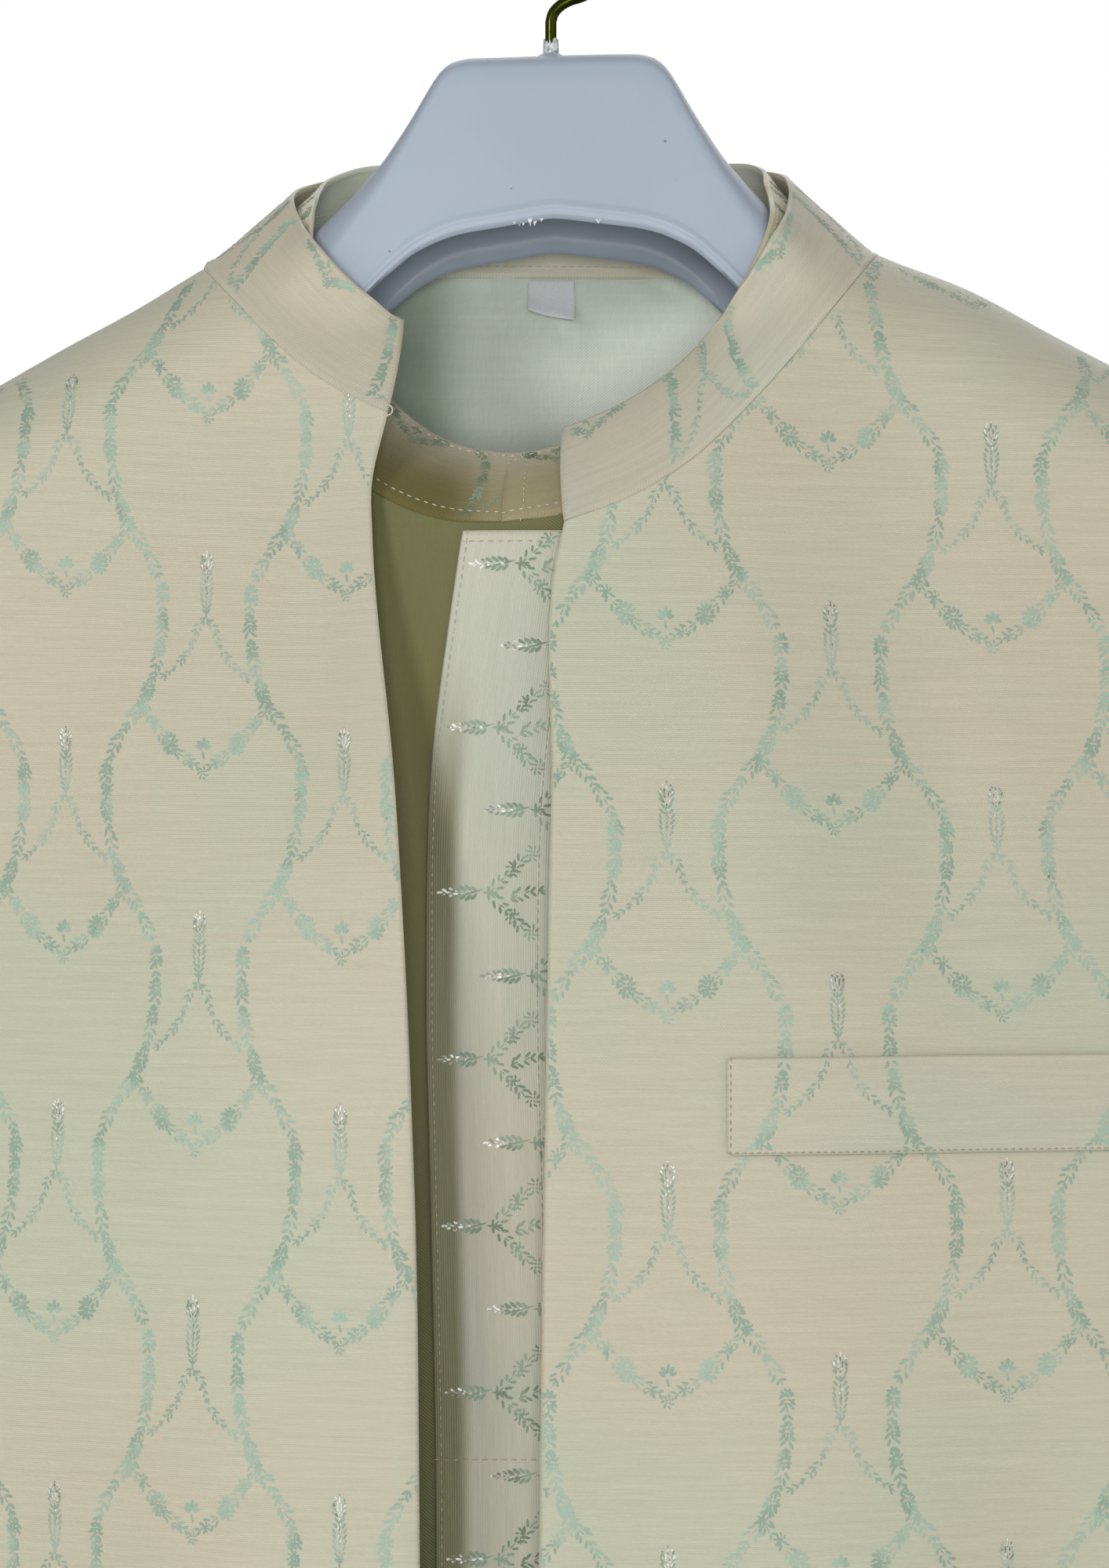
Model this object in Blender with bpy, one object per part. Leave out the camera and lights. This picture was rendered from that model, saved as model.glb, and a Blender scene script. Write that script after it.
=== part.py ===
"""A kurta under an open sleeveless jacket on a wide-shouldered hanger, its pajama over the hanger's bar.

Metres, +Z up. The front faces -Y, the wearer's left is +X, and the origin is the inside of the
hook's crown, where a rail would carry it. A cloth panel is laid out as seen from the front, in x
and z, from its edges, and drape() then gives each place its depth in y.
"""

import math
from collections import namedtuple

import bmesh
import bpy
import numpy as np

# Cloth and seams
JACKET_WALL = 0.0016
KURTA_WALL = 0.0012
BAND_WALL = 0.0016
STRIP_WALL = 0.0012
SEAM = 0.0003
LAYER_GAP = 0.0014
SHOULDER_GAP = 0.0006
NECK_GAP = 0.0022
REST_START_X = 0.095
REST_FULL_X = 0.145

# Lengths down the garments
JACKET_HEM_Z = -0.812
KURTA_HEM_Z = -1.135
JACKET_ARMPIT_Z = -0.420
KURTA_ARMPIT_Z = -0.395
SLIT_TOP_Z = -0.915
SLIT_SPREAD = 0.009
PLACKET_TOP_Z = -0.1962
PLACKET_END_Z = -0.490
PLACKET_WIDTH = 0.033
WELT_WIDTH = 0.110
WELT_TOP_Z = -0.3326
WELT_BOTTOM_Z = -0.3565
WELT_INNER_X = 0.0460
COLLAR_HEIGHT = 0.032

# How the cloth rounds over the hanger and falls away from it
ROUNDING = 0.035
FALL = 0.26
SIDE_POWER = 2.6
DEPTH_POWER = 2.2
NECK_SHARE = 0.42
NECK_BULGE = 0.012
NECK_BULGE_REACH = 0.105
NECK_ROUNDING = 0.45
SHOULDER_POWER = 8.0

# Hanger
HANGER_HALF_LENGTH = 0.208
HANGER_HALF_DEPTH = 0.0242
HANGER_WALL = 0.0025
PLATEAU_Z = -0.0601
BAR_RADIUS = 0.004
BAR_Z = -0.2000
WIRE_RADIUS = 0.0016
HOOK_RADIUS = 0.0226
STEM_FOOT_Z = -0.0661
STEM_BEND_Z = -0.0490

# Pajama
PAJAMA_HALF_WIDTH = 0.135
PAJAMA_DROP = 0.480
LEG_BULK = 0.006
WAISTBAND_DROP = 0.040
EDGE_ROUND = 0.003

Outline = namedtuple("Outline", "x z")
Level = namedtuple("Level", "z size")
Lean = namedtuple("Lean", "turn inward back rise")
Fold = namedtuple("Fold", "x_top x_hem width depth z_start z_full")
Sleeve = namedtuple("Sleeve", "outer_x outer_z inner_x inner_z depth")
Profile = namedtuple("Profile", "x top bottom rounding")
Layer = namedtuple("Layer", "wall under slack ridge_depth depths half_widths folds")
Cut = namedtuple("Cut", "layer hem_z armpit_z armhole tip_x")
Wall = namedtuple("Wall", "mid normal thickness")
Chain = namedtuple("Chain", "edge out normal")

# Top of the shoulders, on the jacket's outer face
RIDGE = (
    Outline(-0.230, -0.1935),
    Outline(-0.1532, -0.1508),
    Outline(-0.1336, -0.1396),
    Outline(-0.1140, -0.1290),
    Outline(-0.0961, -0.1181),
    Outline(-0.0600, -0.1000),
    Outline(0.0, -0.0880),
    Outline(0.0600, -0.0975),
    Outline(0.0904, -0.1142),
    Outline(0.1150, -0.1237),
    Outline(0.1413, -0.1378),
    Outline(0.1552, -0.1450),
    Outline(0.230, -0.1840),
)

# Neck seams, from the centre front out to the shoulder seam, for each side
JACKET_NECK_LEFT = (
    Outline(0.0041, -0.1915),
    Outline(0.0204, -0.1854),
    Outline(0.0373, -0.1750),
    Outline(0.0524, -0.1606),
    Outline(0.0657, -0.1457),
    Outline(0.0771, -0.1316),
    Outline(0.0904, -0.1150),
)
JACKET_NECK_RIGHT = (
    Outline(-0.0440, -0.1618),
    Outline(-0.0539, -0.1572),
    Outline(-0.0640, -0.1509),
    Outline(-0.0754, -0.1412),
    Outline(-0.0846, -0.1316),
    Outline(-0.0961, -0.1189),
)
JACKET_NECK_BACK_Z = -0.1180
KURTA_NECK_LEFT = (
    Outline(-0.0125, -0.1915),
    Outline(0.0046, -0.1889),
    Outline(0.0300, -0.1790),
    Outline(0.0550, -0.1600),
    Outline(0.0720, -0.1385),
    Outline(0.0840, -0.1150),
)
KURTA_NECK_RIGHT = (
    Outline(-0.0125, -0.1915),
    Outline(-0.0281, -0.1908),
    Outline(-0.0481, -0.1826),
    Outline(-0.0650, -0.1680),
    Outline(-0.0790, -0.1450),
    Outline(-0.0890, -0.1180),
)
KURTA_NECK_BACK_Z = -0.1152

# Front edges of the open jacket, and the middle of the kurta's front, down to the hems
JACKET_EDGE_LEFT = (
    Outline(-0.0030, JACKET_HEM_Z),
    Outline(-0.0025, -0.4690),
    Outline(-0.0015, -0.3850),
    Outline(0.0008, -0.2610),
    Outline(0.0022, -0.2000),
    Outline(0.0041, -0.1915),
)
JACKET_EDGE_RIGHT = (
    Outline(-0.0335, JACKET_HEM_Z),
    Outline(-0.0337, -0.4690),
    Outline(-0.0352, -0.3650),
    Outline(-0.0409, -0.2610),
    Outline(-0.0478, -0.1944),
    Outline(-0.0482, -0.1820),
    Outline(-0.0440, -0.1618),
)
KURTA_MIDDLE = (
    Outline(-0.0120, KURTA_HEM_Z),
    Outline(-0.0135, -0.4700),
    Outline(-0.0162, -0.3130),
    Outline(-0.0146, -0.2610),
    Outline(-0.0100, -0.2193),
    Outline(-0.0125, -0.1915),
)

PLACKET_MIDDLE = (
    Outline(-0.0132, -0.4900),
    Outline(-0.0136, -0.4284),
    Outline(-0.0150, -0.3700),
    Outline(-0.0162, -0.3130),
    Outline(-0.0148, -0.2610),
    Outline(-0.0100, -0.2193),
    Outline(-0.0066, -0.1950),
)

# Armholes as x, with z as the share of the way down to the armpit
JACKET_ARMHOLE = (
    Outline(0.2385, 1.0),
    Outline(0.2240, 0.95),
    Outline(0.2085, 0.82),
    Outline(0.1975, 0.62),
    Outline(0.1945, 0.40),
    Outline(0.1990, 0.18),
    Outline(0.2070, 0.0),
)
KURTA_ARMHOLE = (
    Outline(0.2345, 1.0),
    Outline(0.2240, 0.93),
    Outline(0.2130, 0.80),
    Outline(0.2060, 0.60),
    Outline(0.2045, 0.40),
    Outline(0.2080, 0.18),
    Outline(0.2150, 0.0),
)

# Depth of the cloth from the middle plane, and half width at the side seams, by height
JACKET_DEPTHS = (Level(JACKET_HEM_Z, 0.072), Level(-0.42, 0.070), Level(-0.20, 0.062), Level(-0.10, 0.060))
KURTA_DEPTHS = (Level(KURTA_HEM_Z, 0.072), Level(-0.80, 0.058), Level(-0.42, 0.056), Level(-0.10, 0.050))
JACKET_WIDTHS = (Level(JACKET_HEM_Z, 0.2500), Level(JACKET_ARMPIT_Z, 0.2385), Level(-0.10, 0.2385))
KURTA_WIDTHS = (
    Level(KURTA_HEM_Z, 0.2720),
    Level(-0.86, 0.2490),
    Level(-0.80, 0.2440),
    Level(KURTA_ARMPIT_Z, 0.2345),
    Level(-0.10, 0.2345),
)

# Soft folds that hang from the shoulders and open towards the hems
JACKET_FOLDS = (
    Fold(-0.135, -0.150, 0.026, -0.0040, -0.26, -0.60),
    Fold(-0.085, -0.080, 0.030, 0.0040, -0.20, -0.55),
    Fold(0.060, 0.070, 0.030, 0.0030, -0.24, -0.60),
    Fold(0.120, 0.140, 0.028, -0.0040, -0.22, -0.58),
    Fold(0.185, 0.200, 0.022, 0.0050, -0.34, -0.66),
    Fold(-0.190, -0.205, 0.022, 0.0050, -0.36, -0.70),
)
KURTA_FOLDS = (
    Fold(-0.205, -0.225, 0.022, 0.0050, -0.50, -1.00),
    Fold(-0.150, -0.165, 0.026, -0.0070, -0.50, -0.98),
    Fold(-0.090, -0.100, 0.028, 0.0070, -0.55, -1.02),
    Fold(-0.035, -0.040, 0.026, -0.0060, -0.60, -1.05),
    Fold(0.030, 0.025, 0.028, 0.0070, -0.55, -1.00),
    Fold(0.085, 0.090, 0.026, -0.0060, -0.58, -1.04),
    Fold(0.140, 0.155, 0.028, 0.0070, -0.52, -0.98),
    Fold(0.195, 0.215, 0.022, -0.0050, -0.50, -1.00),
)

# The right front of the jacket swings forward at its open edge
SWING_DEPTH = 0.020
SWING_REACH = 0.135
LEFT_SWING_DEPTH = 0.006

# Standing collars: how a band leans in, leans back and rises, by its turn from front to back
JACKET_LEANS = (
    Lean(0.0, 0.000, 0.0194, 0.0254),
    Lean(0.14, 0.0035, 0.0175, 0.0266),
    Lean(0.30, 0.0165, 0.0140, 0.0225),
    Lean(0.42, 0.0225, 0.0070, 0.0210),
    Lean(0.50, 0.0240, 0.0010, 0.0212),
    Lean(0.62, 0.0190, -0.0010, 0.0255),
    Lean(0.75, 0.0100, 0.0005, 0.0300),
    Lean(1.0, 0.000, 0.0010, 0.0316),
)
KURTA_LEANS = (
    Lean(0.0, 0.000, 0.0250, 0.0190),
    Lean(0.14, 0.007, 0.0225, 0.0210),
    Lean(0.30, 0.0175, 0.0150, 0.0215),
    Lean(0.42, 0.0230, 0.0070, 0.0210),
    Lean(0.50, 0.0240, 0.0010, 0.0215),
    Lean(0.62, 0.0180, -0.0010, 0.0262),
    Lean(0.75, 0.0090, 0.0, 0.0305),
    Lean(1.0, 0.000, 0.0, 0.0316),
)
HANGER_MARGIN = 0.022
NECK_REACH_X = 0.085
NECK_REACH_Y = 0.038

# Sections of the wearer's left sleeve, from the cap to the cuff
SLEEVE_SECTIONS = (
    Sleeve(0.2330, -0.1895, 0.2415, -0.4100, 0.042),
    Sleeve(0.2560, -0.2180, 0.2490, -0.4280, 0.047),
    Sleeve(0.2830, -0.2720, 0.2545, -0.4500, 0.051),
    Sleeve(0.3080, -0.3480, 0.2575, -0.4800, 0.052),
    Sleeve(0.3260, -0.4350, 0.2590, -0.5200, 0.050),
    Sleeve(0.3370, -0.5300, 0.2600, -0.5700, 0.046),
    Sleeve(0.3420, -0.6350, 0.2610, -0.6500, 0.041),
    Sleeve(0.3400, -0.7650, 0.2620, -0.7650, 0.035),
)

# The hanger's top line, lower edge and the rounding of its top, by x from its middle outwards
HANGER_MIDDLE_X = 0.0006
HANGER_TILT = 0.032
HANGER_BACK_DROP = 0.003
HANGER_PROFILE = (
    Profile(0.0000, PLATEAU_Z, -0.1060, 0.0050),
    Profile(0.0240, PLATEAU_Z - 0.0002, -0.1095, 0.0050),
    Profile(0.0290, -0.0618, -0.1108, 0.0052),
    Profile(0.0320, -0.0660, -0.1120, 0.0060),
    Profile(0.0381, -0.0764, -0.1150, 0.0070),
    Profile(0.0460, -0.0880, -0.1218, 0.0090),
    Profile(0.0548, -0.0976, -0.1310, 0.0120),
    Profile(0.0630, -0.1056, -0.1400, 0.0160),
    Profile(0.0730, -0.1130, -0.1500, 0.0220),
    Profile(0.0860, -0.1195, -0.1600, 0.0280),
)
HANGER_END_BOTTOM_Z = -0.2220
CLOTH_START_X = 0.105


def clear_scene():
    """Removes what the scene holds."""
    for obj in list(bpy.data.objects):
        bpy.data.objects.remove(obj, do_unlink=True)


def smooth(share):
    """A soft step from 0 to 1."""
    share = np.clip(share, 0.0, 1.0)
    return share * share * (3.0 - 2.0 * share)


def along(places, values, at):
    """A smooth curve through values at rising places, read at the given places."""
    places, values = np.asarray(places, float), np.asarray(values, float)
    slopes = np.gradient(values, places)
    at = np.clip(at, places[0], places[-1])
    k = np.clip(np.searchsorted(places, at, side="right") - 1, 0, len(places) - 2)
    step = places[k + 1] - places[k]
    t = (at - places[k]) / step
    return (
        (2 * t**3 - 3 * t**2 + 1) * values[k]
        + (t**3 - 2 * t**2 + t) * step * slopes[k]
        + (3 * t**2 - 2 * t**3) * values[k + 1]
        + (t**3 - t**2) * step * slopes[k + 1]
    )


def by_height(levels, z):
    """A size read from a table of heights."""
    rows = sorted(levels)
    return np.interp(z, [r.z for r in rows], [r.size for r in rows])


def trace(outline, shares):
    """Points at the given shares of the way along a smooth line through the outline."""
    points = np.array(outline, float)
    steps = np.linalg.norm(np.diff(points, axis=0), axis=1)
    way = np.concatenate(([0.0], np.cumsum(steps))) / steps.sum()
    return np.stack([along(way, points[:, i], shares) for i in range(2)], axis=-1)


def ridge(layer, x):
    """Height of a layer's middle on top of the shoulders; it hangs slack by the neck."""
    rest = smooth((np.abs(x) - REST_START_X) / (REST_FULL_X - REST_START_X))
    return along([r.x for r in RIDGE], [r.z for r in RIDGE], x) - layer.under - layer.slack * (1.0 - rest)


def fold_depth(layer, x, z):
    """How far the folds stand out from the smooth drape."""
    total = np.zeros_like(x)
    for fold in layer.folds:
        down = (fold.z_start - z) / (fold.z_start - fold.z_full)
        centre = fold.x_top + (fold.x_hem - fold.x_top) * np.clip(down, 0, 1.4)
        total += fold.depth * smooth(down) * np.exp(-(((x - centre) / fold.width) ** 2))
    return total


def drape(layer, x, z):
    """Distance of the cloth's middle from the plane y = 0, at a place seen from the front."""
    drop = np.maximum(ridge(layer, x) - z, 0.0)
    round_drop = ROUNDING * (NECK_ROUNDING + (1.0 - NECK_ROUNDING) * smooth(np.abs(x) / NECK_BULGE_REACH))
    over = np.sqrt(1.0 - (1.0 - np.minimum(drop / round_drop, 1.0)) ** 2)
    bulge = NECK_BULGE * (1.0 - smooth(np.abs(x) / NECK_BULGE_REACH))
    swell = (by_height(layer.depths, z) - layer.ridge_depth - bulge) * smooth(drop / FALL)
    across = np.minimum(np.abs(x) / by_height(layer.half_widths, z), 1.0)
    square = (1.0 - across**SHOULDER_POWER) ** (1.0 / DEPTH_POWER)
    wide = (1.0 - across**SIDE_POWER) ** (1.0 / DEPTH_POWER)
    deep = square * (layer.ridge_depth + bulge) + wide * (swell + fold_depth(layer, x, z))
    spread = SLIT_SPREAD * smooth((SLIT_TOP_Z - z) / (SLIT_TOP_Z - KURTA_HEM_Z))
    return SEAM / 2 + over * deep + spread


def patch(bottom, top, inner, outer, across, up):
    """Fills four edges with a grid of places; across and up are the shares of its columns and rows."""
    u, v = across[None, :, None], up[:, None, None]
    edges = (1 - v) * bottom[None] + v * top[None] + (1 - u) * inner[:, None] + u * outer[:, None]
    corners = (1 - u) * (1 - v) * bottom[0] + u * (1 - v) * bottom[-1]
    corners = corners + (1 - u) * v * top[0] + u * v * top[-1]
    return edges - corners


def column_shares(neck_columns, shoulder_columns):
    """Shares of a half panel's columns, closer together at the shoulder seam's neck end and the side."""
    neck = NECK_SHARE * (1 - (1 - np.linspace(0.0, 1.0, neck_columns + 1)) ** 1.45)
    turn = np.linspace(0.0, 1.0, shoulder_columns + 1)[1:]
    return np.concatenate((neck, NECK_SHARE + (1 - NECK_SHARE) * (1 - (1 - turn) ** 1.9)))


def row_shares(cut, side_rows, armhole_rows, turn_rows):
    """Shares of a panel's rows, closer together where it rounds the shoulder, and the armpit's row."""
    length = ridge(cut.layer, cut.tip_x) - cut.hem_z
    armpit = (cut.armpit_z - cut.hem_z) / length
    turn = np.linspace(math.pi / 2, 0.0, turn_rows + 1)
    over = 1.0 - ROUNDING * (1.0 - np.cos(turn)) / length
    flat = armpit + (over[0] - armpit) * np.linspace(0.0, 1.0, armhole_rows + 1)[1:-1] ** 1.8
    return np.concatenate((np.linspace(0.0, armpit, side_rows + 1), flat, over)), side_rows


def half_plan(cut, side, inner_line, neck_line, across, up, armpit_row):
    """Places of a half panel, seen from the front; rows go up and columns go out to the side."""
    layer = cut.layer
    neck = across <= NECK_SHARE + 1e-9
    tip_x = side * cut.tip_x
    neck_points = trace(neck_line, across[neck] / NECK_SHARE)
    out = (across[~neck] - NECK_SHARE) / (1 - NECK_SHARE)
    seam_x = neck_points[-1, 0] + (tip_x - neck_points[-1, 0]) * out
    neck_points[-1, 1] = ridge(layer, neck_points[-1, 0])
    seam = np.stack((seam_x, ridge(layer, seam_x)), axis=-1)
    top = np.concatenate((neck_points, seam))

    inner_z = cut.hem_z + (top[0, 1] - cut.hem_z) * up
    rows = sorted(inner_line, key=lambda row: row.z)
    inner_x = along([r.z for r in rows], [r.x for r in rows], inner_z)
    inner_x[-1] = top[0, 0]
    inner = np.stack((inner_x, inner_z), axis=-1)

    side_z = cut.hem_z + (cut.armpit_z - cut.hem_z) * up[: armpit_row + 1] / up[armpit_row]
    side_x = side * by_height(layer.half_widths, side_z)
    way = (up[armpit_row:] - up[armpit_row]) / (1 - up[armpit_row])
    hole = trace(cut.armhole, way)
    tip_z = ridge(layer, tip_x)
    hole_z = tip_z + (cut.armpit_z - tip_z) * hole[:, 1]
    armhole = np.stack((side * hole[:, 0], hole_z), axis=-1)
    outer = np.concatenate((np.stack((side_x, side_z), axis=-1)[:-1], armhole))

    bottom_x = inner[0, 0] + (outer[0, 0] - inner[0, 0]) * across
    bottom = np.stack((bottom_x, np.full_like(bottom_x, cut.hem_z)), axis=-1)
    return patch(bottom, top, inner, outer, across, up)


def grid_normals(mid, ring=False):
    """Unit normals of a grid of points; a ring's columns close on themselves."""
    if ring:
        across = np.roll(mid, -1, axis=1) - np.roll(mid, 1, axis=1)
    else:
        across = np.gradient(mid, axis=1)
    up = np.gradient(mid, axis=0)
    normal = np.cross(across, up)
    return normal / np.linalg.norm(normal, axis=2, keepdims=True)


def flatten_y(normal, index):
    """Turns the normals of a seam's points into the plane across the seam."""
    chosen = normal[index]
    chosen[..., 1] = 0.0
    normal[index] = chosen / np.linalg.norm(chosen, axis=-1, keepdims=True)


def panel_wall(cut, facing, plan, seam_columns, armpit_row, sides):
    """A panel's middle and normals from its plan; seam_columns lie on the shoulder seams."""
    depth = drape(cut.layer, plan[..., 0], plan[..., 1])
    mid = np.stack((plan[..., 0], facing * depth, plan[..., 1]), axis=-1)
    normal = grid_normals(mid)
    normal *= np.where(normal[..., 1:2].mean() * facing < 0, -1.0, 1.0)
    for column in seam_columns:
        flatten_y(normal, (-1, column))
    for column in sides:
        flatten_y(normal, (slice(0, armpit_row + 1), column))
    return Wall(mid, normal, cut.layer.wall)


def swing_forward(wall, depth, edge_x):
    """Brings a front's open edge forward, most at the chest and fading towards the side."""
    reach = 1.0 - np.clip(np.abs(wall.mid[..., 0] - edge_x) / SWING_REACH, 0, 1)
    down = smooth((-0.150 - wall.mid[..., 2]) / 0.16)
    calm = 1.0 - 0.45 * smooth((-0.45 - wall.mid[..., 2]) / 0.35)
    wall.mid[..., 1] -= depth * reach**1.3 * down * calm
    normal = grid_normals(wall.mid)
    normal *= np.where(normal[..., 1:2].mean() > 0, -1.0, 1.0)
    keep = reach[..., None] > 0
    return Wall(wall.mid, np.where(keep, normal, wall.normal), wall.thickness)


def grid_faces(rows, columns, offset, ring, flip):
    """Faces of a grid of points that start at an offset."""
    faces = []
    for i in range(rows - 1):
        for j in range(columns if ring else columns - 1):
            k = (j + 1) % columns
            a, b = offset + i * columns + j, offset + i * columns + k
            face = [a, b, b + columns, a + columns]
            faces.append(face[::-1] if flip else face)
    return faces


def wall_mesh(name, wall, material, ring=False):
    """Makes a closed wall of even thickness from its middle and normals."""
    rows, columns = wall.mid.shape[:2]
    count = rows * columns
    half = wall.thickness / 2
    outer = (wall.mid + wall.normal * half).reshape(-1, 3)
    inner = (wall.mid - wall.normal * half).reshape(-1, 3)
    faces = grid_faces(rows, columns, 0, ring, False) + grid_faces(rows, columns, count, ring, True)
    last = (rows - 1) * columns
    for j in range(columns if ring else columns - 1):
        k = (j + 1) % columns
        faces.append([j, k, k + count, j + count])
        faces.append([last + j, last + k, last + k + count, last + j + count])
    if not ring:
        for i in range(rows - 1):
            for start in (i * columns, i * columns + columns - 1):
                faces.append([start, start + columns, start + columns + count, start + count])
    return add_mesh(name, np.concatenate((outer, inner)), faces, material)


def add_mesh(name, points, faces, material):
    """Adds a closed mesh, faces turned out, with its material."""
    mesh = bpy.data.meshes.new(name)
    mesh.from_pydata([tuple(map(float, p)) for p in points], [], faces)
    build = bmesh.new()
    build.from_mesh(mesh)
    bmesh.ops.recalc_face_normals(build, faces=build.faces)
    build.to_mesh(mesh)
    build.free()
    mesh.materials.append(material)
    mesh.shade_smooth()
    mesh.set_sharp_from_angle(angle=math.radians(50))
    obj = bpy.data.objects.new(name, mesh)
    bpy.context.scene.collection.objects.link(obj)
    return obj


def finish(name, colour, roughness, metallic=0.0):
    """A plain finish for one kind of piece."""
    material = bpy.data.materials.new(name)
    material.use_nodes = True
    shader = material.node_tree.nodes["Principled BSDF"]
    shader.inputs["Base Color"].default_value = (*colour, 1.0)
    shader.inputs["Roughness"].default_value = roughness
    shader.inputs["Metallic"].default_value = metallic
    return material


def neck_chain(fronts, back):
    """Neck edge points, ways out of the panel and normals, round the neck from right to left.

    fronts are the right and left fronts' walls with the columns along their necks, and back is the
    back's wall with the columns along its neck, all read from the wearer's right to the left.
    """
    parts = []
    for wall, columns in (fronts[0], back, fronts[1]):
        edge = wall.mid[-1, columns]
        parts.append([edge, wall.mid[-2, columns] - edge, wall.normal[-1, columns]])
    right, middle, left = parts
    joined = []
    for kind in range(3):
        first = (right[kind][-1:] + middle[kind][:1]) / 2
        last = (middle[kind][-1:] + left[kind][:1]) / 2
        joined.append(np.concatenate((right[kind][:-1], first, middle[kind][1:-1], last, left[kind][1:])))
    edge, into, normal = (between(values) for values in joined)
    normal /= np.linalg.norm(normal, axis=-1, keepdims=True)
    return Chain(edge, way_out(edge, into, normal), normal)


def between(values):
    """A row of values with the middle of each pair added between them."""
    finer = np.repeat(values, 2, axis=0)[:-1]
    finer[1::2] = (values[:-1] + values[1:]) / 2
    return finer


def way_out(edge, into, normal, ring=False):
    """Unit ways out of a panel at its edge, in the cloth and square to the edge."""
    if ring:
        along_edge = np.roll(edge, -1, axis=0) - np.roll(edge, 1, axis=0)
    else:
        along_edge = np.gradient(edge, axis=0)
    out = np.cross(normal, along_edge)
    out *= np.where((out * into).sum(axis=-1, keepdims=True) > 0, -1.0, 1.0)
    return out / np.linalg.norm(out, axis=-1, keepdims=True)


def clear_of_hanger(kurta, mid, clearance):
    """Moves a collar's points out of the hanger, forwards or backwards from their foot."""
    for column in range(mid.shape[1]):
        side = np.sign(mid[0, column, 1])
        for row in range(1, mid.shape[0]):
            x, y, z = mid[row, column]
            top, bottom, rounding, half = (float(value) for value in hanger_profile(x, kurta))
            above = max(z - (top - rounding), 0.0) / (rounding + clearance)
            if above < 1.0 and abs(mid[0, column, 1]) > clearance:
                near = float(smooth((z - bottom + HANGER_MARGIN) / (0.8 * HANGER_MARGIN)))
                reach = (half + clearance) * math.sqrt(1.0 - above**2) * near
                if abs(y) < reach:
                    mid[row, column, 1] = side * reach
    return mid


def stand_outside(mid, inner, gap):
    """Moves a collar's points, all but its foot, out past the collar that it stands round."""
    places, ways = inner.mid.reshape(-1, 3), inner.normal.reshape(-1, 3)
    for row, column in np.ndindex(mid.shape[:2]):
        nearest = np.argmin(((places - mid[row, column]) ** 2).sum(axis=1))
        short = gap - (mid[row, column] - places[nearest]) @ ways[nearest]
        if row and short > 0:
            mid[row, column] += short * ways[nearest]
    return mid


def collar_wall(kurta, chain, leans, rows, clearance, end_round=0, inner=None):
    """A standing band on a neck edge. Turn runs from 0 at the front through 0.5 at a shoulder to 1."""
    edge, out, normal = chain
    turns = np.arctan2(np.abs(edge[:, 0]) / NECK_REACH_X, -edge[:, 1] / NECK_REACH_Y) / math.pi
    turn = [row.turn for row in leans]
    inward = along(turn, [row.inward for row in leans], turns) * -np.sign(edge[:, 0])
    backward = along(turn, [row.back for row in leans], turns)
    rise = along(turn, [row.rise for row in leans], turns)
    lean = np.stack((inward, backward, rise), axis=-1)
    lean *= COLLAR_HEIGHT / np.linalg.norm(lean, axis=-1, keepdims=True)
    if end_round:
        for k, share in zip(range(1, end_round + 1), (0.82, 0.96, 1.0)):
            lean[-k] *= share
    foot = edge + 1.5 * SEAM * out
    steps = np.linspace(0.0, 1.0, rows + 1)[:, None, None]
    mid = foot[None] + steps * lean[None] + (1 - steps) * steps * COLLAR_HEIGHT * 0.25 * out[None]
    mid = clear_of_hanger(kurta, mid, clearance)
    if inner is not None:
        mid = stand_outside(mid, inner, BAND_WALL + LAYER_GAP)
    stand = grid_normals(mid)
    stand *= np.where((stand * normal[None]).sum() < 0, -1.0, 1.0)
    stand[0] = normal
    return Wall(mid, stand, BAND_WALL)


def strip_on(layer, facing, inner_x, outer_x, top_z, bottom_z, columns, rows, thickness, shift=None):
    """A strip that lies on a panel: the panel's own places, moved out past its face."""
    z = np.linspace(bottom_z, top_z, rows + 1)
    share = np.linspace(0.0, 1.0, columns + 1)
    left, right = inner_x(z), outer_x(z)
    plan_x = left[:, None] + (right - left)[:, None] * share[None]
    plan_z = np.repeat(z[:, None], columns + 1, axis=1)
    mid = np.stack((plan_x, facing * drape(layer, plan_x, plan_z), plan_z), axis=-1)
    if shift is not None:
        mid[..., 1] += shift(plan_x, plan_z)
    normal = grid_normals(mid)
    normal *= np.where(normal[..., 1:2].mean() * facing < 0, -1.0, 1.0)
    mid += normal * (layer.wall / 2 + 2 * SEAM + thickness / 2)
    return Wall(mid, normal, thickness)


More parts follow.
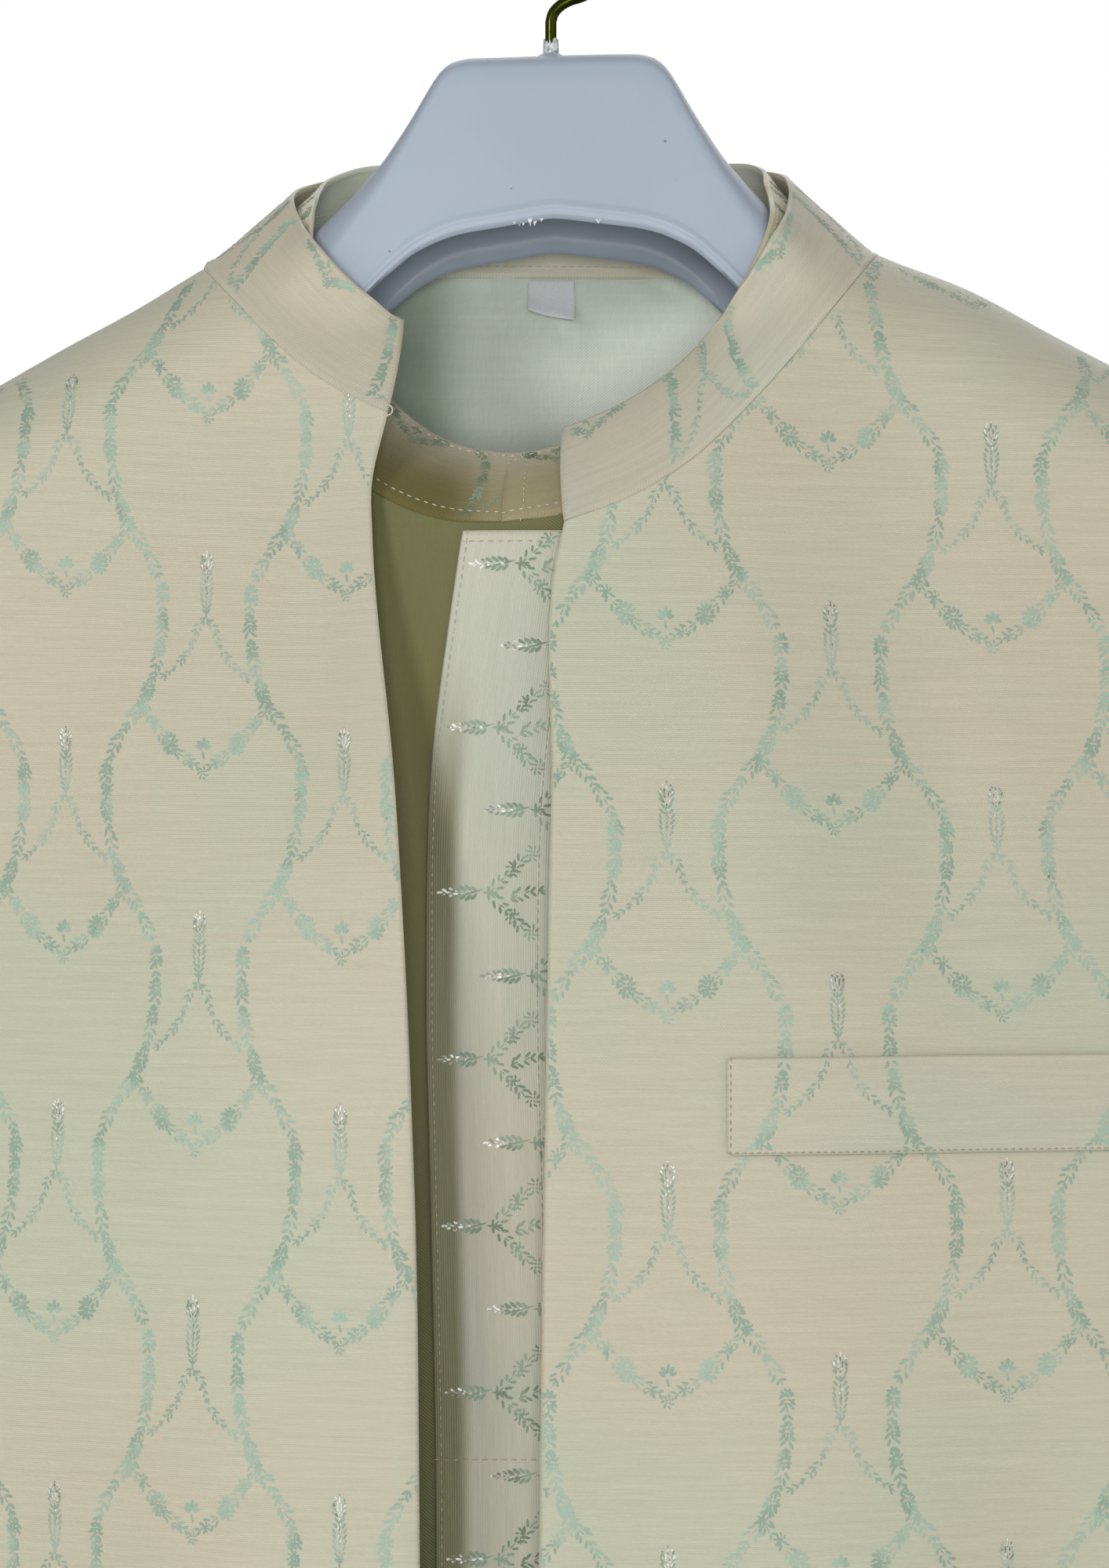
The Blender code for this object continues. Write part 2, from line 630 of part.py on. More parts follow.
def sleeve_wall(front, back, column, side, armpit_row):
    """A sleeve that starts on the armhole's edges and hangs down to its cuff."""
    inside = 1 if column == 0 else -2
    parts = []
    for wall in (front, back):
        edge = wall.mid[armpit_row:, column]
        parts.append((edge, wall.mid[armpit_row:, inside] - edge, wall.normal[armpit_row:, column]))
    ring = []
    for ahead, behind in zip(*parts):
        top = (ahead[-1:] + behind[-1:]) / 2
        low = (ahead[:1] + behind[:1]) / 2
        ring.append(np.concatenate((top, ahead[::-1][1:-1], low, behind[1:-1])))
    edge, into, normal = ring
    half = len(edge) // 2
    into[half] = (0.0, 0.0, -1.0)
    normal /= np.linalg.norm(normal, axis=-1, keepdims=True)
    out = way_out(edge, into, normal, ring=True)
    steps = np.linalg.norm(np.diff(edge[: half + 1], axis=0), axis=1)
    down = np.pi * np.concatenate(([0.0], np.cumsum(steps))) / steps.sum()
    angle = np.concatenate((down, 2 * np.pi - down[-2:0:-1]))
    mids = [edge + 2 * SEAM * out, edge + 0.004 * out + 0.0015 * normal]
    for row in SLEEVE_SECTIONS:
        x = (row.outer_x + row.inner_x) / 2 + (row.outer_x - row.inner_x) / 2 * np.cos(angle)
        z = (row.outer_z + row.inner_z) / 2 + (row.outer_z - row.inner_z) / 2 * np.cos(angle)
        mids.append(np.stack((side * x, -row.depth * np.sin(angle), z), axis=-1))
    mid = np.stack(mids)
    stand = grid_normals(mid, ring=True)
    middle = mid.mean(axis=1, keepdims=True)
    stand *= np.where(((mid - middle) * stand)[2:].sum() < 0, -1.0, 1.0)
    stand[0] = normal
    return Wall(mid, stand, KURTA_WALL)


def tube(name, path, radii, sides, material):
    """A closed round bar along a path, with a radius for each of its points."""
    path = np.asarray(path, float)
    ways = np.gradient(path, axis=0)
    ways /= np.linalg.norm(ways, axis=1, keepdims=True)
    beside = np.array((0.0, 1.0, 0.0))
    points = []
    for place, way, radius in zip(path, ways, radii):
        first = beside - way * beside.dot(way)
        first /= np.linalg.norm(first)
        second = np.cross(way, first)
        for k in range(sides):
            angle = 2 * math.pi * k / sides
            points.append(place + radius * (math.cos(angle) * first + math.sin(angle) * second))
    faces = grid_faces(len(path), sides, 0, True, False)
    last = (len(path) - 1) * sides
    faces += [list(range(sides)), [last + k for k in range(sides)]]
    return add_mesh(name, points, faces, material)


def hanger_profile(x, kurta):
    """Top, lower edge and rounding of the hanger at x; under the cloth it follows the shoulders."""
    away = np.abs(x - HANGER_MIDDLE_X)
    places = [row.x for row in HANGER_PROFILE]
    clear = kurta.wall / 2 + SHOULDER_GAP
    under = ridge(kurta, x) - clear
    blend = smooth((away - places[-1]) / (CLOTH_START_X - places[-1]))
    end = (away - places[-1]) / (HANGER_HALF_LENGTH - places[-1])
    top = np.where(away <= places[-1], np.interp(away, places, [r.top for r in HANGER_PROFILE]),
                   (HANGER_PROFILE[-1].top - 0.42 * (away - places[-1])) * (1 - blend) + under * blend)
    low = HANGER_PROFILE[-1].bottom + (HANGER_END_BOTTOM_Z - HANGER_PROFILE[-1].bottom) * end
    bottom = np.where(away <= places[-1], np.interp(away, places, [r.bottom for r in HANGER_PROFILE]), low)
    rounding = np.where(away <= places[-1], np.interp(away, places, [r.rounding for r in HANGER_PROFILE]),
                        HANGER_PROFILE[-1].rounding
                        + (ROUNDING - clear - HANGER_PROFILE[-1].rounding) * blend)
    cloth = drape(kurta, x, ridge(kurta, x) - ROUNDING) - clear
    half = np.where(away <= places[-1], HANGER_HALF_DEPTH, np.minimum(HANGER_HALF_DEPTH, cloth))
    tilt = HANGER_TILT * (x - HANGER_MIDDLE_X) * (1.0 - smooth(away / places[-1]))
    return top + tilt, bottom + tilt, rounding, half


def hanger_shell(kurta, inset, stations, turns):
    """Sections of the hanger's shell, inset from its outer face; each runs front, top and back."""
    angles = np.linspace(0.0, math.pi, turns + 1)
    sections = []
    for x in stations:
        top, bottom, rounding, half = (float(value) for value in hanger_profile(x, kurta))
        half -= inset
        y = -half * np.cos(angles)
        z = top - inset - rounding + rounding * np.sin(angles)
        sections.append(np.concatenate((
            [(x, -half, bottom)],
            np.stack((np.full_like(y, x), y, z), axis=-1),
            [(x, half, bottom - HANGER_BACK_DROP)],
        )))
    return np.array(sections)


def make_hanger_body(kurta, material):
    """The moulded shell, hollow and open along its lower side, with a hole for the hook's stem."""
    shares = np.array([row.x for row in HANGER_PROFILE])
    arm = np.concatenate((shares, np.linspace(shares[-1], HANGER_HALF_LENGTH, 9)[1:]))
    outer_x = HANGER_MIDDLE_X + np.concatenate((-arm[:0:-1], arm))
    inner_x = outer_x.copy()
    inner_x[0] += HANGER_WALL
    inner_x[-1] -= HANGER_WALL
    outer = hanger_shell(kurta, 0.0, outer_x, 10)
    inner = hanger_shell(kurta, HANGER_WALL, inner_x, 10)
    rows, columns = outer.shape[:2]
    count = rows * columns
    faces = grid_faces(rows, columns, 0, False, False) + grid_faces(rows, columns, count, False, True)
    for start in (0, rows - 1):
        ring = [start * columns + k for k in range(columns)]
        faces += [ring, [k + count for k in ring]]
        faces.append([ring[0], ring[-1], ring[-1] + count, ring[0] + count])
    for i in range(rows - 1):
        for k in (i * columns, i * columns + columns - 1):
            faces.append([k, k + columns, k + columns + count, k + count])
    points = np.concatenate((outer.reshape(-1, 3), inner.reshape(-1, 3)))
    body = add_mesh("hanger_body", points, faces, material)
    drill_path = [(0.0, 0.0, PLATEAU_Z - 0.006), (0.0, 0.0, PLATEAU_Z + 0.004)]
    drill = tube("stem_drill", drill_path, [WIRE_RADIUS + 1.5 * SEAM] * 2, 12, material)
    drill.hide_render = True
    drill.display_type = "WIRE"
    cut = body.modifiers.new("stem hole", "BOOLEAN")
    cut.operation = "DIFFERENCE"
    cut.object = drill
    return body


def make_hook(material):
    """The wire hook: a headed stem, a short bend and an open round crown."""
    centre_z = -HOOK_RADIUS + WIRE_RADIUS
    start = math.radians(-68)
    arc = [(HOOK_RADIUS * math.cos(a), 0.0, centre_z + HOOK_RADIUS * math.sin(a))
           for a in np.linspace(start, math.radians(205), 26)]
    stem = [(0.0, 0.0, z) for z in (STEM_FOOT_Z, STEM_FOOT_Z + 0.0012, STEM_FOOT_Z + 0.0014,
                                    PLATEAU_Z, -0.054, STEM_BEND_Z)]
    bend = [(0.0007, 0.0, -0.0466), (0.0026, 0.0, -0.0445)]
    path = stem + bend + arc
    radii = [0.0034, 0.0034] + [WIRE_RADIUS] * (len(path) - 2)
    return tube("hanger_hook", path, radii, 10, material)


def make_stem_collar(material):
    """A small tapered ring round the stem, standing on the hanger's top."""
    inner = WIRE_RADIUS + 1.2 * SEAM
    low = PLATEAU_Z + SEAM
    profile = [
        (inner, low), (0.0050, low), (0.0046, low + 0.0008), (0.0030, low + 0.0016), (inner, low + 0.0018),
    ]
    sides = 16
    points = [(r * math.cos(2 * math.pi * k / sides), r * math.sin(2 * math.pi * k / sides), z)
              for r, z in profile for k in range(sides)]
    faces = grid_faces(len(profile), sides, 0, True, False)
    last = (len(profile) - 1) * sides
    faces += [[k, (k + 1) % sides, last + (k + 1) % sides, last + k] for k in range(sides)]
    return add_mesh("hanger_stem_collar", points, faces, material)


def make_bar(material):
    """The trouser bar, held between the hanger's end walls."""
    reach = HANGER_HALF_LENGTH - HANGER_WALL - SEAM
    x = HANGER_MIDDLE_X + np.linspace(-reach, reach, 3)
    return tube("hanger_bar", [(place, 0.0, BAR_Z) for place in x], [BAR_RADIUS] * 3, 12, material)


def draped_path(radius, front_drop, back_drop):
    """A line that hangs in front of the bar, goes over it and hangs behind, with its normals."""
    places, normals = [], []
    for z in np.linspace(-front_drop, 0.0, 6)[:-1]:
        places.append((-radius, z))
        normals.append((-1.0, 0.0))
    for angle in np.linspace(0.0, math.pi, 7):
        places.append((-radius * math.cos(angle), radius * math.sin(angle)))
        normals.append((-math.cos(angle), math.sin(angle)))
    for z in np.linspace(0.0, -back_drop, 6)[1:]:
        places.append((radius, z))
        normals.append((1.0, 0.0))
    return np.array(places), np.array(normals)


def layered_section(half_width, bulk, layers):
    """Outline of folded cloth across its width: flat faces, and a round edge for each layer."""
    step = bulk / layers
    right = []
    for layer in range(layers):
        base = -bulk / 2 + layer * step
        for angle in (-60.0, 0.0, 60.0):
            a = math.radians(angle)
            across = half_width - EDGE_ROUND + EDGE_ROUND * math.cos(a)
            right.append((across, base + step / 2 * (1 + math.sin(a) * 1.12)))
    left = [(-x, n) for x, n in right[::-1]]
    return np.array(right + [(0.0, bulk / 2)] + left + [(0.0, -bulk / 2)])


def folded_cloth(name, radius, half_width, bulk, front_drop, back_drop, layers, material):
    """Folded cloth over the bar, one rounded solid that is layered at its side edges."""
    places, normals = draped_path(radius + bulk / 2, front_drop, back_drop)
    section = layered_section(half_width, bulk, layers)
    points = []
    for (y, z), (ny, nz) in zip(places, normals):
        for x, n in section:
            points.append((HANGER_MIDDLE_X + x, y + n * ny, BAR_Z + z + n * nz))
    faces = grid_faces(len(places), len(section), 0, True, False)
    last = (len(places) - 1) * len(section)
    faces += [list(range(len(section))), [last + k for k in range(len(section))]]
    return add_mesh(name, points, faces, material)


def make_pajama(material):
    """Two folded legs over the bar and the waistband at the end behind it."""
    inner = BAR_RADIUS + 2 * SEAM
    outer = inner + LEG_BULK + 2 * SEAM
    folded_cloth("pajama_leg_right", inner, PAJAMA_HALF_WIDTH - 0.004, LEG_BULK, PAJAMA_DROP - 0.006,
                 PAJAMA_DROP - 0.022, 2, material)
    folded_cloth("pajama_leg_left", outer, PAJAMA_HALF_WIDTH, LEG_BULK, PAJAMA_DROP,
                 PAJAMA_DROP - 0.022, 2, material)
    bulk = 2 * LEG_BULK + 0.004
    section = layered_section(PAJAMA_HALF_WIDTH + 0.002, bulk, 4)
    middle_y = inner + LEG_BULK + SEAM
    points = []
    for drop in np.linspace(0.0, WAISTBAND_DROP, 4):
        z = BAR_Z - (PAJAMA_DROP - 0.022) - SEAM - drop
        points += [(HANGER_MIDDLE_X + x, middle_y + n, z) for x, n in section]
    faces = grid_faces(4, len(section), 0, True, False)
    last = 3 * len(section)
    faces += [list(range(len(section))), [last + k for k in range(len(section))]]
    add_mesh("pajama_waistband", points, faces, material)


def make_size_tab(kurta, material):
    """The bare size tab that hangs inside the kurta's back neck."""
    x = np.array((-0.0060, 0.0002, 0.0065))
    top, low = KURTA_NECK_BACK_Z - 0.0008, KURTA_NECK_BACK_Z - 0.0100
    plan_x = np.repeat(x[None], 3, axis=0)
    plan_z = np.repeat(np.linspace(low, top, 3)[:, None], 3, axis=1)
    thickness = 0.001
    depth = drape(kurta, plan_x, plan_z) - kurta.wall / 2 - 2 * SEAM - thickness / 2
    mid = np.stack((plan_x, depth, plan_z), axis=-1)
    mid[0, :, 1] -= 0.0012
    normal = np.zeros_like(mid)
    normal[..., 1] = -1.0
    wall_mesh("kurta_size_tab", Wall(mid, normal, thickness), material)


def mirror_plan(plan):
    """A plan read the other way, so that its columns run from the wearer's right to the left."""
    return plan[:, ::-1]


def main():
    """Makes every piece."""
    clear_scene()
    jacquard = finish("patterned jacket cloth", (0.56, 0.52, 0.38), 0.50)
    trim = finish("patterned kurta trim", (0.50, 0.50, 0.36), 0.48)
    twill = finish("sage twill", (0.45, 0.52, 0.40), 0.55)
    white_tab = finish("white tab", (0.85, 0.85, 0.85), 0.70)
    plastic = finish("grey hanger plastic", (0.38, 0.42, 0.50), 0.45)
    brass = finish("hook wire", (0.60, 0.48, 0.20), 0.28, 1.0)
    plain = finish("plain pajama cloth", (0.50, 0.54, 0.42), 0.60)

    jacket = Layer(JACKET_WALL, JACKET_WALL / 2, 0.0, 0.0310, JACKET_DEPTHS, JACKET_WIDTHS, JACKET_FOLDS)
    kurta_under = JACKET_WALL + SHOULDER_GAP + KURTA_WALL / 2
    kurta_slack = NECK_GAP - SHOULDER_GAP
    kurta = Layer(KURTA_WALL, kurta_under, kurta_slack, 0.0285, KURTA_DEPTHS, KURTA_WIDTHS, KURTA_FOLDS)
    jacket_cut = Cut(jacket, JACKET_HEM_Z, JACKET_ARMPIT_Z, JACKET_ARMHOLE, JACKET_ARMHOLE[-1].x)
    kurta_cut = Cut(kurta, KURTA_HEM_Z, KURTA_ARMPIT_Z, KURTA_ARMHOLE, KURTA_ARMHOLE[-1].x)

    neck_columns, shoulder_columns = 8, 6
    across = column_shares(neck_columns, shoulder_columns)
    columns = len(across)

    def half(cut, side, inner_line, neck_line, up, armpit_row):
        return half_plan(cut, side, inner_line, neck_line, across, up, armpit_row)

    def whole(right, left):
        return np.concatenate((mirror_plan(right), left[:, 1:]), axis=1)

    # Jacket
    up, armpit_row = row_shares(jacket_cut, 5, 6, 5)
    outer_columns = list(range(neck_columns, columns))
    left_plan = half(jacket_cut, 1, JACKET_EDGE_LEFT, JACKET_NECK_LEFT, up, armpit_row)
    right_plan = half(jacket_cut, -1, JACKET_EDGE_RIGHT, JACKET_NECK_RIGHT, up, armpit_row)
    left = panel_wall(jacket_cut, -1, left_plan, outer_columns, armpit_row, [-1])
    right_seams = [columns - 1 - k for k in outer_columns]
    right = panel_wall(jacket_cut, -1, mirror_plan(right_plan), right_seams, armpit_row, [0])
    left = swing_forward(left, LEFT_SWING_DEPTH, 0.0)
    right = swing_forward(right, SWING_DEPTH, -0.038)
    middle = (Outline(0.0, JACKET_HEM_Z), Outline(0.0, -0.5), Outline(0.0, JACKET_NECK_BACK_Z))
    neck_left = (middle[-1], Outline(0.050, JACKET_NECK_BACK_Z - 0.0005), JACKET_NECK_LEFT[-1])
    neck_right = (middle[-1], Outline(-0.050, JACKET_NECK_BACK_Z - 0.0005), JACKET_NECK_RIGHT[-1])
    back_plan = whole(half(jacket_cut, -1, middle, neck_right, up, armpit_row),
                      half(jacket_cut, 1, middle, neck_left, up, armpit_row))
    centre = columns - 1
    seams = [k for k in range(2 * columns - 1) if abs(k - centre) >= neck_columns]
    back = panel_wall(jacket_cut, 1, back_plan, seams, armpit_row, [0, -1])
    wall_mesh("jacket_front_left", left, jacquard)
    wall_mesh("jacket_front_right", right, jacquard)
    wall_mesh("jacket_back", back, jacquard)
    jacket_chain = neck_chain(
        ((right, np.arange(columns - 1, columns - 2 - neck_columns, -1)),
         (left, np.arange(neck_columns, -1, -1))),
        (back, np.arange(centre - neck_columns, centre + neck_columns + 1)),
    )
    band_clear = BAND_WALL / 2 + LAYER_GAP + SEAM
    collar_clear = band_clear + BAND_WALL + LAYER_GAP
    welt = strip_on(
        jacket, -1, lambda z: np.full_like(z, WELT_INNER_X),
        lambda z: np.full_like(z, WELT_INNER_X + WELT_WIDTH),
        WELT_TOP_Z, WELT_BOTTOM_Z, 10, 2, STRIP_WALL, left_swing_shift,
    )
    wall_mesh("jacket_pocket_welt", welt, jacquard)

    # Kurta
    up, armpit_row = row_shares(kurta_cut, 8, 6, 5)
    front_plan = whole(half(kurta_cut, -1, KURTA_MIDDLE, KURTA_NECK_RIGHT, up, armpit_row),
                       half(kurta_cut, 1, KURTA_MIDDLE, KURTA_NECK_LEFT, up, armpit_row))
    front = panel_wall(kurta_cut, -1, front_plan, seams, armpit_row, [0, -1])
    middle = (Outline(0.0, KURTA_HEM_Z), Outline(0.0, -0.5), Outline(0.0, KURTA_NECK_BACK_Z))
    neck_left = (middle[-1], Outline(0.048, KURTA_NECK_BACK_Z - 0.0004), KURTA_NECK_LEFT[-1])
    neck_right = (middle[-1], Outline(-0.048, KURTA_NECK_BACK_Z - 0.0004), KURTA_NECK_RIGHT[-1])
    back_plan = whole(half(kurta_cut, -1, middle, neck_right, up, armpit_row),
                      half(kurta_cut, 1, middle, neck_left, up, armpit_row))
    back = panel_wall(kurta_cut, 1, back_plan, seams, armpit_row, [0, -1])
    wall_mesh("kurta_front", front, twill)
    wall_mesh("kurta_back", back, twill)
    chain = neck_chain(
        ((front, np.arange(centre, centre - neck_columns - 1, -1)),
         (front, np.arange(centre + neck_columns, centre - 1, -1))),
        (back, np.arange(centre - neck_columns, centre + neck_columns + 1)),
    )
    band = kurta_band(kurta, chain, band_clear)
    wall_mesh("kurta_collar", band, trim)
    outer_band = collar_wall(kurta, jacket_chain, JACKET_LEANS, 3, collar_clear, inner=band)
    wall_mesh("jacket_collar", outer_band, jacquard)
    placket = strip_on(kurta, -1, placket_left, placket_right, PLACKET_TOP_Z, PLACKET_END_Z, 4, 10,
                       STRIP_WALL)
    wall_mesh("kurta_placket", placket, trim)
    for side, name, column in ((1, "kurta_sleeve_left", -1), (-1, "kurta_sleeve_right", 0)):
        wall_mesh(name, sleeve_wall(front, back, column, side, armpit_row), twill, ring=True)
    make_size_tab(kurta, white_tab)

    make_hanger_body(kurta, plastic)
    make_hook(brass)
    make_stem_collar(plastic)
    make_bar(plastic)
    make_pajama(plain)


def left_swing_shift(x, z):
    """The forward swing of the jacket's left front, for what lies on it."""
    reach = 1.0 - np.clip(np.abs(x) / SWING_REACH, 0, 1)
    down = smooth((-0.150 - z) / 0.16)
    return -LEFT_SWING_DEPTH * reach**1.3 * down


def placket_middle(z):
    """The placket's middle line."""
    rows = sorted(PLACKET_MIDDLE, key=lambda row: row.z)
    return along([r.z for r in rows], [r.x for r in rows], z)


def placket_left(z):
    """The placket's edge on the wearer's right."""
    return placket_middle(z) - PLACKET_WIDTH / 2


def placket_right(z):
    """The placket's edge on the wearer's left."""
    return placket_middle(z) + PLACKET_WIDTH / 2


def kurta_band(kurta, chain, clearance):
    """The kurta's collar: its left end lies over its right end and is rounded at the top."""
    edge, out, normal = (np.concatenate((values[-5:-1], values)) for values in chain)
    tuck = (BAND_WALL + 2 * SEAM) * np.interp(np.arange(len(edge)), (0, 4, 7), (1.0, 1.0, 0.0))
    tucked = Chain(edge - normal * tuck[:, None], out, normal)
    return collar_wall(kurta, tucked, KURTA_LEANS, 3, clearance, end_round=3)


main()
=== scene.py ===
"""Dresses the kurta pajama set: its cloth, woven figure, stitching, hanger, floor and light.

Metres, +Z up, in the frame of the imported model. The front faces -Y, the wearer's left is +X, and
the origin is the inside of the hook's crown. Cloth is laid out as seen from the front, in x and z,
and each layer's depth() then gives every place its distance from the plane y = 0.
"""

import logging
import math
from dataclasses import dataclass, field
from enum import Enum
from typing import Any, Callable, NamedTuple, Optional, Sequence, Union

import bpy
import numpy as np
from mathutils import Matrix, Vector
from mathutils.bvhtree import BVHTree


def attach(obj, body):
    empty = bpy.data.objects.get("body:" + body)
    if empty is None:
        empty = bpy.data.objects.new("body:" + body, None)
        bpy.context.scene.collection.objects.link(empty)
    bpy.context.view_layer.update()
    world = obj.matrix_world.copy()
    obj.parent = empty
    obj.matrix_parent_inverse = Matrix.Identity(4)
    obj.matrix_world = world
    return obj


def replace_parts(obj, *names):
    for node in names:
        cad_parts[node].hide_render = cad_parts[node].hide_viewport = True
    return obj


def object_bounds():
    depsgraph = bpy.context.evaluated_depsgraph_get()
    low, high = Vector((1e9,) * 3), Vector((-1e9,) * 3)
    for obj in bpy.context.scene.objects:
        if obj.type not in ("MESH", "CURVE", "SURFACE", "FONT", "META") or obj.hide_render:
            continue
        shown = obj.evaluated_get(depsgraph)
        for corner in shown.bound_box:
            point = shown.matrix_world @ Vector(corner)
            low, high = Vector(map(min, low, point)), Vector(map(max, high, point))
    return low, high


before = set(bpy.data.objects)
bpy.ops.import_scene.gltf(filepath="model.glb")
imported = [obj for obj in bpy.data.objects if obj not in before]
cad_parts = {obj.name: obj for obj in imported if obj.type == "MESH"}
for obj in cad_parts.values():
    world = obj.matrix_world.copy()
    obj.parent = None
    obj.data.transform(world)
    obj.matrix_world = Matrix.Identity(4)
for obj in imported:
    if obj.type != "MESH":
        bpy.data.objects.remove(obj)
CAD_BOUNDS = [list(corner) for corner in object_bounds()]

log = logging.getLogger("kurta set")
Array = np.ndarray
Shade = tuple[float, float, float]

# Gaps and walls of the cloth
SEAM = 0.0003
LAYER_GAP = 0.0014
SHOULDER_GAP = 0.0006
NECK_GAP = 0.0022
JACKET_WALL = 0.0016
KURTA_WALL = 0.0012
BAND_WALL = 0.0016
STRIP_WALL = 0.0012
COLLAR_HEIGHT = 0.032
EDGE_SHARE = 0.0035
RIM_REACH = 0.8

# How the cloth rounds over the hanger and falls away from it
ROUNDING = 0.035
FALL = 0.26
SIDE_POWER = 2.6
DEPTH_POWER = 2.2
SHOULDER_POWER = 8.0
NECK_SHARE = 0.42
NECK_BULGE = 0.012
NECK_BULGE_REACH = 0.105
NECK_ROUNDING = 0.45
REST_START_X = 0.095
REST_FULL_X = 0.145
SLIT_TOP_Z = -0.915
SLIT_SPREAD = 0.009
KURTA_HEM_Z = -1.135
JACKET_HEM_Z = -0.812

# Lift of woven figure and thread over the cloth they belong to
FIGURE_LIFT = 0.00007
FIGURE_SEAT = 0.0006
THREAD_RADIUS = 0.00017
STITCH_PITCH = 0.0024


class Side(Enum):
    """The wearer's side of a piece."""

    RIGHT = -1
    LEFT = 1


class Facing(Enum):
    """Which way a panel faces."""

    FRONT = -1
    BACK = 1


class Held(Enum):
    """How a sheet of cloth is held."""

    HUNG = "hung"
    FOLDED = "folded"


class Place(NamedTuple):
    """A place seen from the front."""

    x: float
    z: float


class Level(NamedTuple):
    """A size at a height."""

    z: float
    size: float


class Lean(NamedTuple):
    """How a standing band leans at a turn round the neck, from 0 at the front to 1 at the back."""

    turn: float
    inward: float
    back: float
    rise: float


class Fold(NamedTuple):
    """A soft fold that hangs from the shoulders and opens towards the hem."""

    x_top: float
    x_hem: float
    width: float
    depth: float
    z_start: float
    z_full: float


class Crease(NamedTuple):
    """A soft trough, or a ridge where its depth is above 0, from one place to another."""

    x_start: float
    z_start: float
    x_end: float
    z_end: float
    width: float
    depth: float


class SleeveCut(NamedTuple):
    """A sleeve's section: its outer and inner ends and its half depth."""

    outer_x: float
    outer_z: float
    inner_x: float
    inner_z: float
    depth: float


class Profile(NamedTuple):
    """The hanger's top, lower edge and rounding at a distance from its middle."""

    x: float
    top: float
    bottom: float
    rounding: float


class Bend(NamedTuple):
    """A place on the charted figure, in millimetres across and down from a torch's tip."""

    x: float
    down: float


RIDGE = (
    Place(-0.230, -0.1935), Place(-0.1532, -0.1508), Place(-0.1336, -0.1396), Place(-0.1140, -0.1290),
    Place(-0.0961, -0.1181), Place(-0.0600, -0.1000), Place(0.0, -0.0880), Place(0.0600, -0.0975),
    Place(0.0904, -0.1142), Place(0.1150, -0.1237), Place(0.1413, -0.1378), Place(0.1552, -0.1450),
    Place(0.230, -0.1840),
)


def smooth(share: Any) -> Any:
    """Returns a soft step from 0 to 1."""
    share = np.clip(share, 0.0, 1.0)
    return share * share * (3.0 - 2.0 * share)


def along(places: Sequence[float], values: Sequence[float], at: Any) -> Any:
    """Reads a smooth curve through values at rising places.

    Args:
        places: Rising places of the values.
        values: The value at each place.
        at: Where the curve is read.

    Returns:
        The curve's values.
    """
    places, values = np.asarray(places, float), np.asarray(values, float)
    slopes = np.gradient(values, places)
    at = np.clip(at, places[0], places[-1])
    k = np.clip(np.searchsorted(places, at, side="right") - 1, 0, len(places) - 2)
    step = places[k + 1] - places[k]
    t = (at - places[k]) / step
    return (
        (2 * t**3 - 3 * t**2 + 1) * values[k]
        + (t**3 - 2 * t**2 + t) * step * slopes[k]
        + (3 * t**2 - 2 * t**3) * values[k + 1]
        + (t**3 - t**2) * step * slopes[k + 1]
    )


def by_height(levels: Sequence[Level], z: Any) -> Any:
    """Reads a size from a table of heights."""
    rows = sorted(levels)
    return np.interp(z, [r.z for r in rows], [r.size for r in rows])


def x_at(line: Sequence[Place], z: Any) -> Any:
    """Reads the x of an upright line at given heights."""
    rows = sorted(line, key=lambda row: row.z)
    return along([r.z for r in rows], [r.x for r in rows], z)


def unit(ways: Array) -> Array:
    """Returns ways with a length of 1."""
    return ways / np.maximum(np.linalg.norm(ways, axis=-1, keepdims=True), 1e-12)


def lengths(points: Array) -> Array:
    """Returns the way gone along a row of points, from 0."""
    steps = np.linalg.norm(np.diff(points, axis=0), axis=1)
    return np.concatenate(([0.0], np.cumsum(steps)))


def trace(outline: Sequence[Sequence[float]], shares: Array) -> Array:
    """Returns points at the given shares of the way along a smooth line."""
    points = np.array(outline, float)
    way = lengths(points)
    return np.stack([along(way / way[-1], points[:, i], shares) for i in range(points.shape[1])], axis=-1)


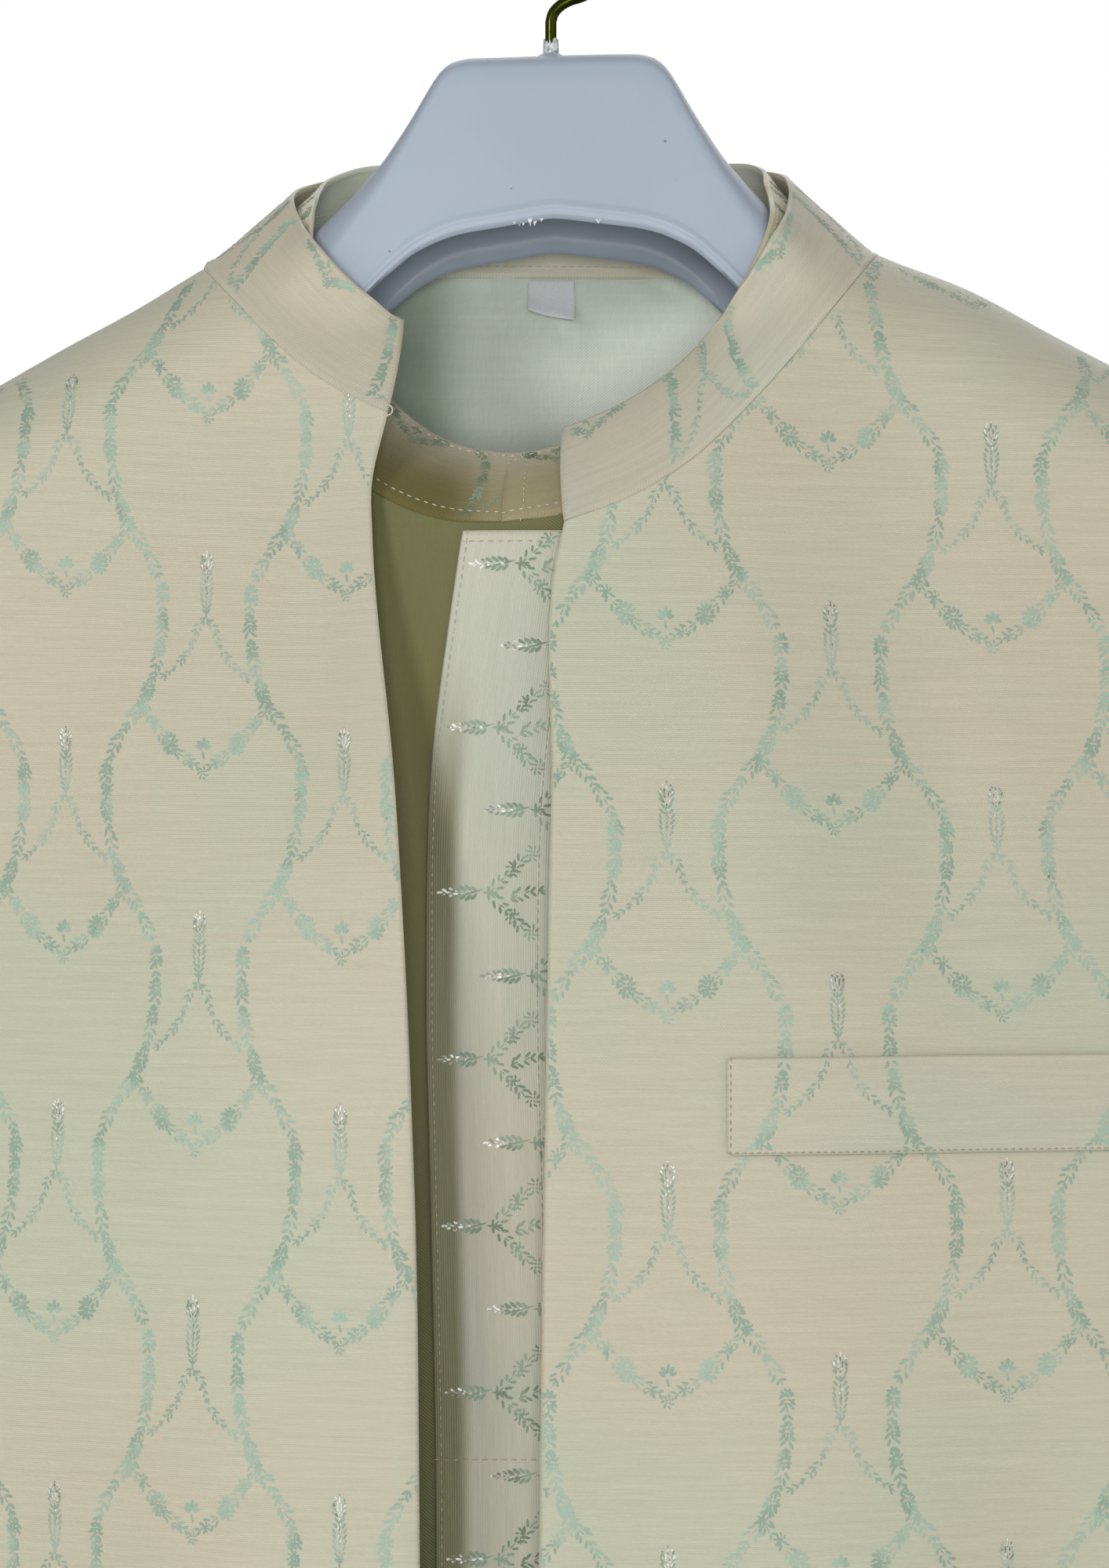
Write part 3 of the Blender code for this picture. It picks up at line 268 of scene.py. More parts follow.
@dataclass
class Layer:
    """A garment's cloth: its wall, how far it lies under the shoulder line, and its shape."""

    wall: float
    under: float
    slack: float
    ridge_depth: float
    depths: tuple[Level, ...]
    half_widths: tuple[Level, ...]
    folds: tuple[Fold, ...]
    creases: dict[Facing, tuple[Crease, ...]]

    def ridge(self, x: Any) -> Any:
        """Returns the height of the cloth's middle on top of the shoulders."""
        rest = smooth((np.abs(x) - REST_START_X) / (REST_FULL_X - REST_START_X))
        line = along([r.x for r in RIDGE], [r.z for r in RIDGE], x)
        return line - self.under - self.slack * (1.0 - rest)

    def fold_depth(self, x: Array, z: Array) -> Array:
        """Returns how far the hanging folds stand out."""
        total = np.zeros_like(x)
        for fold in self.folds:
            down = (fold.z_start - z) / (fold.z_start - fold.z_full)
            centre = fold.x_top + (fold.x_hem - fold.x_top) * np.clip(down, 0, 1.4)
            total += fold.depth * smooth(down) * np.exp(-(((x - centre) / fold.width) ** 2))
        return total

    def crease_depth(self, x: Array, z: Array, facing: Facing) -> Array:
        """Returns how far the creases of one side press in or stand out."""
        total = np.zeros_like(x)
        for crease in self.creases[facing]:
            way_x, way_z = crease.x_end - crease.x_start, crease.z_end - crease.z_start
            share = ((x - crease.x_start) * way_x + (z - crease.z_start) * way_z) / (way_x**2 + way_z**2)
            share = np.clip(share, 0.0, 1.0)
            off = np.hypot(x - crease.x_start - share * way_x, z - crease.z_start - share * way_z)
            total += crease.depth * np.sin(math.pi * share) * np.exp(-((off / crease.width) ** 2))
        return total

    def depth(self, x: Any, z: Any, facing: Facing) -> Any:
        """Returns the distance of the cloth's middle from the plane y = 0.

        Args:
            x: Places across, as seen from the front.
            z: Heights of the places.
            facing: Whether the panel is the front or the back.

        Returns:
            The distances, above 0 on both sides.
        """
        near_neck = smooth(np.abs(x) / NECK_BULGE_REACH)
        drop = np.maximum(self.ridge(x) - z, 0.0)
        round_drop = ROUNDING * (NECK_ROUNDING + (1.0 - NECK_ROUNDING) * near_neck)
        over = np.sqrt(1.0 - (1.0 - np.minimum(drop / round_drop, 1.0)) ** 2)
        bulge = NECK_BULGE * (1.0 - near_neck)
        swell = (by_height(self.depths, z) - self.ridge_depth - bulge) * smooth(drop / FALL)
        across = np.minimum(np.abs(x) / by_height(self.half_widths, z), 1.0)
        square = (1.0 - across**SHOULDER_POWER) ** (1.0 / DEPTH_POWER)
        wide = (1.0 - across**SIDE_POWER) ** (1.0 / DEPTH_POWER)
        loose = swell + self.fold_depth(x, z) + self.crease_depth(x, z, facing)
        spread = SLIT_SPREAD * smooth((SLIT_TOP_Z - z) / (SLIT_TOP_Z - KURTA_HEM_Z))
        return SEAM / 2 + over * (square * (self.ridge_depth + bulge) + wide * loose) + spread


def grid_normals(mid: Array, ring: bool = False) -> Array:
    """Returns unit normals of a grid of points; a ring's columns close on themselves."""
    if ring:
        across = np.roll(mid, -1, axis=1) - np.roll(mid, 1, axis=1)
    else:
        across = np.gradient(mid, axis=1)
    return unit(np.cross(across, np.gradient(mid, axis=0)))


@dataclass
class Grid:
    """A piece of cloth as rows and columns of points, with its wall and its flat coordinates."""

    mid: Array
    normal: Array
    thickness: float
    uv: Array
    ring: bool = False

    def face(self, side: float, lift: float = 0.0) -> Array:
        """Returns the points of the outer face for side 1, or of the inner face for side -1."""
        return self.mid + self.normal * side * (self.thickness / 2 + lift)

    def spans(self) -> tuple[float, float]:
        """Returns the longest row and the longest column."""
        closed = np.concatenate((self.mid, self.mid[:, :1]), axis=1) if self.ring else self.mid
        rows = np.linalg.norm(np.diff(closed, axis=1), axis=2).sum(axis=1)
        columns = np.linalg.norm(np.diff(self.mid, axis=0), axis=2).sum(axis=0)
        return float(rows.max()), float(columns.max())

    def reach(self) -> Array:
        """Returns the lowest and the highest flat coordinates."""
        flat = self.uv.reshape(-1, 2)
        return np.array((flat.min(axis=0), flat.max(axis=0)))

    def area(self) -> float:
        """Returns the area of the cloth's middle."""
        closed = np.concatenate((self.mid, self.mid[:, :1]), axis=1) if self.ring else self.mid
        first = closed[1:, 1:] - closed[:-1, :-1]
        second = closed[1:, :-1] - closed[:-1, 1:]
        return float(np.linalg.norm(np.cross(first, second), axis=2).sum() / 2)

    def chains(self) -> list[tuple[Array, Array]]:
        """Returns each free border as rows and columns, the first place named again at the end."""
        rows, columns = self.mid.shape[:2]
        if self.ring:
            j = np.arange(columns + 1)
            return [(np.zeros_like(j), j), (np.full_like(j, rows - 1), j[::-1])]
        i, j = np.arange(rows), np.arange(columns)
        low, high = np.zeros(columns - 1, int), np.full(columns - 1, rows - 1)
        near, far = np.zeros(rows - 1, int), np.full(rows - 1, columns - 1)
        return [(
            np.concatenate((low, i[:-1], high, i[:0:-1], [0])),
            np.concatenate((j[:-1], far, j[:0:-1], near, [0])),
        )]

    def quads(self) -> tuple[Array, Array]:
        """Returns the rows and columns of each face's corners."""
        rows, columns = self.mid.shape[:2]
        i, j = np.meshgrid(np.arange(rows - 1), np.arange(columns if self.ring else columns - 1), indexing="ij")
        i, j = i.ravel(), j.ravel()
        return np.stack((i, i, i + 1, i + 1), axis=1), np.stack((j, j + 1, j + 1, j), axis=1)

    def build(self, name: str, material: bpy.types.Material) -> bpy.types.Object:
        """Makes the closed wall with a rounded rim.

        Args:
            name: The piece's name.
            material: Its finish.

        Returns:
            The piece.
        """
        rows, columns = self.mid.shape[:2]
        count = rows * columns
        corner_i, corner_j = self.quads()
        flat_index = corner_i * columns + corner_j % columns
        uv = self.uv[corner_i, corner_j]
        faces = [flat_index, flat_index[:, ::-1] + count]
        maps = [uv, uv[:, ::-1]]
        points = [self.face(1).reshape(-1, 3), self.face(-1).reshape(-1, 3)]
        total = 2 * count
        for chain_i, chain_j in self.chains():
            inside_i = np.clip(chain_i, 1, rows - 2)
            inside_j = chain_j % columns if self.ring else np.clip(chain_j, 1, columns - 2)
            edge = self.mid[chain_i, chain_j % columns]
            out = unit(edge - self.mid[inside_i, inside_j])
            rim = (edge + out * self.thickness / 2 * RIM_REACH)[:-1]
            n = len(rim)
            outer = chain_i * columns + chain_j % columns
            around = total + np.arange(n + 1) % n
            here, after = slice(0, n), slice(1, n + 1)
            faces.append(np.stack((outer[after], outer[here], around[here], around[after]), axis=1))
            faces.append(np.stack((around[after], around[here], outer[here] + count, outer[after] + count), axis=1))
            border = self.uv[chain_i, chain_j]
            maps.append(np.stack((border[after], border[here], border[here], border[after]), axis=1))
            maps.append(maps[-1])
            points.append(rim)
            total += n
        points, faces, maps = np.concatenate(points), np.concatenate(faces), np.concatenate(maps)
        a, b, c, d = (points[faces[:, k]] for k in range(4))
        if (np.cross(c - a, d - b) * (a + b + c + d)).sum() < 0:
            faces, maps = faces[:, ::-1], maps[:, ::-1]
        return make_mesh(name, points, faces, material, maps)


def make_mesh(
    name: str,
    points: Array,
    faces: Union[Array, Sequence[Sequence[int]]],
    material: bpy.types.Material,
    maps: Optional[Array] = None,
    sharp: float = 60.0,
) -> bpy.types.Object:
    """Adds a mesh with its finish and, where given, its flat coordinates.

    Args:
        name: The piece's name.
        points: Its points.
        faces: The points of each face.
        material: Its finish.
        maps: Flat coordinates of each face's corners.
        sharp: Angle in degrees past which an edge stays sharp.

    Returns:
        The piece.
    """
    mesh = bpy.data.meshes.new(name)
    rows = faces.tolist() if isinstance(faces, np.ndarray) else faces
    mesh.from_pydata(np.asarray(points).tolist(), [], rows)
    if maps is not None:
        mesh.uv_layers.new(name="flat").uv.foreach_set("vector", np.ascontiguousarray(maps, np.float32).ravel())
    mesh.materials.append(material)
    mesh.shade_smooth()
    mesh.set_sharp_from_angle(angle=math.radians(sharp))
    obj = bpy.data.objects.new(name, mesh)
    bpy.context.scene.collection.objects.link(obj)
    return obj


class Value:
    """A shader socket that takes part in written sums, each of which adds a Math node."""

    def __init__(self, shader: "Shader", socket: bpy.types.NodeSocket) -> None:
        """Keeps the shader that the socket belongs to."""
        self.shader = shader
        self.socket = socket

    def _math(self, operation: str, *values: Union["Value", float]) -> "Value":
        """Adds a Math node."""
        return self.shader.node("ShaderNodeMath", {"operation": operation}, dict(enumerate(values)))

    def __add__(self, other: Union["Value", float]) -> "Value":
        """Adds."""
        return self._math("ADD", self, other)

    __radd__ = __add__

    def __sub__(self, other: Union["Value", float]) -> "Value":
        """Takes away."""
        return self._math("SUBTRACT", self, other)

    def __rsub__(self, other: Union["Value", float]) -> "Value":
        """Takes the value from another."""
        return self._math("SUBTRACT", other, self)

    def __mul__(self, other: Union["Value", float]) -> "Value":
        """Multiplies."""
        return self._math("MULTIPLY", self, other)

    __rmul__ = __mul__

    def sine(self) -> "Value":
        """Returns the sine."""
        return self._math("SINE", self)

    def stretched(self, low: float, high: float) -> "Value":
        """Returns 0 at low, 1 at high and a soft step between them."""
        settings = {"interpolation_type": "SMOOTHSTEP"}
        return self.shader.node("ShaderNodeMapRange", settings, {"Value": self, "From Min": low, "From Max": high})


class Shader:
    """Builds one node material."""

    def __init__(self, name: str) -> None:
        """Makes the material with its Principled shader."""
        self.material = bpy.data.materials.new(name)
        self.material.use_nodes = True
        self.tree = self.material.node_tree
        self.principled = self.tree.nodes["Principled BSDF"]

    def node(
        self, kind: str, settings: Optional[dict[str, Any]] = None, inputs: Optional[dict[Any, Any]] = None,
        output: Union[int, str] = 0,
    ) -> Value:
        """Adds a node.

        Args:
            kind: The node's type.
            settings: Its properties, set first.
            inputs: Values or links of its sockets, by name or number.
            output: The socket that is returned.

        Returns:
            The output as a value.
        """
        node = self.tree.nodes.new(kind)
        for key, value in (settings or {}).items():
            setattr(node, key, value)
        for key, value in (inputs or {}).items():
            self.put(node.inputs[key], value)
        return Value(self, node.outputs[output])

    def put(self, socket: bpy.types.NodeSocket, value: Any) -> None:
        """Sets or links one socket."""
        if isinstance(value, Value):
            self.tree.links.new(value.socket, socket)
        elif isinstance(value, tuple) and socket.type == "RGBA":
            socket.default_value = (*value, 1.0)
        else:
            socket.default_value = value

    def flat(self) -> tuple[Value, Value, Value]:
        """Returns the piece's own flat coordinates: the vector, across and up."""
        vector = self.node("ShaderNodeUVMap", {"uv_map": "flat"})
        split = self.node("ShaderNodeSeparateXYZ", None, {0: vector})
        return vector, split, Value(self, split.socket.node.outputs[1])

    def place(self) -> Value:
        """Returns object coordinates."""
        return self.node("ShaderNodeTexCoord", None, None, "Object")

    def position(self) -> tuple[Value, Value, Value]:
        """Returns the object coordinates one by one: aside, deep and high."""
        split = self.node("ShaderNodeSeparateXYZ", None, {0: self.place()})
        outputs = split.socket.node.outputs
        return split, Value(self, outputs[1]), Value(self, outputs[2])

    def scaled(self, vector: Value, across: float, up: float, deep: float = 1.0) -> Value:
        """Returns a vector multiplied along each way."""
        return self.node("ShaderNodeVectorMath", {"operation": "MULTIPLY"}, {0: vector, 1: (across, up, deep)})

    def noise(self, vector: Value, scale: float = 1.0, detail: float = 2.0, rough: float = 0.5) -> Value:
        """Returns noise from 0 to 1."""
        inputs = {"Vector": vector, "Scale": scale, "Detail": detail, "Roughness": rough}
        return self.node("ShaderNodeTexNoise", None, inputs)

    def mix(self, share: Any, first: Any, second: Any, blend: str = "MIX") -> Value:
        """Returns a mix of two colours."""
        settings = {"data_type": "RGBA", "blend_type": blend}
        node = self.node("ShaderNodeMix", settings, {"Factor": share}).socket.node
        self.put(node.inputs[6], first)
        self.put(node.inputs[7], second)
        return Value(self, node.outputs[2])

    def bump(self, height: Value, distance: float, strength: float = 1.0) -> Value:
        """Returns normals bent by a height."""
        return self.node("ShaderNodeBump", None, {"Height": height, "Distance": distance, "Strength": strength})

    def finish(self, **sockets: Any) -> bpy.types.Material:
        """Sets the Principled shader's sockets, named with _ for a space, and returns the material."""
        for name, value in sockets.items():
            self.put(self.principled.inputs[name.replace("_", " ")], value)
        return self.material


@dataclass(frozen=True)
class Silk:
    """Woven silk ground: fine weft ribs, uneven weft streaks and a slow change of tone, with painted shade where
    given.
    """

    name: str
    warm: Shade
    cool: Shade
    rib: float
    upright: bool = False
    flush: Shade = (0.57, 0.40, 0.34)
    roughness: float = 0.46
    twill: float = 0.0
    # Painted shade: two darker tones over a band's front, the darker at the wearer's right end.
    painted_front_shades: Optional[tuple[Shade, Shade]] = None
    # Painted shade: a darker tone along a strip's edge on the wearer's right.
    shaded_edge: Optional[Shade] = None

    def material(self) -> bpy.types.Material:
        """Returns the finish as a node material."""
        shader = Shader(self.name)
        vector, across, up = shader.flat()
        if self.upright:
            across, up = up, across
        pair = shader.node("ShaderNodeCombineXYZ", None, {0: across, 1: up})
        fine = shader.noise(shader.scaled(pair, 70.0, 2300.0), detail=1.0)
        coarse = shader.noise(shader.scaled(pair, 22.0, 620.0), detail=2.0)
        slub = shader.noise(shader.scaled(pair, 9.0, 260.0), detail=3.0)
        tone = shader.noise(vector, 7.5, 3.0, 0.55)
        grain = shader.noise(shader.scaled(pair, 900.0, 900.0), detail=1.0)
        ribs = (up * (2 * math.pi / self.rib)).sine()
        lines = ((up + across * 1.15) * (2 * math.pi / 0.00105)).sine()
        ground = shader.mix(tone.stretched(0.38, 0.64), self.warm, self.cool)
        ground = shader.mix(slub.stretched(0.62, 0.80) * 0.20, ground, self.flush)
        # Painted shade over the band's front, the darker tone on the wearer's right and the lighter beside it.
        if self.painted_front_shades is not None:
            aside, deep, _ = shader.position()
            front = shader.mix(aside.stretched(-0.030, -0.010), *self.painted_front_shades)
            ground = shader.mix(1.0 - deep.stretched(-0.038, -0.004), ground, front)
        # Painted shade along the edge on the wearer's right, from a little below the top downwards.
        if self.shaded_edge is not None:
            edge = (1.0 - up.stretched(-0.0112, -0.0062)) * (1.0 - across.stretched(-0.085, -0.030))
            ground = shader.mix(edge * 0.92, ground, self.shaded_edge)
        light = 0.80 + fine * 0.16 + coarse * 0.16 + grain * 0.06 + ribs * 0.022 + lines * (0.018 + self.twill)
        shade = shader.node("ShaderNodeCombineColor", None, {0: light, 1: light, 2: light})
        colour = shader.mix(1.0, ground, shade, "MULTIPLY")
        height = ribs * 0.5 + coarse * 1.2 + fine * 0.8 + lines * (0.25 + 4 * self.twill)
        return shader.finish(
            Base_Color=colour, Roughness=self.roughness - 0.10 + coarse * 0.20,
            Normal=shader.bump(height, 0.00007, 0.55), Sheen_Weight=0.16, Sheen_Roughness=0.45,
            Specular_IOR_Level=0.42,
        )


@dataclass(frozen=True)
class Twill:
    """Plain twill: fine slanting lines over a smooth silk tone.

    The kurta's has painted shade in the front opening, and inside the back neck a painted shadow on the wearer's
    right with painted light beside it.
    """

    name: str
    warm: Shade
    cool: Shade
    pitch: float = 0.0011
    roughness: float = 0.50
    # Painted shade: two dark tones for the front opening.
    opening: Optional[tuple[Shade, Shade]] = None
    # Painted shadow and light inside the back neck: the dark tone on the wearer's right, the pale tone beside it.
    inside: Optional[tuple[Shade, Shade]] = None

    def material(self) -> bpy.types.Material:
        """Returns the finish as a node material."""
        shader = Shader(self.name)
        vector, across, up = shader.flat()
        lines = ((up * 1.25 + across) * (2 * math.pi / self.pitch)).sine()
        yarn = shader.noise(shader.scaled(vector, 1500.0, 160.0), detail=1.0)
        weft = shader.noise(shader.scaled(vector, 30.0, 700.0), detail=2.0)
        tone = shader.noise(vector, 6.0, 3.0, 0.55).stretched(0.36, 0.66)
        ground = shader.mix(tone, self.warm, self.cool)
        if self.opening is not None and self.inside is not None:
            aside, deep, high = shader.position()
            # Painted shade over the front opening below the collar.
            middle = aside.stretched(-0.110, -0.070) * (1.0 - aside.stretched(0.030, 0.070))
            painted_opening_shade = middle * high.stretched(-0.760, -0.560) * (1.0 - deep.stretched(-0.012, -0.004))
            ground = shader.mix(painted_opening_shade, ground, shader.mix(tone, *self.opening))
            # Painted shadow on the wearer's right inside the back neck, painted light beside it.
            neck = high.stretched(-0.330, -0.240) * deep.stretched(0.004, 0.012)
            ground = shader.mix(neck, ground, shader.mix(aside.stretched(-0.038, -0.020), *self.inside))
        light = 0.86 + lines * 0.035 + yarn * 0.12 + weft * 0.14
        shade = shader.node("ShaderNodeCombineColor", None, {0: light, 1: light, 2: light})
        return shader.finish(
            Base_Color=shader.mix(1.0, ground, shade, "MULTIPLY"), Roughness=self.roughness - 0.05 + weft * 0.14,
            Normal=shader.bump(lines * 0.7 + weft + yarn * 0.6, 0.00007, 0.6), Sheen_Weight=0.22,
            Sheen_Roughness=0.40, Specular_IOR_Level=0.45,
        )


@dataclass(frozen=True)
class FigureYarn:
    """Yarn of the woven figure: floating threads, silky or metallic."""

    name: str
    dark: Shade
    light: Shade
    roughness: float
    metallic: float = 0.0
    grain: float = 90.0

    def material(self) -> bpy.types.Material:
        """Returns the finish as a node material."""
        shader = Shader(self.name)
        place = shader.place()
        threads = shader.noise(shader.scaled(place, 260.0, 260.0, 3600.0), detail=1.0)
        tone = shader.noise(place, self.grain, 1.0).stretched(0.40, 0.60)
        share = threads * 0.5 + tone * 0.7 - 0.1
        return shader.finish(
            Base_Color=shader.mix(share, self.dark, self.light), Roughness=self.roughness + threads * 0.12,
            Metallic=self.metallic, Normal=shader.bump(threads, 0.00008, 0.6), Sheen_Weight=0.15,
            Specular_IOR_Level=0.45,
        )


@dataclass(frozen=True)
class Moulded:
    """Moulded grey plastic: satin, with tiny dark specks and a faint flow in its tone."""

    name: str
    base: Shade
    speck: Shade = (0.05, 0.045, 0.04)
    roughness: float = 0.40

    def material(self) -> bpy.types.Material:
        """Returns the finish as a node material."""
        shader = Shader(self.name)
        place = shader.place()
        flow = shader.noise(place, 14.0, 3.0, 0.5)
        orange = shader.noise(place, 900.0, 2.0)
        cells = shader.node("ShaderNodeTexVoronoi", None, {"Vector": place, "Scale": 150.0}, "Distance")
        few = shader.noise(place, 55.0, 1.0)
        specks = (1.0 - cells.stretched(0.030, 0.075)) * few.stretched(0.50, 0.56)
        pale = tuple(min(1.0, c * 1.07) for c in self.base)
        tone = shader.mix(flow.stretched(0.35, 0.65), self.base, pale)
        return shader.finish(
            Base_Color=shader.mix(specks * 0.75, tone, self.speck), Roughness=self.roughness + orange * 0.10,
            Normal=shader.bump(orange, 0.00003, 0.5), Specular_IOR_Level=0.45, Coat_Weight=0.05,
        )


@dataclass(frozen=True)
class Wire:
    """Brassed steel wire with fine draw marks and a few dull places."""

    name: str
    bright: Shade
    dull: Shade

    def material(self) -> bpy.types.Material:
        """Returns the finish as a node material."""
        shader = Shader(self.name)
        place = shader.place()
        marks = shader.noise(shader.scaled(place, 2600.0, 2600.0, 240.0), detail=2.0)
        worn = shader.noise(place, 210.0, 3.0)
        return shader.finish(
            Base_Color=shader.mix(worn.stretched(0.45, 0.70), self.bright, self.dull), Metallic=1.0,
            Roughness=0.16 + worn * 0.18, Normal=shader.bump(marks, 0.00002, 0.5),
        )


@dataclass(frozen=True)
class Plain:
    """A plain finish with a fine fibre in it, for thread, tab and floor."""

    name: str
    dark: Shade
    light: Shade
    roughness: float = 0.75
    scale: float = 1400.0

    def material(self) -> bpy.types.Material:
        """Returns the finish as a node material."""
        shader = Shader(self.name)
        fibre = shader.noise(shader.place(), self.scale, 2.0)
        return shader.finish(
            Base_Color=shader.mix(fibre.stretched(0.3, 0.7), self.dark, self.light),
            Roughness=self.roughness - 0.05 + fibre * 0.1, Normal=shader.bump(fibre, 0.00005, 0.4),
        )


@dataclass
class Marks:
    """Small flat marks on the cloth: place, way, length and width of each."""

    u: Array
    v: Array
    angle: Array
    length: Array
    width: Array

    @classmethod
    def of(cls, rows: Sequence[Sequence[float]]) -> "Marks":
        """Makes marks from rows of u, v, angle, length and width."""
        table = np.array(rows, float).reshape(-1, 5)
        return cls(*table.T)

    def table(self) -> Array:
        """Returns the marks as rows."""
        return np.stack((self.u, self.v, self.angle, self.length, self.width), axis=1)

    def moved(self, u: float, v: float, across: float = 1.0) -> "Marks":
        """Returns the marks squeezed across and moved."""
        return Marks(self.u * across + u, self.v + v, self.angle, self.length, self.width)

    @staticmethod
    def joined(parts: Sequence["Marks"]) -> "Marks":
        """Joins several sets of marks."""
        return Marks.of(np.concatenate([part.table() for part in parts]))


class Sprigs:
    """Draws the figure's sprigs and flowers as marks, in millimetres across and down."""

    def __init__(self, seed: int) -> None:
        """Starts with an empty drawing and a fixed seed."""
        self.rows: list[list[float]] = []
        self.random = np.random.default_rng(seed)

    def mark(self, x: float, down: float, angle: float, length: float, width: float) -> None:
        """Adds one mark; its angle is in degrees from across, upwards."""
        turn, size = self.random.normal(0.0, 7.0), self.random.uniform(0.86, 1.12)
        self.rows.append([x, -down, math.radians(angle + turn), length * size, width * size])

    def spray(self, path: Sequence[Sequence[float]], pitch: float, leaf: float, spread: float,
              stem: bool = True) -> None:
        """Adds leaf pairs along a path.

        Args:
            path: Places that the path goes through.
            pitch: Distance between pairs.
            leaf: A leaf's length.
            spread: How far the leaves' middles stand off the path.
            stem: Whether the path's own thread shows between the pairs.
        """
        way = lengths(np.array(path, float))[-1]
        shares = (np.arange(max(int(way / pitch), 1)) + 0.5) * pitch / way
        places, ahead = trace(path, shares), trace(path, np.minimum(shares + 0.01, 1.0))
        for k, (here, then) in enumerate(zip(places, ahead)):
            course = math.degrees(math.atan2(-(then[1] - here[1]), then[0] - here[0]))
            wave = 0.85 + 0.35 * math.sin(1.3 * k)
            for hand in (-1, 1):
                lean = math.radians(course + hand * 90)
                shift = self.random.uniform(-0.25, 0.25) * pitch
                x = here[0] + wave * spread * math.cos(lean) + shift * math.cos(math.radians(course))
                down = here[1] - wave * spread * math.sin(lean) - shift * math.sin(math.radians(course))
                self.mark(x, down, course + hand * 40, leaf * (0.7 + 0.3 * wave), leaf * 0.36)
            if stem and k % 2 == 0:
                self.mark(here[0], here[1], course, pitch * 1.2, 0.38)

    def flower(self, x: float, down: float, across: float, high: float, petals: int = 9) -> None:
        """Adds an oval flower of narrow petals round a small heart."""
        size = (across + high) / 2
        for reach, length, width, count in ((0.36, 0.30, 0.13, petals), (0.15, 0.20, 0.10, 4)):
            for k in range(count):
                angle = 2 * math.pi * (k + 0.5) / count
                self.mark(x + reach * across * math.cos(angle), down - reach * high * math.sin(angle),
                          math.degrees(angle) + 24, length * size, width * size)

    def fan(self, x: float, down: float, size: float) -> None:
        """Adds an upright fan of petals on a short stem."""
        for angle, share in ((90, 1.0), (62, 0.9), (118, 0.9), (34, 0.72), (146, 0.72)):
            course = math.radians(angle)
            self.mark(x + size * 0.5 * share * math.cos(course), down - size * 0.5 * share * math.sin(course),
                      angle, size * 0.62 * share, size * 0.22)
        self.mark(x, down + size * 0.25, 90, size * 0.5, size * 0.13)

    def marks(self, scale: float) -> Marks:
        """Returns the drawing as marks in metres."""
        drawn = Marks.of(self.rows)
        unit_size = 0.001 * scale
        return Marks(drawn.u * unit_size, drawn.v * unit_size, drawn.angle, drawn.length * unit_size,
                     drawn.width * unit_size)


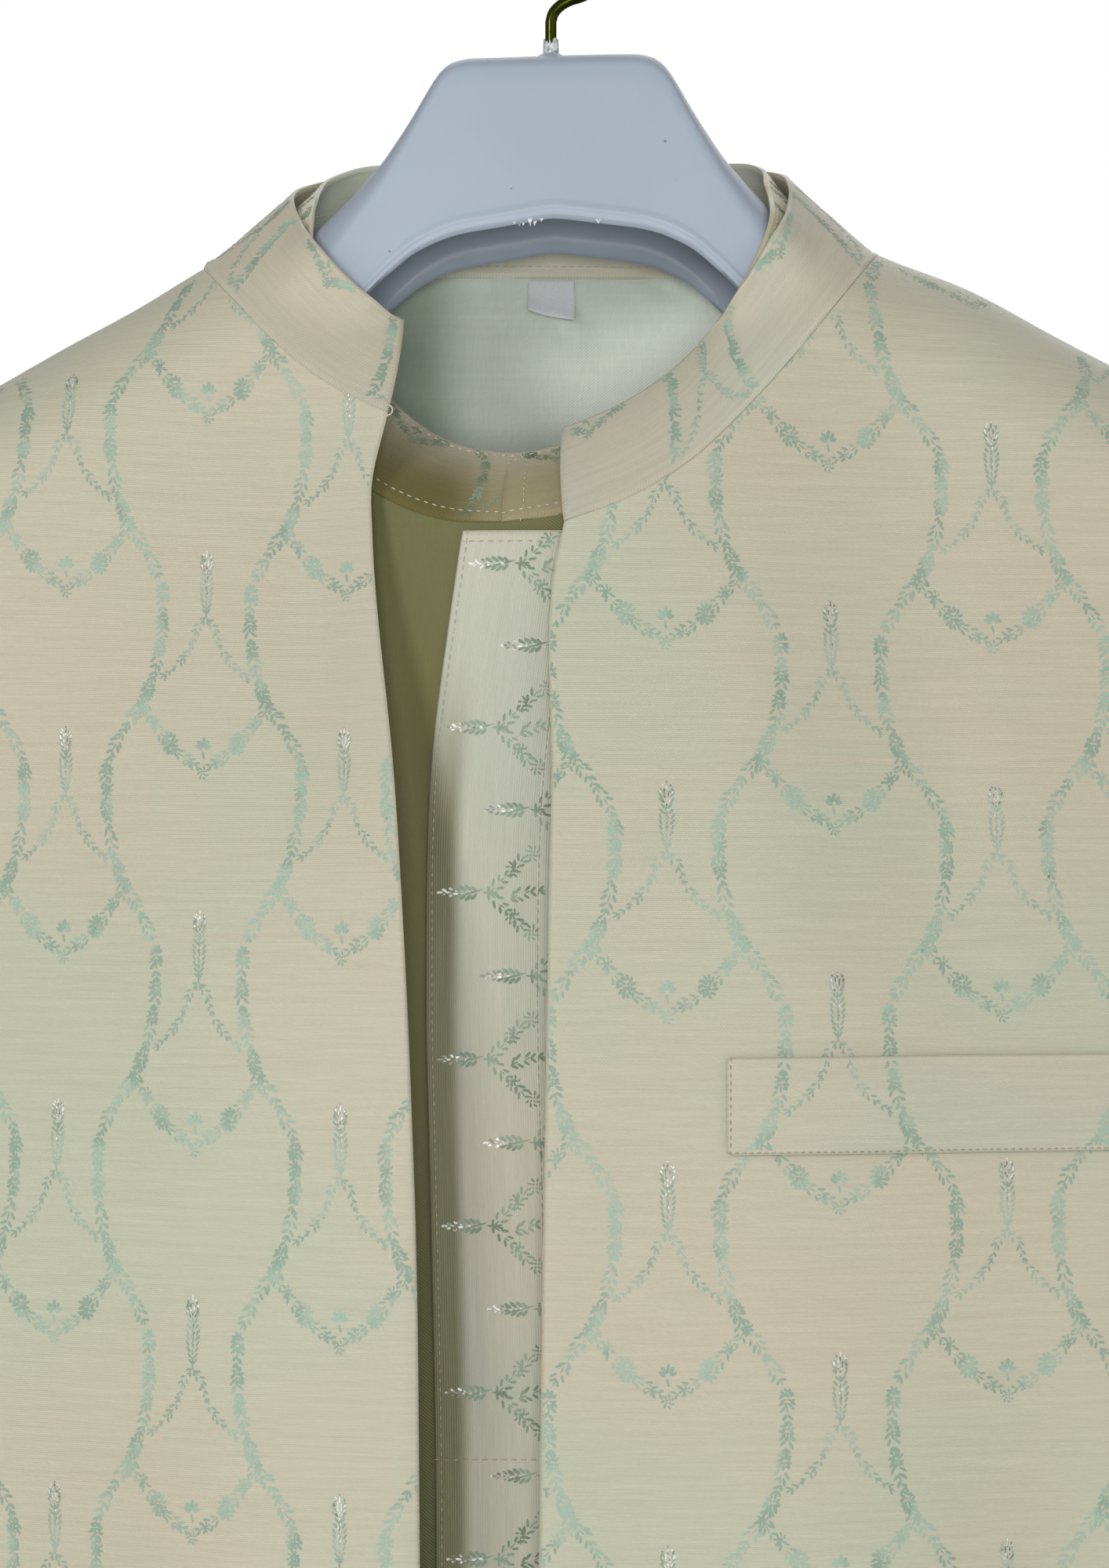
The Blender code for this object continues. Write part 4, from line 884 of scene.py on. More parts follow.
@dataclass(frozen=True)
class Trellis:
    """The jacket's woven figure: winding vines, and in each field a torch over a garland.

    Places are in millimetres across and down from a torch's tip, alike on both sides of it.
    """

    width: float = 91.5
    height: float = 101.4
    scale: float = 0.975
    vine: tuple[Bend, ...] = (
        Bend(14.3, 3.5), Bend(14.3, 17.8), Bend(18.6, 34.2), Bend(25.6, 44.4), Bend(31.5, 54.2),
        Bend(31.5, 68.5), Bend(27.1, 84.9), Bend(20.2, 95.2), Bend(14.3, 104.9),
    )
    branch: tuple[Bend, ...] = (
        Bend(0.4, 12.9), Bend(3.0, 16.4), Bend(4.6, 20.8), Bend(8.7, 26.2), Bend(15.6, 31.2),
    )
    garland: tuple[Bend, ...] = (
        Bend(18.8, 35.0), Bend(19.6, 39.3), Bend(15.5, 44.2), Bend(10.8, 49.3), Bend(5.2, 53.4), Bend(0.0, 56.0),
    )

    def silk(self) -> Marks:
        """Returns the silk marks of one field, all but the vines."""
        draw = Sprigs(seed=11)
        for down, reach in (
            (-3.9, 1.3), (-2.6, 1.6), (-1.2, 1.5), (0.4, 0.9), (1.8, 1.3), (3.2, 1.7), (4.7, 1.6), (6.2, 1.6),
            (7.8, 1.3), (9.4, 1.0), (10.9, 0.7),
        ):
            for hand in (-1, 1):
                draw.mark(hand * reach, down, 90 - hand * 36, 1.9, 0.66)
        for down in (0.8, 2.6, 4.6, 6.6, 8.6, 10.6, 12.2):
            draw.mark(0.0, down, 90, 2.0, 0.55)
        for hand in (-1, 1):
            def sided(path: Sequence[Bend]) -> list[Bend]:
                return [Bend(hand * bend.x, bend.down) for bend in path]

            draw.spray(sided(self.branch), 2.1, 1.7, 0.75)
            draw.flower(hand * 18.2, 33.2, 4.6, 5.2)
            draw.spray(sided(self.garland), 2.1, 2.0, 1.15)
            draw.flower(hand * 10.9, 48.8, 5.4, 7.0, 11)
            draw.flower(hand * 16.2, 42.8, 3.8, 4.2, 7)
            draw.flower(hand * 4.6, 54.0, 3.2, 3.0, 6)
        draw.fan(0.0, 50.8, 5.0)
        draw.flower(0.0, 57.0, 3.8, 4.2, 7)
        return draw.marks(self.scale)

    def vines(self) -> Marks:
        """Returns the silk marks of the vines at a field's sides, which its neighbours share."""
        draw = Sprigs(seed=13)
        for hand in (-1, 1):
            path = [Bend(hand * bend.x, bend.down) for bend in self.vine]
            draw.spray(path, 1.9, 2.3, 1.2)
            for down in (5.4, 14.3, 22.0):
                draw.flower(hand * (14.3 if down < 20 else 15.0), down, 4.2, 5.6)
            for down in (56.9, 68.0, 61.5):
                draw.flower(hand * 31.5, down, 4.0, 5.4)
            for down, x in ((38.0, 20.8), (88.5, 24.8)):
                draw.flower(hand * x, down, 3.6, 4.2, 7)
        return draw.marks(self.scale)

    def metal(self) -> Marks:
        """Returns the metallic marks of a torch's flame, a pointed oval of short dashes."""
        draw = Sprigs(seed=12)
        for row in range(9):
            half = 1.7 * math.sin(math.pi * (row + 0.6) / 8.8) ** 0.8
            count = 1 + int(half / 0.5)
            for k in range(count):
                x = 0.0 if count == 1 else -half + 2 * half * k / (count - 1)
                down = -6.0 + 0.74 * row + draw.random.uniform(-0.2, 0.2)
                draw.mark(x, down, 90 - 22 * x, 0.95, 0.44)
        for x, down in ((0.3, 1.4), (-0.4, 2.4), (0.5, 3.4), (-0.2, 4.4), (0.3, 5.8)):
            draw.mark(x, down, 80, 0.9, 0.42)
        return draw.marks(self.scale)

    def cover(self, marks: Marks, origin: tuple[float, float], across: float, reach: Array,
              every: int = 1) -> Marks:
        """Repeats marks in half-drop order over a stretch of cloth.

        Args:
            marks: One field's marks.
            origin: Flat coordinates of one torch's tip.
            across: How far the repeat is squeezed across.
            reach: Lowest and highest u and v to cover.
            every: 1 for every column of fields, or 2 for every second one.

        Returns:
            The marks of every field that reaches the stretch.
        """
        step_u, step_v = self.width * self.scale * 0.0005 * across, self.height * self.scale * 0.001
        (low_u, low_v), (high_u, high_v) = reach
        parts = []
        first, last = math.floor((low_u - origin[0]) / step_u), math.ceil((high_u - origin[0]) / step_u)
        for column in range(first - 1, last + 2):
            if column % every:
                continue
            shift = origin[1] + (column % 2) * step_v / 2
            for row in range(math.floor((low_v - shift) / step_v) - 1, math.ceil((high_v - shift) / step_v) + 2):
                parts.append(marks.moved(origin[0] + column * step_u, shift + row * step_v, across))
        return Marks.joined(parts)

    def woven(self, origin: tuple[float, float], across: float, reach: Array) -> dict[str, Marks]:
        """Returns the silk and the metallic marks that cover a stretch of cloth."""
        fields = self.cover(self.silk(), origin, across, reach)
        vines = self.cover(self.vines(), origin, across, reach, every=2)
        flames = self.cover(self.metal(), origin, across, reach)
        return {"sprigs": Marks.joined((fields, vines)), "flames": flames}


@dataclass(frozen=True)
class Border:
    """The placket's figure: torches that point to one edge, with sprigs to the other."""

    pitch: float = 0.0218
    stagger: float = 0.0116
    scale: float = 1.0

    def draw(self, metal: bool) -> Marks:
        """Returns one torch with its sprigs, tip at 0 and pointing to -u, in metres."""
        draw = Sprigs(seed=21)
        if metal:
            for x, down, angle, length in (
                (0.8, 0.0, 0, 1.9), (1.9, 0.6, 28, 1.4), (2.1, -0.6, -28, 1.4), (3.2, 0.0, 0, 2.0),
                (3.7, 0.9, 35, 1.3), (3.9, -0.9, -35, 1.3), (5.1, 0.3, 10, 1.7), (5.6, -0.5, -12, 1.4),
                (7.2, 0.1, 0, 1.5), (9.0, -0.1, 0, 1.3),
            ):
                draw.mark(x, down, angle, length, 0.72)
            return draw.marks(self.scale)
        for x, reach in ((5.4, 0.9), (6.9, 1.2), (8.4, 1.3), (9.9, 1.0)):
            for hand in (-1, 1):
                draw.mark(x, hand * reach, 180 + hand * 36, 2.3, 0.95)
        draw.mark(9.0, 0.0, 0, 8.0, 0.7)
        draw.mark(13.4, 0.0, 0, 3.0, 0.6)
        for hand in (-1, 1):
            draw.spray([(14.0, 0.0), (17.2, hand * 3.4), (20.4, hand * 6.4), (24.0, hand * 11.0)], 1.9, 2.2, 1.0)
            draw.flower(20.0, hand * 6.2, 4.4, 4.8, 8)
            draw.flower(25.0, hand * 10.4, 4.4, 4.8, 8)
        draw.spray([(19.5, 1.5), (22.5, 0.2), (29.0, -0.8)], 1.9, 2.3, 1.0)
        return draw.marks(self.scale)

    def cover(self, marks: Marks, tip_u: float, top_v: float, count: int) -> Marks:
        """Repeats the torch down the strip, every second one set further in."""
        return Marks.joined([
            marks.moved(tip_u + (k % 2) * self.stagger, top_v - k * self.pitch) for k in range(count)
        ])


class Seat(NamedTuple):
    """Where marks or stitches lie on the cloth."""

    place: Array
    across: Array
    up: Array
    normal: Array
    keep: Array


class Chart:
    """Finds where places on the flat cloth lie on a piece."""

    def __init__(self, grid: Grid, side: float = 1.0) -> None:
        """Reads one face of the grid; side is 1 for the outer face and -1 for the inner one."""
        self.grid = grid
        self.side = side
        self.points = grid.face(side)
        corner_i, corner_j = grid.quads()
        columns = grid.mid.shape[1]
        faces = corner_i * columns + corner_j % columns
        self.tree = BVHTree.FromPolygons(self.points.reshape(-1, 3).tolist(), faces.tolist())
        self.sense = self._sense(faces)

    def _sense(self, faces: Array) -> float:
        """Returns 1 where the faces' own normals point out of the cloth on this side."""
        a, b, c, d = (self.points.reshape(-1, 3)[faces[:, k]] for k in range(4))
        out = self.grid.normal.reshape(-1, 3)[faces[:, 0]] * self.side
        return 1.0 if (np.cross(c - a, d - b) * out).sum() > 0 else -1.0

    def rough(self, u: Array, v: Array) -> Array:
        """Returns places near the cloth for flat coordinates."""
        across = self.grid.uv[..., 0].mean(axis=0)[: self.grid.mid.shape[1]]
        up = self.grid.uv[:, :, 1].mean(axis=1)
        forward = across[-1] > across[0]
        j = np.interp(u, across if forward else across[::-1], np.arange(len(across), dtype=float)[:: 1 if forward else -1])
        i = np.interp(v, up, np.arange(len(up), dtype=float))
        i0, j0 = np.minimum(i.astype(int), len(up) - 2), np.minimum(j.astype(int), len(across) - 2)
        a, b = (i - i0)[:, None], (j - j0)[:, None]
        near = self.points[i0, j0] * (1 - b) + self.points[i0, j0 + 1] * b
        far = self.points[i0 + 1, j0] * (1 - b) + self.points[i0 + 1, j0 + 1] * b
        place = near * (1 - a) + far * a
        outside = (u < across.min()) | (u > across.max()) | (v < up[0]) | (v > up[-1])
        place[outside] += 1.0
        return place

    def axes(self, place: Array, normal: Array, u: Array, v: Array) -> tuple[Array, Array]:
        """Returns the ways across and up in the cloth."""
        step = 0.0008
        across = self.rough(u + step, v) - self.rough(u - step, v)
        across = unit(across - normal * (across * normal).sum(axis=1, keepdims=True))
        up = np.cross(normal, across)
        rise = self.rough(u, v + step) - self.rough(u, v - step)
        return across, up * np.where((up * rise).sum(axis=1, keepdims=True) < 0, -1.0, 1.0)

    def seat(self, u: Array, v: Array) -> Seat:
        """Finds the places and the cloth's ways there.

        Args:
            u: Flat coordinates across.
            v: Flat coordinates up.

        Returns:
            The places on the face, the ways, and which of them lie on the cloth.
        """
        wanted = self.rough(u, v)
        place, normal = np.zeros_like(wanted), np.zeros_like(wanted)
        keep = np.zeros(len(u), bool)
        for k, spot in enumerate(wanted):
            found, way, _, distance = self.tree.find_nearest(Vector(spot))
            if found is not None and distance < FIGURE_SEAT:
                place[k], normal[k], keep[k] = found, way, True
        normal *= self.sense
        normal[~keep] = (0.0, -1.0, 0.0)
        across, up = self.axes(place, normal, u, v)
        return Seat(place, across, up, normal, keep)

    def covers(self, marks: Marks) -> Array:
        """Says which marks lie on the cloth from tip to tip."""
        keep = np.ones(len(marks.u), bool)
        for end in (-0.5, 0.5):
            wanted = self.rough(marks.u + end * marks.length * np.cos(marks.angle),
                                marks.v + end * marks.length * np.sin(marks.angle))
            for k, spot in enumerate(wanted):
                if keep[k]:
                    distance = self.tree.find_nearest(Vector(spot))[3]
                    keep[k] = distance is not None and distance < FIGURE_SEAT
        return keep


@dataclass
class Flat:
    """Lengths along a draped cloth from x = 0 and a level height, over the plan it is seen in."""

    x: Array
    z: Array
    u: Array
    v: Array

    @classmethod
    def of(cls, depth: Callable[[Array, Array], Array], half_width: float, hem_z: float, top_z: float,
           level_z: float) -> "Flat":
        """Measures a cloth.

        Args:
            depth: The cloth's y at places seen from the front.
            half_width: How far the plan reaches to each side.
            hem_z: Its lowest height.
            top_z: Its highest height.
            level_z: The height where v is 0.

        Returns:
            The lengths, on a lattice over the plan.
        """
        x = np.linspace(-half_width, half_width, 241)
        z = np.linspace(hem_z, top_z, 401)
        y = depth(*np.meshgrid(x, z))
        step_x, step_z = x[1] - x[0], z[1] - z[0]
        u = np.cumsum(np.hypot(step_x, np.diff(y, axis=1, prepend=y[:, :1])), axis=1)
        v = np.cumsum(np.hypot(step_z, np.diff(y, axis=0, prepend=y[:1])), axis=0)
        u -= u[:, len(x) // 2][:, None]
        v -= v[np.argmin(np.abs(z - level_z))][None]
        return cls(x, z, u, v)

    def read(self, table: Array, x: Array, z: Array) -> Array:
        """Reads one table between its places."""
        i = np.clip((z - self.z[0]) / (self.z[1] - self.z[0]), 0, len(self.z) - 1.001)
        j = np.clip((x - self.x[0]) / (self.x[1] - self.x[0]), 0, len(self.x) - 1.001)
        i0, j0 = i.astype(int), j.astype(int)
        a, b = i - i0, j - j0
        low = table[i0, j0] * (1 - b) + table[i0, j0 + 1] * b
        high = table[i0 + 1, j0] * (1 - b) + table[i0 + 1, j0 + 1] * b
        return low * (1 - a) + high * a

    def at(self, x: Array, z: Array) -> Array:
        """Returns flat coordinates of places seen from the front."""
        x, z = np.asarray(x, float), np.asarray(z, float)
        return np.stack((self.read(self.u, x, z), self.read(self.v, x, z)), axis=-1)

    def find(self, u: Array, v: Array) -> tuple[Array, Array]:
        """Returns the places seen from the front that have the given flat coordinates."""
        x, z = np.array(u, float), self.z.mean() + np.zeros_like(u)
        for _ in range(60):
            here = self.at(x, z)
            x = np.clip(x + 0.7 * (u - here[..., 0]), self.x[0], self.x[-1])
            z = np.clip(z + 0.7 * (v - here[..., 1]), self.z[0], self.z[-1])
        return x, z


class PanelChart(Chart):
    """Finds places on a panel from its plan, so that the pattern runs true to the grain."""

    def __init__(self, grid: Grid, flat: Flat, depth: Callable[[Array, Array], Array], turned: bool) -> None:
        """Reads the panel's outer face; turned says that u runs from the wearer's left to the right."""
        super().__init__(grid)
        self.flat = flat
        self.depth = depth
        self.hand = -1.0 if turned else 1.0

    def rough(self, u: Array, v: Array) -> Array:
        """Returns places near the cloth for flat coordinates."""
        x, z = self.flat.find(u * self.hand, v)
        missed = np.abs(self.flat.at(x, z) - np.stack((u * self.hand, v), axis=-1)).max(axis=-1) > 0.0006
        place = np.stack((x, self.depth(x, z), z), axis=-1)
        place[missed] += 1.0
        return place

    def seat(self, u: Array, v: Array) -> Seat:
        """Finds the places and the cloth's ways there."""
        wanted = self.rough(u, v)
        place, normal = np.zeros_like(wanted), np.zeros_like(wanted)
        keep = np.zeros(len(u), bool)
        reach = FIGURE_SEAT + self.grid.thickness
        for k, spot in enumerate(wanted):
            found, way, _, distance = self.tree.find_nearest(Vector(spot))
            if found is not None and distance < reach:
                place[k], normal[k], keep[k] = found, way, True
        normal *= self.sense
        normal[~keep] = (0.0, -1.0, 0.0)
        way_x = np.array((self.hand, 0.0, 0.0))
        across = unit(way_x - normal * (normal @ way_x)[:, None])
        return Seat(place, across, np.cross(normal, across), normal, keep)

    def covers(self, marks: Marks) -> Array:
        """Says which marks lie on the cloth from tip to tip."""
        keep = np.ones(len(marks.u), bool)
        middle = self.grid.mid.reshape(-1, 3)
        low, high = middle.min(axis=0), middle.max(axis=0)
        for end in (-0.5, 0.5):
            wanted = self.rough(marks.u + end * marks.length * np.cos(marks.angle),
                                marks.v + end * marks.length * np.sin(marks.angle))
            inside = ((wanted > low - 0.002) & (wanted < high + 0.002)).all(axis=1)
            for k, spot in enumerate(wanted):
                if keep[k] and inside[k]:
                    found, way, _, distance = self.tree.find_nearest(Vector(spot))
                    across = Vector(spot) - found
                    sideways = (across - way * across.dot(way)).length
                    keep[k] = distance < 0.003 and sideways < 0.0004
                else:
                    keep[k] = False
        return keep


class Trees:
    """Geometry Nodes trees that repeat marks and stitches."""

    def __init__(self) -> None:
        """Builds both trees."""
        self.marks = self._marks()
        self.stitches = self._stitches()

    @staticmethod
    def _new(name: str, inputs: Sequence[tuple[str, str]]) -> bpy.types.GeometryNodeTree:
        """Makes a tree with a geometry in and out and further named inputs."""
        tree = bpy.data.node_groups.new(name, "GeometryNodeTree")
        tree.interface.new_socket("Geometry", in_out="INPUT", socket_type="NodeSocketGeometry")
        for label, kind in inputs:
            tree.interface.new_socket(label, in_out="INPUT", socket_type=f"NodeSocket{kind}")
        tree.interface.new_socket("Geometry", in_out="OUTPUT", socket_type="NodeSocketGeometry")
        return tree

    @staticmethod
    def _put(tree: bpy.types.GeometryNodeTree, kind: str, settings: dict[str, Any],
             inputs: dict[Any, Any]) -> bpy.types.Node:
        """Adds a node with its settings, values and links."""
        node = tree.nodes.new(kind)
        for key, value in settings.items():
            setattr(node, key, value)
        for key, value in inputs.items():
            if isinstance(value, bpy.types.NodeSocket):
                tree.links.new(value, node.inputs[key])
            else:
                node.inputs[key].default_value = value
        return node

    def _finish(self, tree: bpy.types.GeometryNodeTree, start: bpy.types.Node, instances: bpy.types.Node) -> None:
        """Ends a tree by making the instances real and giving them their finish."""
        real = self._put(tree, "GeometryNodeRealizeInstances", {}, {0: instances.outputs[0]})
        dress = self._put(tree, "GeometryNodeSetMaterial", {},
                          {"Geometry": real.outputs[0], "Material": start.outputs["Material"]})
        self._put(tree, "NodeGroupOutput", {}, {0: dress.outputs[0]})

    def _marks(self) -> bpy.types.GeometryNodeTree:
        """Lays a small pointed mark on each point, turned and sized by the point's attributes."""
        tree = self._new("woven marks", (("Sides", "Int"), ("Radius", "Float"), ("Material", "Material")))
        start = tree.nodes.new("NodeGroupInput")
        shape = self._put(tree, "GeometryNodeMeshCircle", {"fill_type": "NGON"},
                          {"Vertices": start.outputs["Sides"], "Radius": start.outputs["Radius"]})
        points = self._put(tree, "GeometryNodeMeshToPoints", {}, {0: start.outputs["Geometry"]})
        turn = self._put(tree, "GeometryNodeInputNamedAttribute", {"data_type": "FLOAT_VECTOR"}, {"Name": "turn"})
        size = self._put(tree, "GeometryNodeInputNamedAttribute", {"data_type": "FLOAT_VECTOR"}, {"Name": "size"})
        rotation = self._put(tree, "FunctionNodeEulerToRotation", {}, {0: turn.outputs["Attribute"]})
        laid = self._put(tree, "GeometryNodeInstanceOnPoints", {}, {
            "Points": points.outputs[0], "Instance": shape.outputs[0], "Rotation": rotation.outputs[0],
            "Scale": size.outputs["Attribute"],
        })
        self._finish(tree, start, laid)
        return tree

    def _stitches(self) -> bpy.types.GeometryNodeTree:
        """Lays a rounded stitch at every pitch along each line."""
        tree = self._new("stitches", (("Pitch", "Float"), ("Length", "Float"), ("Radius", "Float"),
                                      ("Material", "Material")))
        start = tree.nodes.new("NodeGroupInput")
        line = self._put(tree, "GeometryNodeMeshToCurve", {}, {0: start.outputs["Geometry"]})
        even = self._put(tree, "GeometryNodeResampleCurve", {}, {0: line.outputs[0]})
        even.mode = "LENGTH"
        tree.links.new(start.outputs["Pitch"], even.inputs["Length"])
        bead = self._put(tree, "GeometryNodeMeshIcoSphere", {}, {"Radius": 1.0, "Subdivisions": 1})
        soft = self._put(tree, "GeometryNodeSetShadeSmooth", {}, {0: bead.outputs[0]})
        course = self._put(tree, "GeometryNodeInputTangent", {}, {})
        turn = self._put(tree, "FunctionNodeAlignRotationToVector", {"axis": "X"}, {"Vector": course.outputs[0]})
        size = self._put(tree, "ShaderNodeCombineXYZ", {}, {
            0: start.outputs["Length"], 1: start.outputs["Radius"], 2: start.outputs["Radius"],
        })
        laid = self._put(tree, "GeometryNodeInstanceOnPoints", {}, {
            "Points": even.outputs[0], "Instance": soft.outputs[0], "Rotation": turn.outputs[0],
            "Scale": size.outputs[0],
        })
        self._finish(tree, start, laid)
        return tree

    @staticmethod
    def grow(name: str, mesh: bpy.types.Mesh, tree: bpy.types.GeometryNodeTree,
             values: dict[str, Any]) -> bpy.types.Object:
        """Runs a tree on a mesh and keeps the result as a plain mesh.

        Args:
            name: The piece's name.
            mesh: The points or lines that the tree reads.
            tree: The tree.
            values: The tree's inputs by name.

        Returns:
            The piece, with no modifier left on it.
        """
        obj = bpy.data.objects.new(name, mesh)
        bpy.context.scene.collection.objects.link(obj)
        growth = obj.modifiers.new("growth", "NODES")
        growth.node_group = tree
        for item in tree.interface.items_tree:
            if item.in_out == "INPUT" and item.name in values:
                growth[item.identifier] = values[item.name]
        seen = obj.evaluated_get(bpy.context.evaluated_depsgraph_get())
        result = bpy.data.meshes.new_from_object(seen)
        obj.modifiers.remove(growth)
        obj.data = result
        return obj


def turns_of(first: Array, second: Array, third: Array) -> Array:
    """Returns the Euler turns that carry x, y and z to three square ways."""
    return np.stack((
        np.arctan2(second[:, 2], third[:, 2]),
        -np.arcsin(np.clip(first[:, 2], -1.0, 1.0)),
        np.arctan2(first[:, 1], first[:, 0]),
    ), axis=1)


@dataclass
class Workshop:
    """What every garment is dressed with: the trees, the finishes and the list of pieces."""

    trees: Trees
    finishes: dict[str, bpy.types.Material]
    pieces: list[str] = field(default_factory=list)

    def keep(self, obj: bpy.types.Object, slot: str) -> bpy.types.Object:
        """Carries a piece with the body and notes its name."""
        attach(obj, "root")
        self.pieces.append(obj.name)
        log.info("%s: %d faces", obj.name, len(obj.data.polygons))
        return obj

    def figures(self, name: str, chart: Chart, woven: dict[str, Marks], silk: str,
                slot: str) -> list[bpy.types.Object]:
        """Weaves each kind of marks into a face, as a piece where any of them lie on it.

        Args:
            name: The start of the new pieces' names.
            chart: Where the marks lie.
            woven: The marks by kind.
            silk: The silk yarn's finish.
            slot: A slot name; not used.

        Returns:
            The new pieces.
        """
        made = []
        for kind, marks in woven.items():
            seat = chart.seat(marks.u, marks.v)
            index = np.flatnonzero(seat.keep)[chart.covers(Marks.of(marks.table()[seat.keep]))]
            if len(index):
                yarn = self.finishes["flame" if kind == "flames" else silk]
                made.append(self.figure(f"{name}_{kind}", marks, seat, index, yarn, slot))
        return made

    def figure(self, name: str, marks: Marks, seat: Seat, index: Array, yarn: bpy.types.Material,
               slot: str) -> bpy.types.Object:
        """Lays marks on their seats.

        Args:
            name: The new piece's name.
            marks: The marks.
            seat: Where they lie.
            index: Which of them lie on the cloth.
            yarn: The yarn's finish.
            slot: A slot name; not used.

        Returns:
            The marks as one piece.
        """
        across, up, normal = seat.across[index], seat.up[index], seat.normal[index]
        angle = marks.angle[index][:, None]
        first = unit(np.cos(angle) * across + np.sin(angle) * up)
        second = np.cross(normal, first)
        mesh = bpy.data.meshes.new(name)
        lift = FIGURE_LIFT * np.random.default_rng(len(index)).uniform(0.6, 1.8, (len(index), 1))
        mesh.from_pydata((seat.place[index] + normal * lift).tolist(), [], [])
        turn = mesh.attributes.new("turn", "FLOAT_VECTOR", "POINT")
        turn.data.foreach_set("vector", turns_of(first, second, normal).astype(np.float32).ravel())
        size = mesh.attributes.new("size", "FLOAT_VECTOR", "POINT")
        sizes = np.stack((marks.length[index], marks.width[index], np.ones(len(index))), axis=1)
        size.data.foreach_set("vector", sizes.astype(np.float32).ravel())
        values = {"Sides": 6, "Radius": 0.5, "Material": yarn}
        return self.keep(self.trees.grow(name, mesh, self.trees.marks, values), slot)

    def sew(self, name: str, lines: Sequence[Array], finish: str, slot: str,
            pitch: float = STITCH_PITCH) -> bpy.types.Object:
        """Sews rows of stitches along lines on the cloth.

        Args:
            name: The new piece's name.
            lines: Places along each row.
            finish: The thread's finish.
            slot: A slot name; not used.
            pitch: Length of a stitch with its gap.

        Returns:
            The stitches as one piece.
        """
        mesh = bpy.data.meshes.new(name)
        points, edges = [], []
        for line in lines:
            edges += [(len(points) + k, len(points) + k + 1) for k in range(len(line) - 1)]
            points += np.asarray(line).tolist()
        mesh.from_pydata(points, edges, [])
        values = {"Pitch": pitch, "Length": pitch * 0.36, "Radius": THREAD_RADIUS,
                  "Material": self.finishes[finish]}
        return self.keep(self.trees.grow(name, mesh, self.trees.stitches, values), slot)

    def sheet(self, obj: bpy.types.Object, grid: Grid, slot: str, held: Held,
              with_pieces: Sequence[bpy.types.Object], node: str) -> None:
        """Keeps a finished sheet of cloth with the body and hides the solid that it stands for.

        Args:
            obj: The sheet.
            grid: The grid it was made from.
            slot: A slot name; not used.
            held: How it is held; not used.
            with_pieces: The marks and stitches on it; not used.
            node: The solid that it stands for.
        """
        self.keep(obj, slot)
        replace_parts(obj, node)
        width, length = grid.spans()
        area = min(grid.area(), width * length)


def edge_shares(shares: Array) -> Array:
    """Adds a narrow column or row beside each end, so that rims stay crisp."""
    return np.unique(np.round(np.concatenate((shares, (EDGE_SHARE, 1.0 - EDGE_SHARE))), 9))


@dataclass(frozen=True)
class Density:
    """How many columns and rows a garment's panels get."""

    neck: int
    shoulder: int
    side: int
    armhole: int
    turn: int

    def across(self) -> Array:
        """Returns the shares of a half panel's columns."""
        neck = NECK_SHARE * (1 - (1 - np.linspace(0.0, 1.0, self.neck + 1)) ** 1.45)
        turn = np.linspace(0.0, 1.0, self.shoulder + 1)[1:]
        return edge_shares(np.concatenate((neck, NECK_SHARE + (1 - NECK_SHARE) * (1 - (1 - turn) ** 1.9))))


